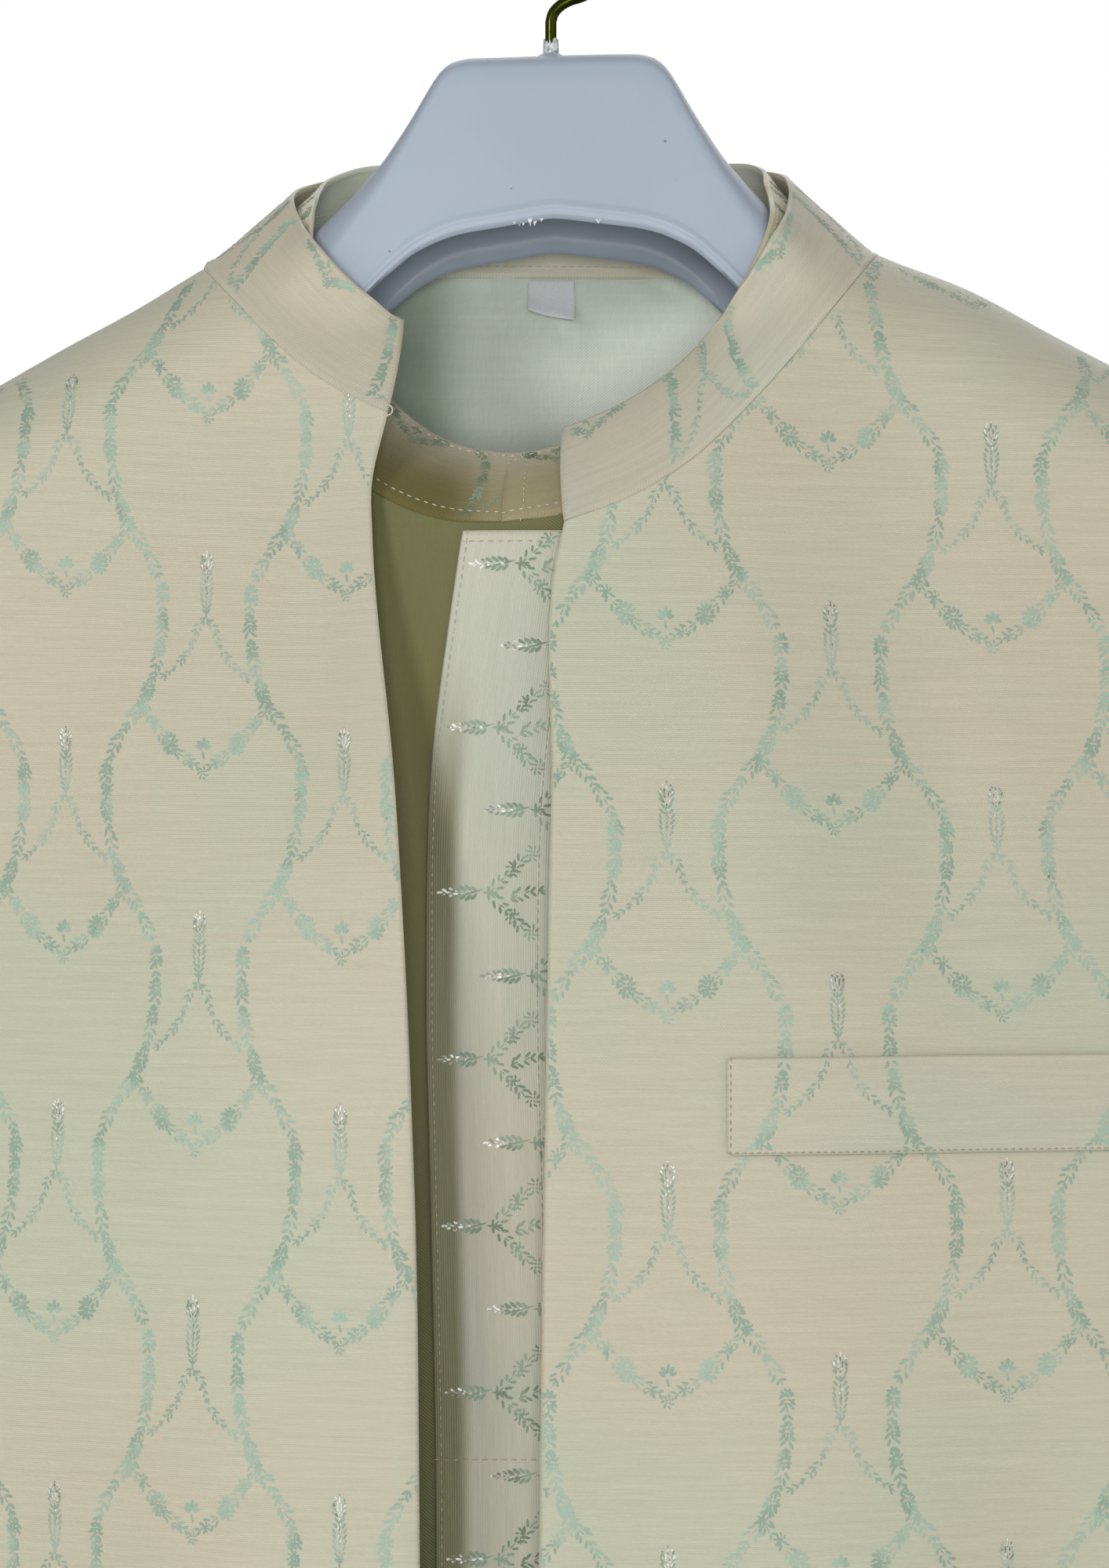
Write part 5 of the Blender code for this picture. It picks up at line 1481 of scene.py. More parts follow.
@dataclass(frozen=True)
class Cut:
    """Where a garment's panels end, and how finely they are made."""

    layer: Layer
    hem_z: float
    armpit_z: float
    armhole: tuple[Place, ...]
    density: Density

    def rows(self) -> tuple[Array, int]:
        """Returns the shares of a panel's rows and the armpit's row."""
        tip_x = self.armhole[-1].x
        length = self.layer.ridge(tip_x) - self.hem_z
        armpit = (self.armpit_z - self.hem_z) / length
        turn = np.linspace(math.pi / 2, 0.0, self.density.turn + 1)
        over = 1.0 - ROUNDING * (1.0 - np.cos(turn)) / length
        flat = armpit + (over[0] - armpit) * np.linspace(0.0, 1.0, self.density.armhole + 1)[1:-1] ** 1.3
        low = np.linspace(0.0, armpit, self.density.side + 1)
        low = np.sort(np.concatenate((low, [EDGE_SHARE / 3])))
        return np.concatenate((low, flat, over)), len(low) - 1

    def half(self, side: Side, inner_line: Sequence[Place], neck_line: Sequence[Place]) -> Array:
        """Lays out a half panel as seen from the front.

        Args:
            side: The wearer's side.
            inner_line: Its front edge or middle line.
            neck_line: Its neck seam, from the middle out.

        Returns:
            The places of a grid whose rows go up and whose columns go out to the side.
        """
        layer, across, (up, armpit_row) = self.layer, self.density.across(), self.rows()
        neck = across <= NECK_SHARE + 1e-6
        tip_x = side.value * self.armhole[-1].x
        neck_points = trace(neck_line, across[neck] / NECK_SHARE)
        out = (across[~neck] - NECK_SHARE) / (1 - NECK_SHARE)
        seam_x = neck_points[-1, 0] + (tip_x - neck_points[-1, 0]) * out
        neck_points[-1, 1] = layer.ridge(neck_points[-1, 0])
        top = np.concatenate((neck_points, np.stack((seam_x, layer.ridge(seam_x)), axis=-1)))
        inner_z = self.hem_z + (top[0, 1] - self.hem_z) * up
        inner_x = x_at(inner_line, inner_z)
        inner_x[-1] = top[0, 0]
        inner = np.stack((inner_x, inner_z), axis=-1)
        side_z = self.hem_z + (self.armpit_z - self.hem_z) * up[: armpit_row + 1] / up[armpit_row]
        side_x = side.value * by_height(layer.half_widths, side_z)
        hole = trace(self.armhole, (up[armpit_row:] - up[armpit_row]) / (1 - up[armpit_row]))
        tip_z = layer.ridge(tip_x)
        armhole = np.stack((side.value * hole[:, 0], tip_z + (self.armpit_z - tip_z) * hole[:, 1]), axis=-1)
        outer = np.concatenate((np.stack((side_x, side_z), axis=-1)[:-1], armhole))
        bottom_x = inner[0, 0] + (outer[0, 0] - inner[0, 0]) * across
        bottom = np.stack((bottom_x, np.full_like(bottom_x, self.hem_z)), axis=-1)
        return self.fill(bottom, top, inner, outer)

    def fill(self, bottom: Array, top: Array, inner: Array, outer: Array) -> Array:
        """Fills four edges with a grid of places."""
        u, v = self.density.across()[None, :, None], self.rows()[0][:, None, None]
        edges = (1 - v) * bottom[None] + v * top[None] + (1 - u) * inner[:, None] + u * outer[:, None]
        corners = (1 - u) * (1 - v) * bottom[0] + u * (1 - v) * bottom[-1]
        return edges - corners - (1 - u) * v * top[0] - u * v * top[-1]

    def seams(self, whole: bool, mirrored: bool = False) -> list[int]:
        """Returns the columns that end on the shoulder seams."""
        across = self.density.across()
        outer = [k for k, share in enumerate(across) if share > NECK_SHARE - 1e-6]
        last = len(across) - 1
        if whole:
            return [last - k for k in outer] + [last + k for k in outer]
        return [last - k for k in outer] if mirrored else outer

    def neck_count(self) -> int:
        """Returns the number of columns from the middle to the shoulder seam's neck end."""
        return int((self.density.across() <= NECK_SHARE + 1e-6).sum()) - 1

    def panel(self, plan: Array, facing: Facing, seams: Sequence[int], sides: Sequence[int], flat: Flat,
              swing: Optional[Callable[[Array, Array], Array]] = None) -> Grid:
        """Gives a plan its depth.

        Args:
            plan: Places seen from the front.
            facing: Front or back.
            seams: Columns that end on a shoulder seam.
            sides: Columns that are side seams below the armpit.
            flat: The cloth's flat coordinates.
            swing: How far forward each place swings.

        Returns:
            The panel.
        """
        x, z = plan[..., 0], plan[..., 1]
        y = facing.value * self.layer.depth(x, z, facing)
        if swing is not None:
            y = y - swing(x, z)
        mid = np.stack((x, y, z), axis=-1)
        normal = grid_normals(mid)
        normal *= np.where(normal[..., 1:2].mean() * facing.value < 0, -1.0, 1.0)
        armpit_row = self.rows()[1]
        for index in [(-1, column) for column in seams] + [(slice(0, armpit_row + 1), column) for column in sides]:
            chosen = normal[index]
            chosen[..., 1] = 0.0
            normal[index] = unit(chosen)
        uv = flat.at(x, z)
        if facing is Facing.BACK:
            uv[..., 0] *= -1.0
        return Grid(mid, normal, self.layer.wall, uv)


class Chain(NamedTuple):
    """A neck edge: its points, the ways out of the panels and their normals."""

    edge: Array
    out: Array
    normal: Array


def way_out(edge: Array, into: Array, normal: Array, ring: bool = False) -> Array:
    """Returns unit ways out of a panel at its edge, in the cloth and square to the edge."""
    if ring:
        along_edge = np.roll(edge, -1, axis=0) - np.roll(edge, 1, axis=0)
    else:
        along_edge = np.gradient(edge, axis=0)
    out = np.cross(normal, along_edge)
    return unit(out * np.where((out * into).sum(axis=-1, keepdims=True) > 0, -1.0, 1.0))


def neck_chain(parts: Sequence[tuple[Grid, Array]]) -> Chain:
    """Joins the neck edges of the right front, the back and the left front.

    Args:
        parts: Each panel with its columns along the neck, read from the wearer's right to the left.

    Returns:
        The neck's chain.
    """
    rows = []
    for grid, columns in parts:
        edge = grid.mid[-1, columns]
        rows.append((edge, grid.mid[-2, columns] - edge, grid.normal[-1, columns]))
    right, middle, left = rows
    joined = []
    for kind in range(3):
        first = (right[kind][-1:] + middle[kind][:1]) / 2
        last = (middle[kind][-1:] + left[kind][:1]) / 2
        joined.append(np.concatenate((right[kind][:-1], first, middle[kind][1:-1], last, left[kind][1:])))
    edge, into, normal = joined
    normal = unit(normal)
    return Chain(edge, way_out(edge, into, normal), normal)


@dataclass
class Collar:
    """A standing band on a neck edge."""

    leans: tuple[Lean, ...]
    clearance: float
    hanger: "Hanger"
    rows: int = 13
    end_radius: float = 0.0
    inner: Optional[Grid] = None
    reach_x: float = 0.085
    reach_y: float = 0.038
    margin: float = 0.022
    bow: float = 0.25

    def clear_of_hanger(self, mid: Array) -> Array:
        """Moves points out of the hanger, forwards or backwards from their foot."""
        side = np.sign(mid[:1, :, 1])
        top, bottom, rounding, half = self.hanger.profile(mid[..., 0])
        above = np.maximum(mid[..., 2] - (top - rounding), 0.0) / (rounding + self.clearance)
        near = smooth((mid[..., 2] - bottom + self.margin) / (0.8 * self.margin))
        reach = (half + self.clearance) * np.sqrt(np.clip(1.0 - above**2, 0.0, 1.0)) * near
        hit = (above < 1.0) & (np.abs(mid[:1, :, 1]) > self.clearance) & (np.abs(mid[..., 1]) < reach)
        hit[0] = False
        mid[..., 1] = np.where(hit, side * reach, mid[..., 1])
        return mid

    def stand_outside(self, mid: Array) -> Array:
        """Moves points, all but the foot, out past the collar that this one stands round."""
        if self.inner is None:
            return mid
        places, ways = self.inner.mid.reshape(-1, 3), self.inner.normal.reshape(-1, 3)
        gap = BAND_WALL + LAYER_GAP
        for row in range(1, mid.shape[0]):
            for column in range(mid.shape[1]):
                nearest = np.argmin(((places - mid[row, column]) ** 2).sum(axis=1))
                short = gap - (mid[row, column] - places[nearest]) @ ways[nearest]
                if short > 0:
                    mid[row, column] += short * ways[nearest]
        return mid

    @staticmethod
    def relax(mid: Array) -> Array:
        """Evens out the band above its foot."""
        soft = mid.copy()
        soft[1:-1, 1:-1] = (
            mid[1:-1, 1:-1] * 2 + mid[:-2, 1:-1] + mid[2:, 1:-1] + mid[1:-1, :-2] + mid[1:-1, 2:]
        ) / 6
        soft[-1, 1:-1] = (mid[-1, 1:-1] * 2 + mid[-1, :-2] + mid[-1, 2:]) / 4
        return soft

    def build(self, chain: Chain) -> Grid:
        """Stands the band on a chain and returns it; turn is 0 at the front and 1 at the back."""
        edge, out, normal = chain
        turns = np.arctan2(np.abs(edge[:, 0]) / self.reach_x, -edge[:, 1] / self.reach_y) / math.pi
        turn = [row.turn for row in self.leans]
        inward = along(turn, [row.inward for row in self.leans], turns) * -np.sign(edge[:, 0])
        backward = along(turn, [row.back for row in self.leans], turns)
        rise = along(turn, [row.rise for row in self.leans], turns)
        lean = np.stack((inward, backward, rise), axis=-1)
        lean *= COLLAR_HEIGHT / np.linalg.norm(lean, axis=-1, keepdims=True)
        foot = edge + 1.5 * SEAM * out
        way = lengths(foot)
        if self.end_radius:
            close = np.clip(1.0 - (way[-1] - way) / self.end_radius, 0.0, 1.0)
            lean *= (1.0 - self.end_radius / COLLAR_HEIGHT * (1.0 - np.sqrt(1.0 - close**2)))[:, None]
        steps = edge_shares(np.linspace(0.0, 1.0, self.rows + 1))[:, None, None]
        mid = foot[None] + steps * lean[None] + (1 - steps) * steps * COLLAR_HEIGHT * self.bow * out[None]
        for _ in range(4):
            mid = self.relax(self.stand_outside(self.clear_of_hanger(mid)))
        mid = self.stand_outside(self.clear_of_hanger(mid))
        stand = grid_normals(mid)
        stand *= np.where((stand * normal[None]).sum() < 0, -1.0, 1.0)
        stand[0] = normal
        up = np.repeat(steps[..., 0] * COLLAR_HEIGHT, len(way), axis=1)
        uv = np.stack((np.repeat(way[None], len(steps), axis=0), up), axis=-1)
        return Grid(mid, stand, BAND_WALL, uv)


def strip_on(layer: Layer, left: Callable[[Array], Array], right: Callable[[Array], Array], top_z: float,
             bottom_z: float, columns: int, rows: int, swing: Optional[Callable[[Array, Array], Array]] = None,
             crown: float = 0.0) -> Grid:
    """Lays a strip on a front, made from the front's own places moved out past its face.

    Args:
        layer: The front's layer.
        left: The strip's edge on the wearer's right, by height.
        right: Its other edge, by height.
        top_z: Its upper end.
        bottom_z: Its lower end.
        columns: Its columns.
        rows: Its rows.
        swing: How far forward the front swings.
        crown: How much the strip's middle rises over its edges.

    Returns:
        The strip.
    """
    z = bottom_z + (top_z - bottom_z) * edge_shares(np.linspace(0.0, 1.0, rows + 1))
    share = edge_shares(np.linspace(0.0, 1.0, columns + 1))
    plan_x = left(z)[:, None] + (right(z) - left(z))[:, None] * share[None]
    plan_z = np.repeat(z[:, None], len(share), axis=1)
    y = -layer.depth(plan_x, plan_z, Facing.FRONT)
    if swing is not None:
        y = y - swing(plan_x, plan_z)
    mid = np.stack((plan_x, y, plan_z), axis=-1)
    normal = grid_normals(mid)
    normal *= np.where(normal[..., 1:2].mean() > 0, -1.0, 1.0)
    rise = crown * (1.0 - (2.0 * share - 1.0) ** 4)[None, :, None]
    mid = mid + normal * (layer.wall / 2 + 2 * SEAM + STRIP_WALL / 2 + rise)
    across = (share[None] - 0.5) * (right(z) - left(z))[:, None]
    uv = np.stack((across, plan_z - top_z), axis=-1)
    return Grid(mid, normal, STRIP_WALL, uv)


def face_line(grid: Grid, row: Union[int, Array], column: Union[int, Array], side: float = 1.0) -> Array:
    """Returns a row of places just over one face, for stitches."""
    return grid.face(side, THREAD_RADIUS * 0.5)[row, column]


@dataclass
class Hanger:
    """The wide moulded hanger, hollow and open below, with its bar, wire hook and stem collar."""

    kurta: Layer
    half_length: float = 0.208
    half_depth: float = 0.0242
    wall: float = 0.0025
    plateau_z: float = -0.0601
    middle_x: float = 0.0006
    tilt: float = 0.032
    back_drop: float = 0.003
    end_bottom_z: float = -0.2220
    cloth_start_x: float = 0.105
    arm_slope: float = 0.42
    corner_reach: float = 0.0022
    moulding_height: float = 0.0026
    moulding_proud: float = 0.00035
    bar_radius: float = 0.004
    bar_z: float = -0.2
    wire_radius: float = 0.0016
    hook_radius: float = 0.0226
    stem_foot_z: float = -0.0661
    stem_bend_z: float = -0.0490
    torn_height: float = 0.0044
    table: tuple[Profile, ...] = (
        Profile(0.0000, -0.0601, -0.1060, 0.0050), Profile(0.0240, -0.0603, -0.1095, 0.0050),
        Profile(0.0290, -0.0618, -0.1108, 0.0052), Profile(0.0320, -0.0660, -0.1120, 0.0060),
        Profile(0.0381, -0.0764, -0.1150, 0.0070), Profile(0.0460, -0.0880, -0.1218, 0.0090),
        Profile(0.0548, -0.0976, -0.1310, 0.0120), Profile(0.0630, -0.1056, -0.1400, 0.0160),
        Profile(0.0730, -0.1130, -0.1500, 0.0220), Profile(0.0860, -0.1195, -0.1600, 0.0280),
    )

    def soft(self, away: Array, name: str) -> Array:
        """Reads a column of the table with its corners rounded."""
        places = [row.x for row in self.table]
        values = [getattr(row, name) for row in self.table]
        shifts = np.linspace(-self.corner_reach, self.corner_reach, 9)
        return sum(np.interp(np.abs(away + shift), places, values) for shift in shifts) / len(shifts)

    def profile(self, x: Any) -> tuple[Array, Array, Array, Array]:
        """Returns the top, lower edge, rounding and half depth at x; under cloth it follows the shoulders."""
        away = np.abs(x - self.middle_x)
        last = self.table[-1]
        clear = self.kurta.wall / 2 + SHOULDER_GAP
        under = self.kurta.ridge(x) - clear
        blend = smooth((away - last.x) / (self.cloth_start_x - last.x))
        bare = away <= last.x
        arm_top = (last.top - self.arm_slope * (away - last.x)) * (1 - blend) + under * blend
        top = np.where(bare, self.soft(away, "top"), arm_top)
        low = last.bottom + (self.end_bottom_z - last.bottom) * (away - last.x) / (self.half_length - last.x)
        bottom = np.where(bare, self.soft(away, "bottom"), low)
        arm_rounding = last.rounding + (ROUNDING - clear - last.rounding) * blend
        rounding = np.where(bare, self.soft(away, "rounding"), arm_rounding)
        cloth = self.kurta.depth(x, self.kurta.ridge(x) - ROUNDING, Facing.FRONT) - clear
        half = np.where(bare, self.half_depth, np.minimum(self.half_depth, cloth))
        tilt = self.tilt * (x - self.middle_x) * (1.0 - smooth(away / last.x))
        return top + tilt, bottom + tilt, rounding, half

    def shell(self) -> Grid:
        """Returns the shell: each section runs up the front, over the top and down the back."""
        near = np.linspace(-self.table[-1].x, self.table[-1].x, 121)
        arm = np.linspace(self.table[-1].x, self.half_length, 31)[1:]
        stations = self.middle_x + np.concatenate((-arm[::-1], near, arm))
        angles = np.linspace(0.0, math.pi, 33)
        inset = self.wall / 2
        sections = []
        for x in stations:
            top, bottom, rounding, half = (float(value) for value in self.profile(x))
            half, rise = half - inset, top - inset - rounding
            front = bottom + np.array((0.0, 0.0005, 0.0016, 0.0022, 0.0028, 0.0034, 0.0046, 0.0070))
            proud = self.moulding_proud * np.exp(-((front - bottom - self.moulding_height) / 0.0006) ** 2)
            steps = np.linspace(front[-1], rise, 9)[1:-1]
            climb = np.concatenate((front, np.maximum(steps, front[-1])))
            bulge = np.concatenate((proud, np.zeros(len(steps))))
            y = -half * np.cos(angles)
            z = rise + rounding * np.sin(angles)
            down = np.linspace(rise, bottom - self.back_drop, 10)[1:]
            sections.append(np.concatenate((
                np.stack((np.full_like(climb, x), -half - bulge, climb), axis=-1),
                np.stack((np.full_like(y, x), y, z), axis=-1),
                np.stack((np.full_like(down, x), np.full_like(down, half), down), axis=-1),
            )))
        mid = np.array(sections)
        normal = grid_normals(mid)
        middle = mid[:, len(mid[0]) // 2]
        normal *= np.where((normal[:, len(mid[0]) // 2] * (middle - middle + (0, 0, 1))).sum() < 0, -1.0, 1.0)
        way = lengths(mid[len(mid) // 2])
        uv = np.stack(np.meshgrid(way, stations), axis=-1)
        return Grid(mid, normal, self.wall, uv)

    def flash(self, material: bpy.types.Material) -> bpy.types.Object:
        """Makes the ragged flash that the mould left on the front arch's lower edge."""
        random = np.random.default_rng(5)
        points, faces = [], []
        x = -0.0125
        while x < 0.0175:
            step = random.uniform(0.0006, 0.0022)
            long_one = random.random() < 0.45
            drop = random.uniform(0.0010, 0.0026) if long_one else random.uniform(0.0003, 0.0010)
            bottom = float(self.profile(x)[1]) + 0.0002
            y = -self.half_depth + self.wall * random.uniform(0.15, 0.75)
            start = len(points)
            for dx, dz in ((0, 0), (step, 0), (step * random.uniform(0.3, 0.8), -drop)):
                for dy in (-0.00018, 0.00018):
                    points.append((x + dx, y + dy, bottom + dz))
            a, b, c, d, e, f = range(start, start + 6)
            faces += [[a, e, c], [b, d, f], [a, c, d, b], [c, e, f, d], [e, a, b, f]]
            x += step * 0.9
        return make_mesh("hanger_flash", np.array(points), faces, material, sharp=20.0)

    def tube(self, name: str, path: Array, radii: Sequence[float], sides: int,
             material: bpy.types.Material) -> bpy.types.Object:
        """Makes a closed round bar along a path that lies in one upright plane."""
        ways = unit(np.gradient(path, axis=0))
        beside = np.array((0.0, 1.0, 0.0))
        angles = 2 * math.pi * np.arange(sides) / sides
        points = []
        for place, way, radius in zip(path, ways, radii):
            first = unit(beside - way * beside.dot(way))
            second = np.cross(way, first)
            points.append(place + radius * (np.cos(angles)[:, None] * first + np.sin(angles)[:, None] * second))
        count = len(path)
        i, j = np.meshgrid(np.arange(count - 1), np.arange(sides), indexing="ij")
        a, b = (i * sides + j).ravel(), (i * sides + (j + 1) % sides).ravel()
        faces = np.stack((a, a + sides, b + sides, b), axis=1).tolist()
        ends = [list(range(sides)), [(count - 1) * sides + k for k in range(sides)][::-1]]
        faces = [face[::-1] for face in faces]
        faces += [end[::-1] for end in ends]
        return make_mesh(name, np.concatenate(points), faces, material)

    def hook(self, material: bpy.types.Material) -> bpy.types.Object:
        """Makes the wire hook: a headed stem, a short bend and an open round crown."""
        centre_z = -self.hook_radius + self.wire_radius
        turn = np.linspace(math.radians(-68), math.radians(205), 90)
        arc = np.stack((self.hook_radius * np.cos(turn), np.zeros_like(turn),
                        centre_z + self.hook_radius * np.sin(turn)), axis=1)
        bends = np.array(((0.0, 0.0, self.stem_bend_z), (0.0007, 0.0, -0.0466), (0.0026, 0.0, -0.0445),
                          (0.0052, 0.0, -0.0430), tuple(arc[0]), tuple(arc[3])))
        bend = trace(bends, np.linspace(0.0, 0.93, 22))
        stem_z = (self.stem_foot_z, self.stem_foot_z + 0.0011, self.stem_foot_z + 0.0013,
                  self.stem_foot_z + 0.0015, self.plateau_z, -0.054)
        stem = np.array([(0.0, 0.0, z) for z in stem_z])
        path = np.concatenate((stem, bend, arc[3:]))
        head = 0.0034
        radii = [head, head, head * 0.8] + [self.wire_radius] * (len(path) - 3)
        return self.tube("hook_wire", path, radii, 24, material)

    @staticmethod
    def turned(name: str, radii: Sequence[float], heights: Array, material: bpy.types.Material) -> bpy.types.Object:
        """Makes a closed ring round the stem.

        Args:
            name: The piece's name.
            radii: The section's radii, in order round it.
            heights: The section's heights, a row for each radius and a column for each way round.
            material: Its finish.

        Returns:
            The ring.
        """
        count, sides = heights.shape
        angles = 2 * math.pi * np.arange(sides) / sides
        ways = np.stack((np.cos(angles), np.sin(angles)), axis=-1)
        points = np.concatenate((np.array(radii)[:, None, None] * ways[None], heights[..., None]), axis=-1)
        i, j = (places.ravel() for places in np.meshgrid(np.arange(count), np.arange(sides), indexing="ij"))
        low, high, after = i * sides, (i + 1) % count * sides, (j + 1) % sides
        faces = np.stack((low + j, low + after, high + after, high + j), axis=1)
        return make_mesh(name, points.reshape(-1, 3), faces, material, sharp=40.0)

    def stem_collar(self, material: bpy.types.Material) -> bpy.types.Object:
        """Makes the small tapered ring round the stem."""
        inner = self.wire_radius + 1.2 * SEAM
        radii = (inner, 0.0050, 0.0049, 0.0042, 0.0031, 0.0026, inner)
        rises = np.array((0.0, 0.0, 0.0004, 0.0009, 0.0015, 0.0018, 0.0018))
        heights = np.repeat((self.plateau_z + SEAM + rises)[:, None], 40, axis=1)
        return self.turned("hanger_boss", radii, heights, material)

    def torn_sleeve(self, material: bpy.types.Material) -> bpy.types.Object:
        """Makes the pale plastic that stands up round the wire's foot, its upper edge torn."""
        inner, outer = self.wire_radius + SEAM / 2, self.wire_radius + 0.0006
        low = self.plateau_z + 0.0021
        torn = low + self.torn_height * np.random.default_rng(9).uniform(0.45, 1.0, 26)
        heights = np.stack((np.full_like(torn, low), np.full_like(torn, low), torn - 0.0002, torn))
        return self.turned("hanger_torn_sleeve", (inner, outer, outer - 0.0001, inner), heights, material)

    def dress(self, shop: Workshop) -> None:
        """Builds the hanger's pieces."""
        plastic, wire = shop.finishes["plastic"], shop.finishes["wire"]
        body = shop.keep(self.shell().build("hanger_shell", plastic), "hanger_plastic")
        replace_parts(body, "hanger_body")
        shop.keep(self.flash(shop.finishes["flash"]), "hanger_plastic")
        shop.keep(self.torn_sleeve(shop.finishes["flash"]), "hanger_plastic")
        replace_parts(shop.keep(self.stem_collar(plastic), "hanger_plastic"), "hanger_stem_collar")
        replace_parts(shop.keep(self.hook(wire), "hook_wire"), "hanger_hook")
        reach = self.half_length - self.wall - SEAM
        x = self.middle_x + np.linspace(-reach, reach, 9)
        path = np.stack((x, np.zeros_like(x), np.full_like(x, self.bar_z)), axis=1)
        bar = self.tube("trouser_bar", path, [self.bar_radius] * len(x), 24, plastic)
        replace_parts(shop.keep(bar, "hanger_plastic"), "hanger_bar")


@dataclass
class Jacket:
    """The open sleeveless jacket: two fronts, a back, a standing collar and a chest welt."""

    hanger: Hanger
    hem_z: float = JACKET_HEM_Z
    armpit_z: float = -0.420
    neck_back_z: float = -0.1180
    welt_width: float = 0.110
    welt_top_z: float = -0.3326
    welt_bottom_z: float = -0.3565
    welt_inner_x: float = 0.0460
    swing_reach: float = 0.135
    right_swing: float = 0.020
    right_edge_x: float = -0.038
    left_swing: float = 0.006
    level_z: float = -0.42
    density: Density = Density(neck=36, shoulder=32, side=84, armhole=46, turn=14)
    torch_left: Place = Place(0.0741, -0.2186)
    torch_right: Place = Place(-0.0915, -0.2050)
    squeeze_right: float = 0.865
    depths: tuple[Level, ...] = (
        Level(JACKET_HEM_Z, 0.072), Level(-0.42, 0.070), Level(-0.20, 0.062), Level(-0.10, 0.060),
    )
    half_widths: tuple[Level, ...] = (Level(JACKET_HEM_Z, 0.2500), Level(-0.420, 0.2385), Level(-0.10, 0.2385))
    folds: tuple[Fold, ...] = (
        Fold(-0.135, -0.150, 0.026, -0.0040, -0.26, -0.60),
        Fold(-0.085, -0.080, 0.030, 0.0040, -0.20, -0.55),
        Fold(0.060, 0.070, 0.030, 0.0030, -0.24, -0.60),
        Fold(0.120, 0.140, 0.028, -0.0040, -0.22, -0.58),
        Fold(0.185, 0.200, 0.022, 0.0050, -0.34, -0.66),
        Fold(-0.190, -0.205, 0.022, 0.0050, -0.36, -0.70),
    )
    front_creases: tuple[Crease, ...] = (
        Crease(-0.066, -0.150, -0.062, -0.285, 0.014, -0.0024),
        Crease(-0.118, -0.170, -0.100, -0.330, 0.018, 0.0012),
        Crease(0.052, -0.190, 0.060, -0.330, 0.018, 0.0014),
        Crease(0.100, -0.180, 0.108, -0.360, 0.016, -0.0014),
        Crease(0.205, -0.330, 0.150, -0.420, 0.014, -0.0026),
        Crease(0.215, -0.370, 0.165, -0.500, 0.016, -0.0030),
        Crease(-0.200, -0.330, -0.150, -0.430, 0.014, -0.0026),
        Crease(-0.214, -0.370, -0.170, -0.520, 0.016, -0.0030),
        Crease(0.030, -0.520, 0.042, -0.760, 0.020, -0.0022),
        Crease(-0.070, -0.480, -0.052, -0.740, 0.018, 0.0020),
        Crease(0.170, -0.560, 0.160, -0.800, 0.018, -0.0026),
        Crease(-0.165, -0.560, -0.170, -0.790, 0.017, 0.0028),
    )
    back_creases: tuple[Crease, ...] = (
        Crease(0.205, -0.330, 0.130, -0.430, 0.016, -0.0030),
        Crease(-0.204, -0.325, -0.120, -0.445, 0.016, -0.0030),
        Crease(0.060, -0.190, 0.085, -0.420, 0.022, -0.0024),
        Crease(-0.075, -0.200, -0.060, -0.400, 0.020, -0.0022),
        Crease(0.010, -0.260, 0.016, -0.620, 0.024, 0.0030),
        Crease(-0.120, -0.500, -0.135, -0.790, 0.022, -0.0034),
        Crease(0.130, -0.470, 0.118, -0.780, 0.022, -0.0032),
        Crease(-0.040, -0.560, -0.050, -0.800, 0.020, 0.0026),
    )
    armhole: tuple[Place, ...] = (
        Place(0.2385, 1.0), Place(0.2240, 0.95), Place(0.2085, 0.82), Place(0.1975, 0.62),
        Place(0.1945, 0.40), Place(0.1990, 0.18), Place(0.2070, 0.0),
    )
    neck_left: tuple[Place, ...] = (
        Place(0.0041, -0.1915), Place(0.0204, -0.1854), Place(0.0373, -0.1750), Place(0.0524, -0.1606),
        Place(0.0657, -0.1457), Place(0.0771, -0.1316), Place(0.0904, -0.1150),
    )
    neck_right: tuple[Place, ...] = (
        Place(-0.0440, -0.1618), Place(-0.0539, -0.1572), Place(-0.0640, -0.1509), Place(-0.0754, -0.1412),
        Place(-0.0846, -0.1316), Place(-0.0961, -0.1189),
    )
    edge_left: tuple[Place, ...] = (
        Place(-0.0030, JACKET_HEM_Z), Place(-0.0025, -0.4690), Place(-0.0015, -0.3850), Place(0.0008, -0.2610),
        Place(0.0022, -0.2000), Place(0.0041, -0.1915),
    )
    edge_right: tuple[Place, ...] = (
        Place(-0.0335, JACKET_HEM_Z), Place(-0.0337, -0.4690), Place(-0.0352, -0.3650), Place(-0.0409, -0.2610),
        Place(-0.0478, -0.1944), Place(-0.0482, -0.1820), Place(-0.0440, -0.1618),
    )
    leans: tuple[Lean, ...] = (
        Lean(0.0, 0.000, 0.0194, 0.0254), Lean(0.14, 0.0035, 0.0175, 0.0266), Lean(0.30, 0.0165, 0.0140, 0.0225),
        Lean(0.42, 0.0225, 0.0070, 0.0210), Lean(0.50, 0.0240, 0.0010, 0.0212), Lean(0.62, 0.0190, -0.0010, 0.0255),
        Lean(0.75, 0.0100, 0.0005, 0.0300), Lean(1.0, 0.000, 0.0010, 0.0316),
    )

    def layer(self) -> Layer:
        """Returns the jacket's layer."""
        return Layer(JACKET_WALL, JACKET_WALL / 2, 0.0, 0.0310, self.depths, self.half_widths, self.folds,
                     {Facing.FRONT: self.front_creases, Facing.BACK: self.back_creases})

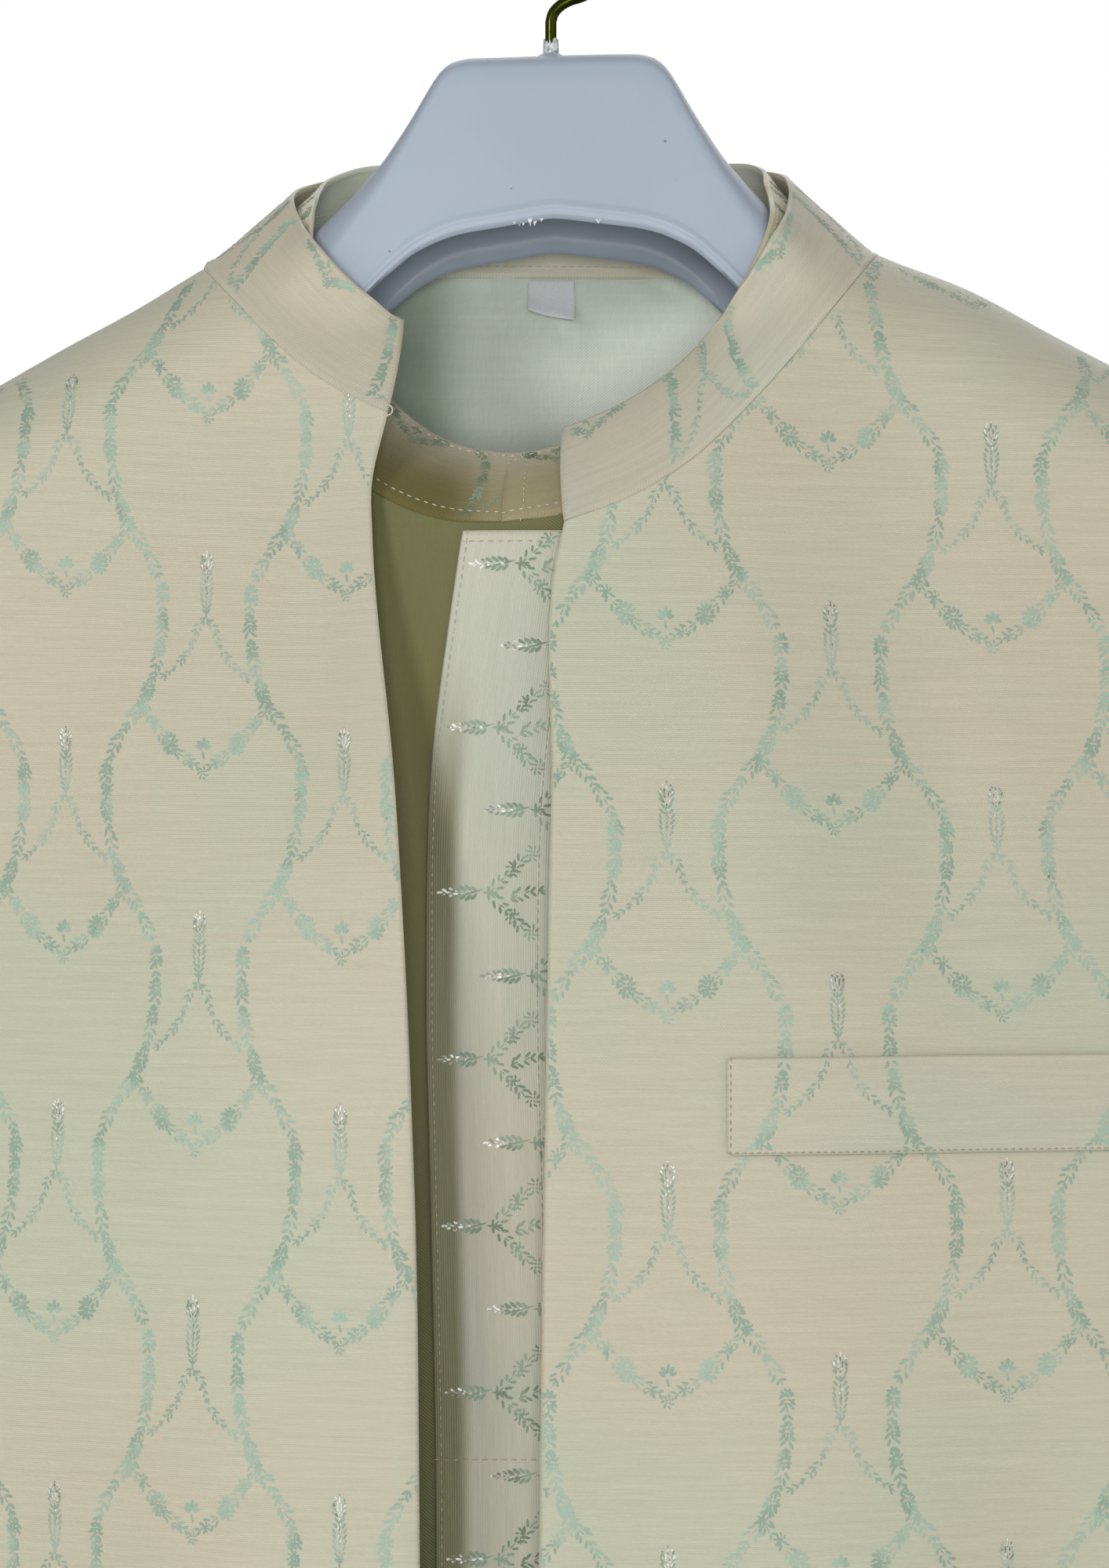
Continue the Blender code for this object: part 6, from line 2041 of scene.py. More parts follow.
    def swing(self, depth: float, edge_x: float) -> Callable[[Array, Array], Array]:
        """Returns how far forward a front swings, most at the chest and fading towards the side."""
        def forward(x: Array, z: Array) -> Array:
            reach = 1.0 - np.clip(np.abs(x - edge_x) / self.swing_reach, 0, 1)
            down = smooth((-0.150 - z) / 0.16)
            calm = 1.0 - 0.45 * smooth((-0.45 - z) / 0.35)
            return depth * reach**1.3 * down * calm

        return forward

    def dress(self, shop: Workshop, trellis: Trellis, band: Grid) -> None:
        """Builds the jacket's pieces with their woven figure and stitches.

        Args:
            shop: The trees, finishes and list of pieces.
            trellis: The figure.
            band: The kurta's collar, which the jacket's stands round.
        """
        layer = self.layer()
        cut = Cut(layer, self.hem_z, self.armpit_z, self.armhole, self.density)
        count, last = cut.neck_count(), len(self.density.across()) - 1
        fronts = {}
        for side, edge, neck, depth, edge_x, torch, squeeze in (
            (Side.LEFT, self.edge_left, self.neck_left, self.left_swing, 0.0, self.torch_left, 1.0),
            (Side.RIGHT, self.edge_right, self.neck_right, self.right_swing, self.right_edge_x,
             self.torch_right, self.squeeze_right),
        ):
            swing = self.swing(depth, edge_x)

            def depth_at(x: Array, z: Array, swing: Callable = swing) -> Array:
                return -layer.depth(x, z, Facing.FRONT) - swing(x, z)

            flat = Flat.of(depth_at, 0.26, self.hem_z - 0.002, -0.085, self.level_z)
            plan = cut.half(side, edge, neck)
            mirrored = side is Side.RIGHT
            plan = plan[:, ::-1] if mirrored else plan
            seams, sides = cut.seams(False, mirrored), [0] if mirrored else [-1]
            grid = cut.panel(plan, Facing.FRONT, seams, sides, flat, swing)
            fronts[side] = grid
            chart = PanelChart(grid, flat, depth_at, turned=False)
            name = f"front_{side.name.lower()}"
            origin = flat.at(np.array([torch.x]), np.array([torch.z]))[0]
            pieces = self.weave(shop, trellis, name, chart, grid, origin, squeeze)
            shop.sheet(grid.build(f"jacket_{name}_cloth", shop.finishes["jacket"]), grid, "jacket_cloth", Held.HUNG,
                       pieces, f"jacket_{name}")
        back = self.back(shop, trellis, cut, layer)
        centre = last
        chain = neck_chain((
            (fronts[Side.RIGHT], np.arange(last, last - count - 1, -1)),
            (back, np.arange(centre - count, centre + count + 1)),
            (fronts[Side.LEFT], np.arange(count, -1, -1)),
        ))
        self.collar(shop, trellis, chain, band)
        self.welt(shop, layer, trellis)

    def weave(self, shop: Workshop, trellis: Trellis, name: str, chart: Chart, grid: Grid,
              origin: Sequence[float], squeeze: float) -> list[bpy.types.Object]:
        """Weaves the trellis into a piece and returns the new pieces."""
        woven = trellis.woven(tuple(origin), squeeze, grid.reach())
        return shop.figures(f"jacket_{name}", chart, woven, "sprig", "jacket_cloth")

    def back(self, shop: Workshop, trellis: Trellis, cut: Cut, layer: Layer) -> Grid:
        """Builds the back and returns its grid."""
        def depth_at(x: Array, z: Array) -> Array:
            return layer.depth(x, z, Facing.BACK)

        flat = Flat.of(depth_at, 0.26, self.hem_z - 0.002, -0.085, self.level_z)
        middle = (Place(0.0, self.hem_z), Place(0.0, -0.5), Place(0.0, self.neck_back_z))
        halves = []
        for side, shoulder in ((Side.RIGHT, self.neck_right[-1]), (Side.LEFT, self.neck_left[-1])):
            neck = (middle[-1], Place(side.value * 0.050, self.neck_back_z - 0.0005), shoulder)
            halves.append(cut.half(side, middle, neck))
        plan = np.concatenate((halves[0][:, ::-1], halves[1][:, 1:]), axis=1)
        grid = cut.panel(plan, Facing.BACK, cut.seams(True), [0, -1], flat)
        chart = PanelChart(grid, flat, depth_at, turned=True)
        origin = flat.at(np.array([0.0]), np.array([self.torch_left.z]))[0]
        pieces = self.weave(shop, trellis, "back", chart, grid, origin, 1.0)
        shop.sheet(grid.build("jacket_back_cloth", shop.finishes["jacket"]), grid, "jacket_cloth", Held.HUNG,
                   pieces, "jacket_back")
        return grid

    def collar(self, shop: Workshop, trellis: Trellis, chain: Chain, band: Grid) -> None:
        """Builds the standing collar."""
        clearance = BAND_WALL / 2 + LAYER_GAP + SEAM + BAND_WALL + LAYER_GAP
        grid = Collar(self.leans, clearance, self.hanger, inner=band).build(chain)
        pieces = self.weave(shop, trellis, "collar", Chart(grid), grid, (0.072, 0.0305), 0.92)
        loop = self.thread_loop(shop, grid)
        shop.sheet(grid.build("jacket_collar_cloth", shop.finishes["collar"]), grid, "jacket_cloth", Held.HUNG,
                   pieces + [loop], "jacket_collar")

    def thread_loop(self, shop: Workshop, grid: Grid) -> bpy.types.Object:
        """Makes the small thread loop at the foot of the collar's right end."""
        foot = grid.mid[1, 0]
        turn = np.linspace(-0.2, math.pi + 0.2, 15)
        radius = 0.0014
        path = foot + np.stack((0.0002 + radius * np.sin(turn), np.full_like(turn, -0.0003),
                                radius * np.cos(turn)), axis=1)
        loop = self.hanger.tube("jacket_thread_loop", path, [0.00022] * len(path), 8, shop.finishes["thread"])
        return shop.keep(loop, "jacket_cloth")

    def welt(self, shop: Workshop, layer: Layer, trellis: Trellis) -> None:
        """Builds the chest welt with its stitched edges."""
        low, high = self.welt_inner_x, self.welt_inner_x + self.welt_width
        swing = self.swing(self.left_swing, 0.0)
        grid = strip_on(layer, lambda z: np.full_like(z, low), lambda z: np.full_like(z, high), self.welt_top_z,
                        self.welt_bottom_z, 60, 14, swing, crown=0.0003)
        origin = (self.torch_left.x - (low + high) / 2, self.torch_left.z - self.welt_top_z + 0.0005)
        pieces = self.weave(shop, trellis, "welt", Chart(grid), grid, origin, 1.0)
        every = slice(None)
        lines = [face_line(grid, 1, every), face_line(grid, every, 1), face_line(grid, every, -2)]
        seam = shop.sew("jacket_welt_stitches", lines, "seam", "jacket_cloth", 0.0019)
        shop.sheet(grid.build("jacket_welt_cloth", shop.finishes["welt"]), grid, "jacket_cloth", Held.HUNG,
                   pieces + [seam], "jacket_pocket_welt")


@dataclass
class Kurta:
    """The long-sleeved kurta: front, back, two sleeves, band collar, placket and size tab."""

    hem_z: float = KURTA_HEM_Z
    armpit_z: float = -0.395
    neck_back_z: float = -0.1152
    placket_top_z: float = -0.1942
    placket_end_z: float = -0.490
    placket_width: float = 0.033
    box_stitch_z: float = -0.4385
    level_z: float = -0.42
    density: Density = Density(neck=40, shoulder=28, side=100, armhole=44, turn=14)
    depths: tuple[Level, ...] = (
        Level(KURTA_HEM_Z, 0.072), Level(-0.80, 0.058), Level(-0.42, 0.056), Level(-0.10, 0.050),
    )
    half_widths: tuple[Level, ...] = (
        Level(KURTA_HEM_Z, 0.2720), Level(-0.86, 0.2490), Level(-0.80, 0.2440), Level(-0.395, 0.2345),
        Level(-0.10, 0.2345),
    )
    folds: tuple[Fold, ...] = (
        Fold(-0.205, -0.225, 0.022, 0.0050, -0.50, -1.00),
        Fold(-0.150, -0.165, 0.026, -0.0070, -0.50, -0.98),
        Fold(-0.090, -0.100, 0.028, 0.0070, -0.55, -1.02),
        Fold(-0.035, -0.040, 0.026, -0.0060, -0.60, -1.05),
        Fold(0.030, 0.025, 0.028, 0.0070, -0.55, -1.00),
        Fold(0.085, 0.090, 0.026, -0.0060, -0.58, -1.04),
        Fold(0.140, 0.155, 0.028, 0.0070, -0.52, -0.98),
        Fold(0.195, 0.215, 0.022, -0.0050, -0.50, -1.00),
    )
    front_creases: tuple[Crease, ...] = (
        Crease(-0.040, -0.190, -0.034, -0.300, 0.008, -0.0016),
        Crease(-0.046, -0.205, -0.038, -0.420, 0.010, 0.0012),
        Crease(0.110, -0.820, 0.120, -1.120, 0.020, -0.0030),
        Crease(-0.060, -0.840, -0.070, -1.125, 0.018, 0.0030),
        Crease(0.010, -0.900, 0.000, -1.120, 0.016, 0.0024),
    )
    back_creases: tuple[Crease, ...] = (
        Crease(-0.0215, -0.1145, -0.0180, -0.1290, 0.0026, 0.0011),
        Crease(-0.0150, -0.1142, -0.0125, -0.1240, 0.0022, -0.0020),
        Crease(-0.0330, -0.1145, -0.0310, -0.1270, 0.0030, 0.0008),
        Crease(-0.0020, -0.1235, 0.0125, -0.1360, 0.0030, -0.0028),
        Crease(0.0180, -0.1150, 0.0350, -0.1275, 0.0036, 0.0013),
        Crease(0.0280, -0.1145, 0.0400, -0.1215, 0.0028, -0.0024),
        Crease(-0.0480, -0.1230, -0.0380, -0.1750, 0.0100, -0.0036),
        Crease(0.0000, -0.1400, 0.0150, -0.2000, 0.0140, 0.0018),
        Crease(-0.090, -0.860, -0.098, -1.120, 0.020, -0.0034),
        Crease(0.075, -0.840, 0.086, -1.125, 0.022, 0.0034),
        Crease(0.160, -0.900, 0.172, -1.130, 0.018, -0.0030),
    )
    armhole: tuple[Place, ...] = (
        Place(0.2345, 1.0), Place(0.2240, 0.93), Place(0.2130, 0.80), Place(0.2060, 0.60), Place(0.2045, 0.40),
        Place(0.2080, 0.18), Place(0.2150, 0.0),
    )
    neck_left: tuple[Place, ...] = (
        Place(-0.0125, -0.1915), Place(0.0046, -0.1889), Place(0.0300, -0.1790), Place(0.0550, -0.1600),
        Place(0.0720, -0.1385), Place(0.0840, -0.1150),
    )
    neck_right: tuple[Place, ...] = (
        Place(-0.0125, -0.1915), Place(-0.0281, -0.1908), Place(-0.0481, -0.1826), Place(-0.0650, -0.1680),
        Place(-0.0790, -0.1450), Place(-0.0890, -0.1180),
    )
    middle: tuple[Place, ...] = (
        Place(-0.0120, KURTA_HEM_Z), Place(-0.0135, -0.4700), Place(-0.0162, -0.3130), Place(-0.0146, -0.2610),
        Place(-0.0100, -0.2193), Place(-0.0125, -0.1915),
    )
    placket_middle: tuple[Place, ...] = (
        Place(-0.0132, -0.4900), Place(-0.0136, -0.4284), Place(-0.0150, -0.3700), Place(-0.0162, -0.3130),
        Place(-0.0148, -0.2610), Place(-0.0100, -0.2193), Place(-0.0066, -0.1950),
    )
    leans: tuple[Lean, ...] = (
        Lean(0.0, 0.000, 0.0250, 0.0190), Lean(0.14, 0.007, 0.0225, 0.0210), Lean(0.30, 0.0175, 0.0150, 0.0215),
        Lean(0.42, 0.0230, 0.0070, 0.0210), Lean(0.50, 0.0240, 0.0010, 0.0215), Lean(0.62, 0.0180, -0.0010, 0.0262),
        Lean(0.75, 0.0090, 0.0, 0.0305), Lean(1.0, 0.000, 0.0, 0.0316),
    )
    sleeve_cuts: tuple[SleeveCut, ...] = (
        SleeveCut(0.2330, -0.1895, 0.2415, -0.4100, 0.042), SleeveCut(0.2560, -0.2180, 0.2490, -0.4280, 0.047),
        SleeveCut(0.2830, -0.2720, 0.2545, -0.4500, 0.051), SleeveCut(0.3080, -0.3480, 0.2575, -0.4800, 0.052),
        SleeveCut(0.3260, -0.4350, 0.2590, -0.5200, 0.050), SleeveCut(0.3370, -0.5300, 0.2600, -0.5700, 0.046),
        SleeveCut(0.3420, -0.6350, 0.2610, -0.6500, 0.041), SleeveCut(0.3400, -0.7650, 0.2620, -0.7650, 0.035),
    )

    def layer(self) -> Layer:
        """Returns the kurta's layer."""
        under = JACKET_WALL + SHOULDER_GAP + KURTA_WALL / 2
        return Layer(KURTA_WALL, under, NECK_GAP - SHOULDER_GAP, 0.0285, self.depths, self.half_widths, self.folds,
                     {Facing.FRONT: self.front_creases, Facing.BACK: self.back_creases})

    def dress(self, shop: Workshop, hanger: Hanger) -> Grid:
        """Builds the kurta's pieces and returns its collar."""
        layer = self.layer()
        cut = Cut(layer, self.hem_z, self.armpit_z, self.armhole, self.density)
        panels = {facing: self.panel(cut, layer, facing) for facing in Facing}
        for facing, grid in panels.items():
            name = facing.name.lower()
            lines = [face_line(grid, 4, slice(None))]
            seam = shop.sew(f"kurta_{name}_hem_stitches", lines, "twill_thread", "kurta_twill", 0.0030)
            pieces = [seam]
            shop.sheet(grid.build(f"kurta_{name}_cloth", shop.finishes["twill"]), grid, "kurta_twill", Held.HUNG,
                       pieces, f"kurta_{name}")
        count, centre = cut.neck_count(), len(self.density.across()) - 1
        chain = neck_chain((
            (panels[Facing.FRONT], np.arange(centre, centre - count - 1, -1)),
            (panels[Facing.BACK], np.arange(centre - count, centre + count + 1)),
            (panels[Facing.FRONT], np.arange(centre + count, centre - 1, -1)),
        ))
        band = self.collar(shop, chain, hanger, count)
        self.placket(shop, layer)
        for side in Side:
            self.sleeve(shop, panels, side, cut)
        self.size_tab(shop, layer)
        return band

    def panel(self, cut: Cut, layer: Layer, facing: Facing) -> Grid:
        """Returns the front or the back."""
        front = facing is Facing.FRONT
        level = (Place(0.0, self.hem_z), Place(0.0, -0.5), Place(0.0, self.neck_back_z))
        halves = []
        for side, neck_line in ((Side.RIGHT, self.neck_right), (Side.LEFT, self.neck_left)):
            back_neck = (level[-1], Place(side.value * 0.048, self.neck_back_z - 0.0004), neck_line[-1])
            halves.append(cut.half(side, self.middle if front else level, neck_line if front else back_neck))
        plan = np.concatenate((halves[0][:, ::-1], halves[1][:, 1:]), axis=1)

        def depth_at(x: Array, z: Array) -> Array:
            return facing.value * layer.depth(x, z, facing)

        flat = Flat.of(depth_at, 0.28, self.hem_z - 0.002, -0.085, self.level_z)
        return cut.panel(plan, facing, cut.seams(True), [0, -1], flat)

    def collar(self, shop: Workshop, chain: Chain, hanger: Hanger, count: int) -> Grid:
        """Builds the band collar, whose left end lies over its right end."""
        lap = count // 4
        edge, out, normal = (np.concatenate((values[-lap - 1:-1], values)) for values in chain)
        tuck = (BAND_WALL + 2 * SEAM) * np.interp(np.arange(len(edge)), (0, lap, 1.75 * lap), (1.0, 1.0, 0.0))
        tucked = Chain(edge - normal * tuck[:, None], out, normal)
        clearance = BAND_WALL / 2 + LAYER_GAP + SEAM
        grid = Collar(self.leans, clearance, hanger, end_radius=0.0045).build(tucked)
        woven = Trellis(scale=0.80).woven((0.036, 0.027), 1.0, grid.reach())
        pieces = shop.figures("kurta_collar", Chart(grid), woven, "dark_sprig", "kurta_trim")
        every = slice(None)
        top, foot, mid_row = len(grid.mid) - 3, 2, len(grid.mid) // 2
        lines = [face_line(grid, top, every), face_line(grid, foot, every), face_line(grid, every, -3),
                 face_line(grid, mid_row, every, -1.0), face_line(grid, foot, every, -1.0)]
        pieces.append(shop.sew("kurta_collar_stitches", lines, "thread", "kurta_trim"))
        shop.sheet(grid.build("kurta_collar_cloth", shop.finishes["trim"]), grid, "kurta_trim", Held.HUNG,
                   pieces, "kurta_collar")
        return grid

    def placket(self, shop: Workshop, layer: Layer) -> None:
        """Builds the front placket with its figure and rows of stitches."""
        half = self.placket_width / 2
        grid = strip_on(layer, lambda z: x_at(self.placket_middle, z) - half,
                        lambda z: x_at(self.placket_middle, z) + half, self.placket_top_z, self.placket_end_z,
                        26, 120, crown=0.0005)
        border = Border()
        woven = {
            kind: border.cover(border.draw(kind == "flames"), -0.0140, -0.0085, 14) for kind in ("sprigs", "flames")
        }
        pieces = shop.figures("kurta_placket", Chart(grid), woven, "dark_sprig", "kurta_trim")
        every = slice(None)
        box = int(np.argmin(np.abs(grid.mid[:, 0, 2] - self.box_stitch_z)))
        second = int(np.argmin(np.abs(grid.mid[:, 0, 2] - self.box_stitch_z + 0.030)))
        lines = [face_line(grid, every, 2), face_line(grid, every, -5), face_line(grid, -3, every),
                 face_line(grid, box, every), face_line(grid, second, every), face_line(grid, 2, every)]
        pieces.append(shop.sew("kurta_placket_stitches", lines, "rose_thread", "kurta_trim"))
        shop.sheet(grid.build("kurta_placket_cloth", shop.finishes["placket"]), grid, "kurta_trim", Held.HUNG,
                   pieces, "kurta_placket")

    def sleeve(self, shop: Workshop, panels: dict[Facing, Grid], side: Side, cut: Cut) -> None:
        """Builds a sleeve, which starts on the armhole's edges and hangs down to its cuff."""
        column, inside = (-1, -2) if side is Side.LEFT else (0, 1)
        armpit_row = cut.rows()[1]
        parts = []
        for grid in (panels[Facing.FRONT], panels[Facing.BACK]):
            edge = grid.mid[armpit_row:, column]
            parts.append((edge, grid.mid[armpit_row:, inside] - edge, grid.normal[armpit_row:, column]))
        ring = []
        for ahead, behind in zip(*parts):
            top, low = (ahead[-1:] + behind[-1:]) / 2, (ahead[:1] + behind[:1]) / 2
            ring.append(np.concatenate((top, ahead[::-1][1:-1], low, behind[1:-1])))
        edge, into, normal = ring
        half = len(edge) // 2
        into[half] = (0.0, 0.0, -1.0)
        normal = unit(normal)
        out = way_out(edge, into, normal, ring=True)
        way = lengths(edge[: half + 1])
        down = math.pi * way / way[-1]
        angle = np.concatenate((down, 2 * math.pi - down[-2:0:-1]))
        mids = [edge + 2 * SEAM * out, edge + 0.004 * out + 0.0015 * normal]
        for row in self.sleeve_cuts:
            x = (row.outer_x + row.inner_x) / 2 + (row.outer_x - row.inner_x) / 2 * np.cos(angle)
            z = (row.outer_z + row.inner_z) / 2 + (row.outer_z - row.inner_z) / 2 * np.cos(angle)
            mids.append(np.stack((side.value * x, -row.depth * np.sin(angle), z), axis=-1))
        coarse = np.stack(mids)
        levels = np.arange(len(coarse), dtype=float)
        fine = np.concatenate((np.linspace(0, 1, 5)[:-1], np.linspace(1, levels[-1], 64)))
        fine = np.sort(np.concatenate((fine, [levels[-1] - 0.006])))
        flat_rows = coarse.reshape(len(coarse), -1)
        mid = np.stack([along(levels, flat_rows[:, k], fine) for k in range(flat_rows.shape[1])], axis=1)
        mid = mid.reshape(len(fine), -1, 3)
        mid = self.sleeve_creases(mid, angle, fine / levels[-1], side)
        stand = grid_normals(mid, ring=True)
        middle = mid.mean(axis=1, keepdims=True)
        stand *= np.where(((mid - middle) * stand)[6:].sum() < 0, -1.0, 1.0)
        stand[0] = normal
        closed = np.concatenate((mid, mid[:, :1]), axis=1)
        across = np.cumsum(np.linalg.norm(np.diff(closed, axis=1, prepend=closed[:, :1]), axis=2), axis=1)
        up = -np.cumsum(np.linalg.norm(np.diff(closed, axis=0, prepend=closed[:1]), axis=2), axis=0)
        grid = Grid(mid, stand, KURTA_WALL, np.stack((across, up), axis=-1), ring=True)
        name = f"kurta_sleeve_{side.name.lower()}"
        cuff = np.concatenate((grid.face(1, THREAD_RADIUS * 0.5)[-5], grid.face(1, THREAD_RADIUS * 0.5)[-5, :1]))
        seam = shop.sew(f"{name}_stitches", [cuff], "twill_thread", "kurta_twill", 0.0030)
        shop.sheet(grid.build(f"{name}_cloth", shop.finishes["twill"]), grid, "kurta_twill", Held.HUNG,
                   [seam], name)

    @staticmethod
    def sleeve_creases(mid: Array, angle: Array, share: Array, side: Side) -> Array:
        """Presses slanting creases into a sleeve, a little unlike on each side."""
        middle = mid.mean(axis=1, keepdims=True)
        out = unit(mid - middle)
        slant = 0.22 if side is Side.LEFT else 0.25
        total = np.zeros(mid.shape[:2])
        for start, turn, width, depth in (
            (0.30, 0.4, 0.030, -0.0030), (0.42, 2.3, 0.035, -0.0036), (0.50, 4.3, 0.032, -0.0030),
            (0.58, 1.2, 0.040, 0.0030), (0.66, 5.3, 0.036, -0.0028), (0.80, 3.0, 0.050, -0.0020),
        ):
            off = np.angle(np.exp(1j * (angle[None] - turn)))
            line = share[:, None] - start - slant * off / math.pi * 0.5
            total += depth * np.exp(-(line / width) ** 2) * np.exp(-((off / 1.1) ** 2))
        fade = smooth((share - 0.14) / 0.10) * smooth((0.985 - share) / 0.08)
        return mid + out * (total * fade[:, None])[..., None]

    def size_tab(self, shop: Workshop, layer: Layer) -> None:
        """Builds the bare size tab, its lower right corner curled forward."""
        across = np.linspace(0.0, 1.0, 17)
        up = np.linspace(0.0, 1.0, 15)
        top_z = self.neck_back_z - 0.0008
        share_x, share_up = np.meshgrid(across, up)
        x = -0.0064 + 0.0130 * share_x
        drop = 0.0106 + 0.0006 * share_x - 0.0022 * (1 - share_x) ** 2
        z = top_z - drop * (1.0 - share_up)
        thickness = 0.0006
        depth = layer.depth(x, z, Facing.BACK) - layer.wall / 2 - 2 * SEAM - thickness / 2
        curl = 0.0016 * smooth((1 - share_x - 0.35) / 0.65) * smooth((1 - share_up - 0.45) / 0.55)
        y = depth - 0.0013 * (1 - share_up) ** 1.5 - curl - 0.0012
        mid = np.stack((x, y, z), axis=-1)
        normal = grid_normals(mid)
        normal *= np.where(normal[..., 1:2].mean() > 0, -1.0, 1.0)
        grid = Grid(mid, normal, thickness, np.stack((x, z - top_z), axis=-1))
        shop.sheet(grid.build("kurta_tab_cloth", shop.finishes["tab"]), grid, "size_tab", Held.HUNG,
                   [], "kurta_size_tab")


@dataclass
class Pajama:
    """The pajama, folded over the hanger's bar: two folded legs and the waistband behind."""

    hanger: Hanger
    half_width: float = 0.135
    drop: float = 0.480
    back_rise: float = 0.022
    bulk: float = 0.006
    band_drop: float = 0.040
    edge_round: float = 0.003

    def section(self, half_width: float, bulk: float, layers: int) -> Array:
        """Returns the outline of folded cloth across its width, with a round edge for each layer."""
        step = bulk / layers
        right = []
        for layer in range(layers):
            base = -bulk / 2 + layer * step
            for angle in np.radians(np.linspace(-64.0, 64.0, 9)):
                across = half_width - self.edge_round + self.edge_round * math.cos(angle)
                right.append((across, base + step / 2 * (1 + math.sin(angle) * 1.1)))
        places = np.linspace(half_width - self.edge_round, -half_width + self.edge_round, 33)[1:-1]
        top = [(x, bulk / 2) for x in places]
        left = [(-x, n) for x, n in right[::-1]]
        low = [(x, -bulk / 2) for x in places[::-1]]
        return np.array(right + top + left + low)

    def fold(self, name: str, radius: float, half_width: float, bulk: float, front: float, back: float,
             layers: int, material: bpy.types.Material) -> bpy.types.Object:
        """Makes folded cloth over the bar, one rounded solid that is layered at its side edges."""
        line = radius + bulk / 2
        angles = np.linspace(0.0, math.pi, 25)
        lead, tail = np.linspace(-front, 0.0, 30)[:-1], np.linspace(0.0, -back, 30)[1:]
        places = np.concatenate((
            np.stack((np.full_like(lead, -line), lead), axis=1),
            np.stack((-line * np.cos(angles), line * np.sin(angles)), axis=1),
            np.stack((np.full_like(tail, line), tail), axis=1),
        ))
        ways = np.concatenate((
            np.tile((-1.0, 0.0), (len(lead), 1)), np.stack((-np.cos(angles), np.sin(angles)), axis=1),
            np.tile((1.0, 0.0), (len(tail), 1)),
        ))
        return self.loft(name, places, ways, self.section(half_width, bulk, layers), material)

    def loft(self, name: str, places: Array, ways: Array, section: Array,
             material: bpy.types.Material) -> bpy.types.Object:
        """Runs a section along places in the side view."""
        x0, z0 = self.hanger.middle_x, self.hanger.bar_z
        points = np.stack([
            np.stack((x0 + section[:, 0], y + section[:, 1] * ny, z0 + z + section[:, 1] * nz), axis=1)
            for (y, z), (ny, nz) in zip(places, ways)
        ])
        rows, sides = points.shape[:2]
        i, j = np.meshgrid(np.arange(rows - 1), np.arange(sides), indexing="ij")
        i, j = i.ravel(), j.ravel()
        a, b = i * sides + j, i * sides + (j + 1) % sides
        faces = np.stack((a, b, b + sides, a + sides), axis=1)
        way, round_it = lengths(np.asarray(places)), lengths(np.concatenate((section, section[:1])))
        maps = np.stack((
            np.stack((round_it[j], way[i]), axis=1), np.stack((round_it[j + 1], way[i]), axis=1),
            np.stack((round_it[j + 1], way[i + 1]), axis=1), np.stack((round_it[j], way[i + 1]), axis=1),
        ), axis=1)
        flat = points.reshape(-1, 3)
        p, q, r, s = (flat[faces[:, k]] for k in range(4))
        middle = points.mean(axis=1)[i]
        if (np.cross(r - p, s - q) * (p - middle)).sum() < 0:
            faces, maps = faces[:, ::-1], maps[:, ::-1]
        obj = make_mesh(name, flat, faces, material, maps)
        return self.capped(obj)

    @staticmethod
    def capped(obj: bpy.types.Object) -> bpy.types.Object:
        """Closes the open ends of a lofted piece."""
        import bmesh

        build = bmesh.new()
        build.from_mesh(obj.data)
        bmesh.ops.holes_fill(build, edges=[edge for edge in build.edges if edge.is_boundary], sides=0)
        bmesh.ops.recalc_face_normals(build, faces=build.faces)
        build.to_mesh(obj.data)
        build.free()
        return obj

    def dress(self, shop: Workshop) -> None:
        """Builds the two legs and the waistband."""
        inner = self.hanger.bar_radius + 2 * SEAM
        cloth = shop.finishes["pajama"]
        back = self.drop - self.back_rise
        for name, radius, narrower, front in (
            ("right", inner, 0.004, self.drop - 0.006), ("left", inner + self.bulk + 2 * SEAM, 0.0, self.drop),
        ):
            leg = self.fold(f"pajama_leg_{name}_cloth", radius, self.half_width - narrower, self.bulk, front, back, 2,
                            cloth)
            shop.keep(leg, "pajama_cloth")
            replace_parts(leg, f"pajama_leg_{name}")
            path = front + back + math.pi * (radius + self.bulk / 2)
            2 * (self.half_width - narrower)
        bulk = 2 * self.bulk + 0.004
        drops = np.linspace(0.0, -self.band_drop, 12)
        places = np.stack((np.full_like(drops, inner + self.bulk + SEAM), -back - SEAM + drops), axis=1)
        ways = np.tile((1.0, 0.0), (len(drops), 1))
        section = self.section(self.half_width + 0.002, bulk, 4)
        band = self.loft("pajama_waistband_cloth", places, ways, section, cloth)
        shop.keep(band, "pajama_cloth")
        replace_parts(band, "pajama_waistband")
        2 * self.half_width + 0.004
        self.band_drop + bulk


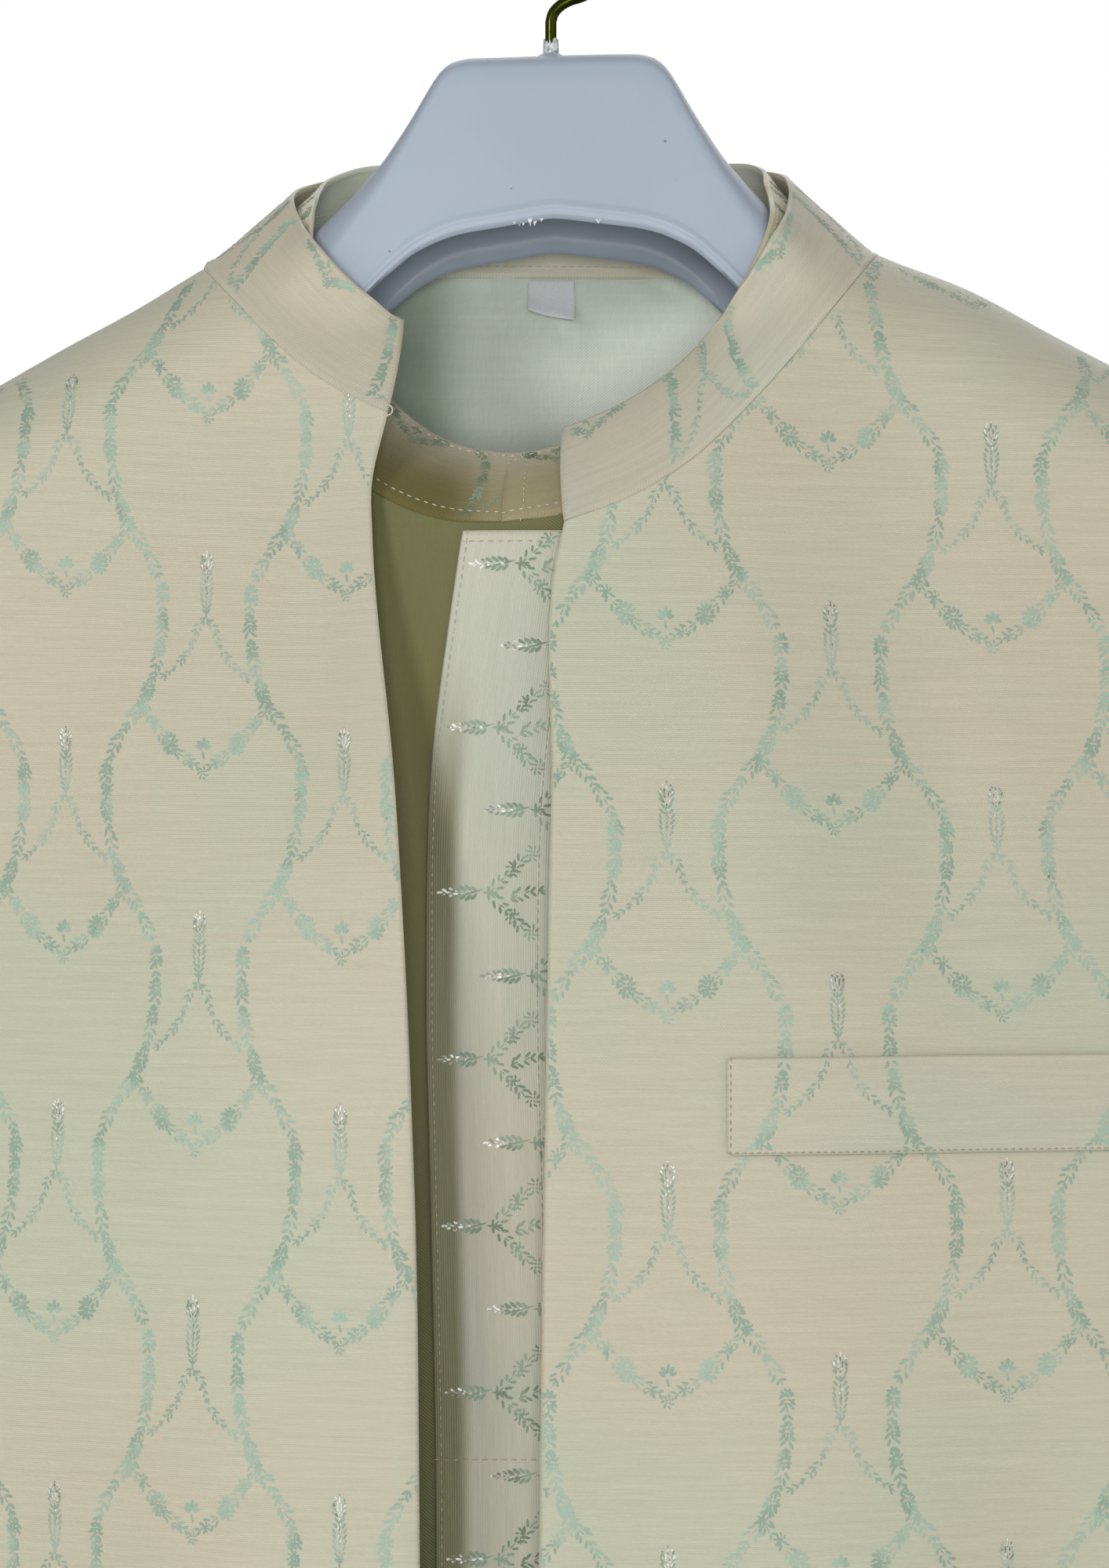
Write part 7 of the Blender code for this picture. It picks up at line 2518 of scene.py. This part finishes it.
@dataclass
class Studio:
    """Floor, light and camera."""

    camera_place: tuple[float, float, float] = (0.001, -1.03, -0.261)
    lens: float = 85.0
    sensor: float = 36.0
    floor_gap: float = 0.006
    floor_reach: float = 5.0

    def floor(self) -> None:
        """Lays a plain pale floor just below the hem."""
        z = CAD_BOUNDS[0][2] - self.floor_gap
        r = self.floor_reach
        floor = make_mesh("studio_floor", np.array(((-r, -r, z), (r, -r, z), (r, r, z), (-r, r, z))), [[0, 1, 2, 3]],
                          Plain("pale floor", (0.78, 0.78, 0.77), (0.81, 0.81, 0.80), 0.85, 300.0).material())

    @staticmethod
    def lamp(name: str, place: Sequence[float], aim: Sequence[float], size: float, power: float, tint: Shade) -> None:
        """Adds a soft square light aimed at a place."""
        light = bpy.data.lights.new(name, "AREA")
        light.size, light.energy, light.color = size, power, tint
        obj = bpy.data.objects.new(name, light)
        obj.location = place
        obj.rotation_euler = (Vector(aim) - Vector(place)).to_track_quat("-Z", "Y").to_euler()
        bpy.context.scene.collection.objects.link(obj)

    def lights(self) -> None:
        """Sets the key, the fill and the even white surround."""
        self.lamp("key", (-1.25, -1.95, 0.35), (0.0, 0.0, -0.20), 0.50, 15.0, (1.0, 0.985, 0.95))
        self.lamp("front", (0.00, -2.00, -0.30), (0.0, 0.0, -0.20), 0.60, 13.0, (1.0, 0.995, 0.985))
        self.lamp("fill", (1.7, -1.6, 0.4), (0.0, 0.0, -0.20), 1.6, 4.0, (0.95, 0.98, 1.0))
        self.lamp("back", (0.5, 2.4, 1.3), (0.0, 0.0, -0.4), 2.6, 26.0, (1.0, 1.0, 1.0))
        world = bpy.context.scene.world or bpy.data.worlds.new("surround")
        bpy.context.scene.world = world
        world.use_nodes = True
        nodes, links = world.node_tree.nodes, world.node_tree.links
        nodes["Background"].inputs["Color"].default_value = (1.0, 1.0, 1.0, 1.0)
        rays = nodes.new("ShaderNodeLightPath")
        strength = nodes.new("ShaderNodeMapRange")
        strength.inputs["To Min"].default_value = 0.34
        strength.inputs["To Max"].default_value = 1.0
        links.new(rays.outputs["Is Camera Ray"], strength.inputs["Value"])
        links.new(strength.outputs[0], nodes["Background"].inputs["Strength"])
        bpy.context.scene.view_settings.view_transform = "Standard"

    def camera(self) -> None:
        """Places the camera level with the chest."""
        data = bpy.data.cameras.new("camera")
        data.lens, data.sensor_width, data.sensor_height = self.lens, self.sensor, self.sensor
        camera = bpy.data.objects.new("camera", data)
        camera.location = self.camera_place
        camera.rotation_euler = (math.radians(90), 0.0, 0.0)
        bpy.context.scene.collection.objects.link(camera)
        bpy.context.scene.camera = camera


def finishes() -> dict[str, bpy.types.Material]:
    """Returns every finish by its name."""
    made = {
        "jacket": Silk("champagne jacquard", (0.545, 0.505, 0.385), (0.505, 0.520, 0.395), 0.00052),
        "collar": Silk("collar jacquard", (0.555, 0.515, 0.395), (0.507, 0.530, 0.435), 0.00052, twill=0.03),
        "welt": Silk("welt jacquard", (0.540, 0.500, 0.385), (0.500, 0.510, 0.395), 0.00058),
        # The collar band's ground is its pale cream, raised in part as painted light for the inner band behind the
        # hanger; its front tones are painted shade.
        "trim": Silk("collar band jacquard", (0.760, 0.710, 0.550), (0.700, 0.720, 0.580), 0.00052, twill=0.03,
                     painted_front_shades=((0.155, 0.132, 0.040), (0.390, 0.345, 0.195))),
        # The placket's edge tone is painted shade.
        "placket": Silk("placket jacquard", (0.560, 0.535, 0.420), (0.505, 0.525, 0.420), 0.00062, upright=True,
                        shaded_edge=(0.150, 0.150, 0.060)),
        # The twill's opening tones are painted shade; its inside tones are painted shadow and painted light.
        "twill": Twill("sage twill", (0.430, 0.450, 0.300), (0.410, 0.470, 0.350),
                       opening=((0.155, 0.145, 0.043), (0.130, 0.140, 0.051)),
                       inside=((0.400, 0.475, 0.370), (0.780, 0.850, 0.750))),
        "pajama": Twill("pajama twill", (0.500, 0.520, 0.380), (0.470, 0.530, 0.410), 0.0009, 0.58),
        "sprig": FigureYarn("sage silk yarn", (0.245, 0.355, 0.275), (0.375, 0.520, 0.420), 0.42),
        "dark_sprig": FigureYarn("deep sage silk yarn", (0.130, 0.190, 0.110), (0.300, 0.400, 0.290), 0.40),
        "flame": FigureYarn("metallic yarn", (0.085, 0.100, 0.060), (0.880, 0.880, 0.820), 0.36, 0.20, 620.0),
        "thread": Plain("cream thread", (0.520, 0.490, 0.370), (0.700, 0.680, 0.560), 0.6),
        "rose_thread": Plain("rosy thread", (0.430, 0.330, 0.270), (0.600, 0.510, 0.430), 0.6),
        "seam": Plain("seam thread", (0.300, 0.240, 0.150), (0.460, 0.400, 0.280), 0.7),
        "twill_thread": Plain("sage thread", (0.380, 0.430, 0.320), (0.500, 0.550, 0.430), 0.6),
        "tab": Plain("white tab", (0.80, 0.81, 0.83), (0.90, 0.91, 0.92), 0.7, 2600.0),
        "plastic": Moulded("grey moulding", (0.363, 0.425, 0.512)),
        "flash": Plain("torn flash", (0.30, 0.32, 0.34), (0.85, 0.87, 0.88), 0.6, 900.0),
        "wire": Wire("brassed wire", (0.050, 0.060, 0.007), (0.026, 0.030, 0.004)),
    }
    return {name: finish.material() for name, finish in made.items()}


def main() -> None:
    """Builds the set on its hanger and the studio round it."""
    logging.basicConfig(level=logging.INFO, format="%(message)s")
    shop = Workshop(Trees(), finishes())
    kurta = Kurta()
    hanger = Hanger(kurta.layer())
    hanger.dress(shop)
    Pajama(hanger).dress(shop)
    band = kurta.dress(shop, hanger)
    Jacket(hanger).dress(shop, Trellis(), band)
    studio = Studio()
    studio.floor()
    studio.lights()
    studio.camera()
    log.info("%d pieces", len(shop.pieces))


if __name__ == "__main__":
    main()
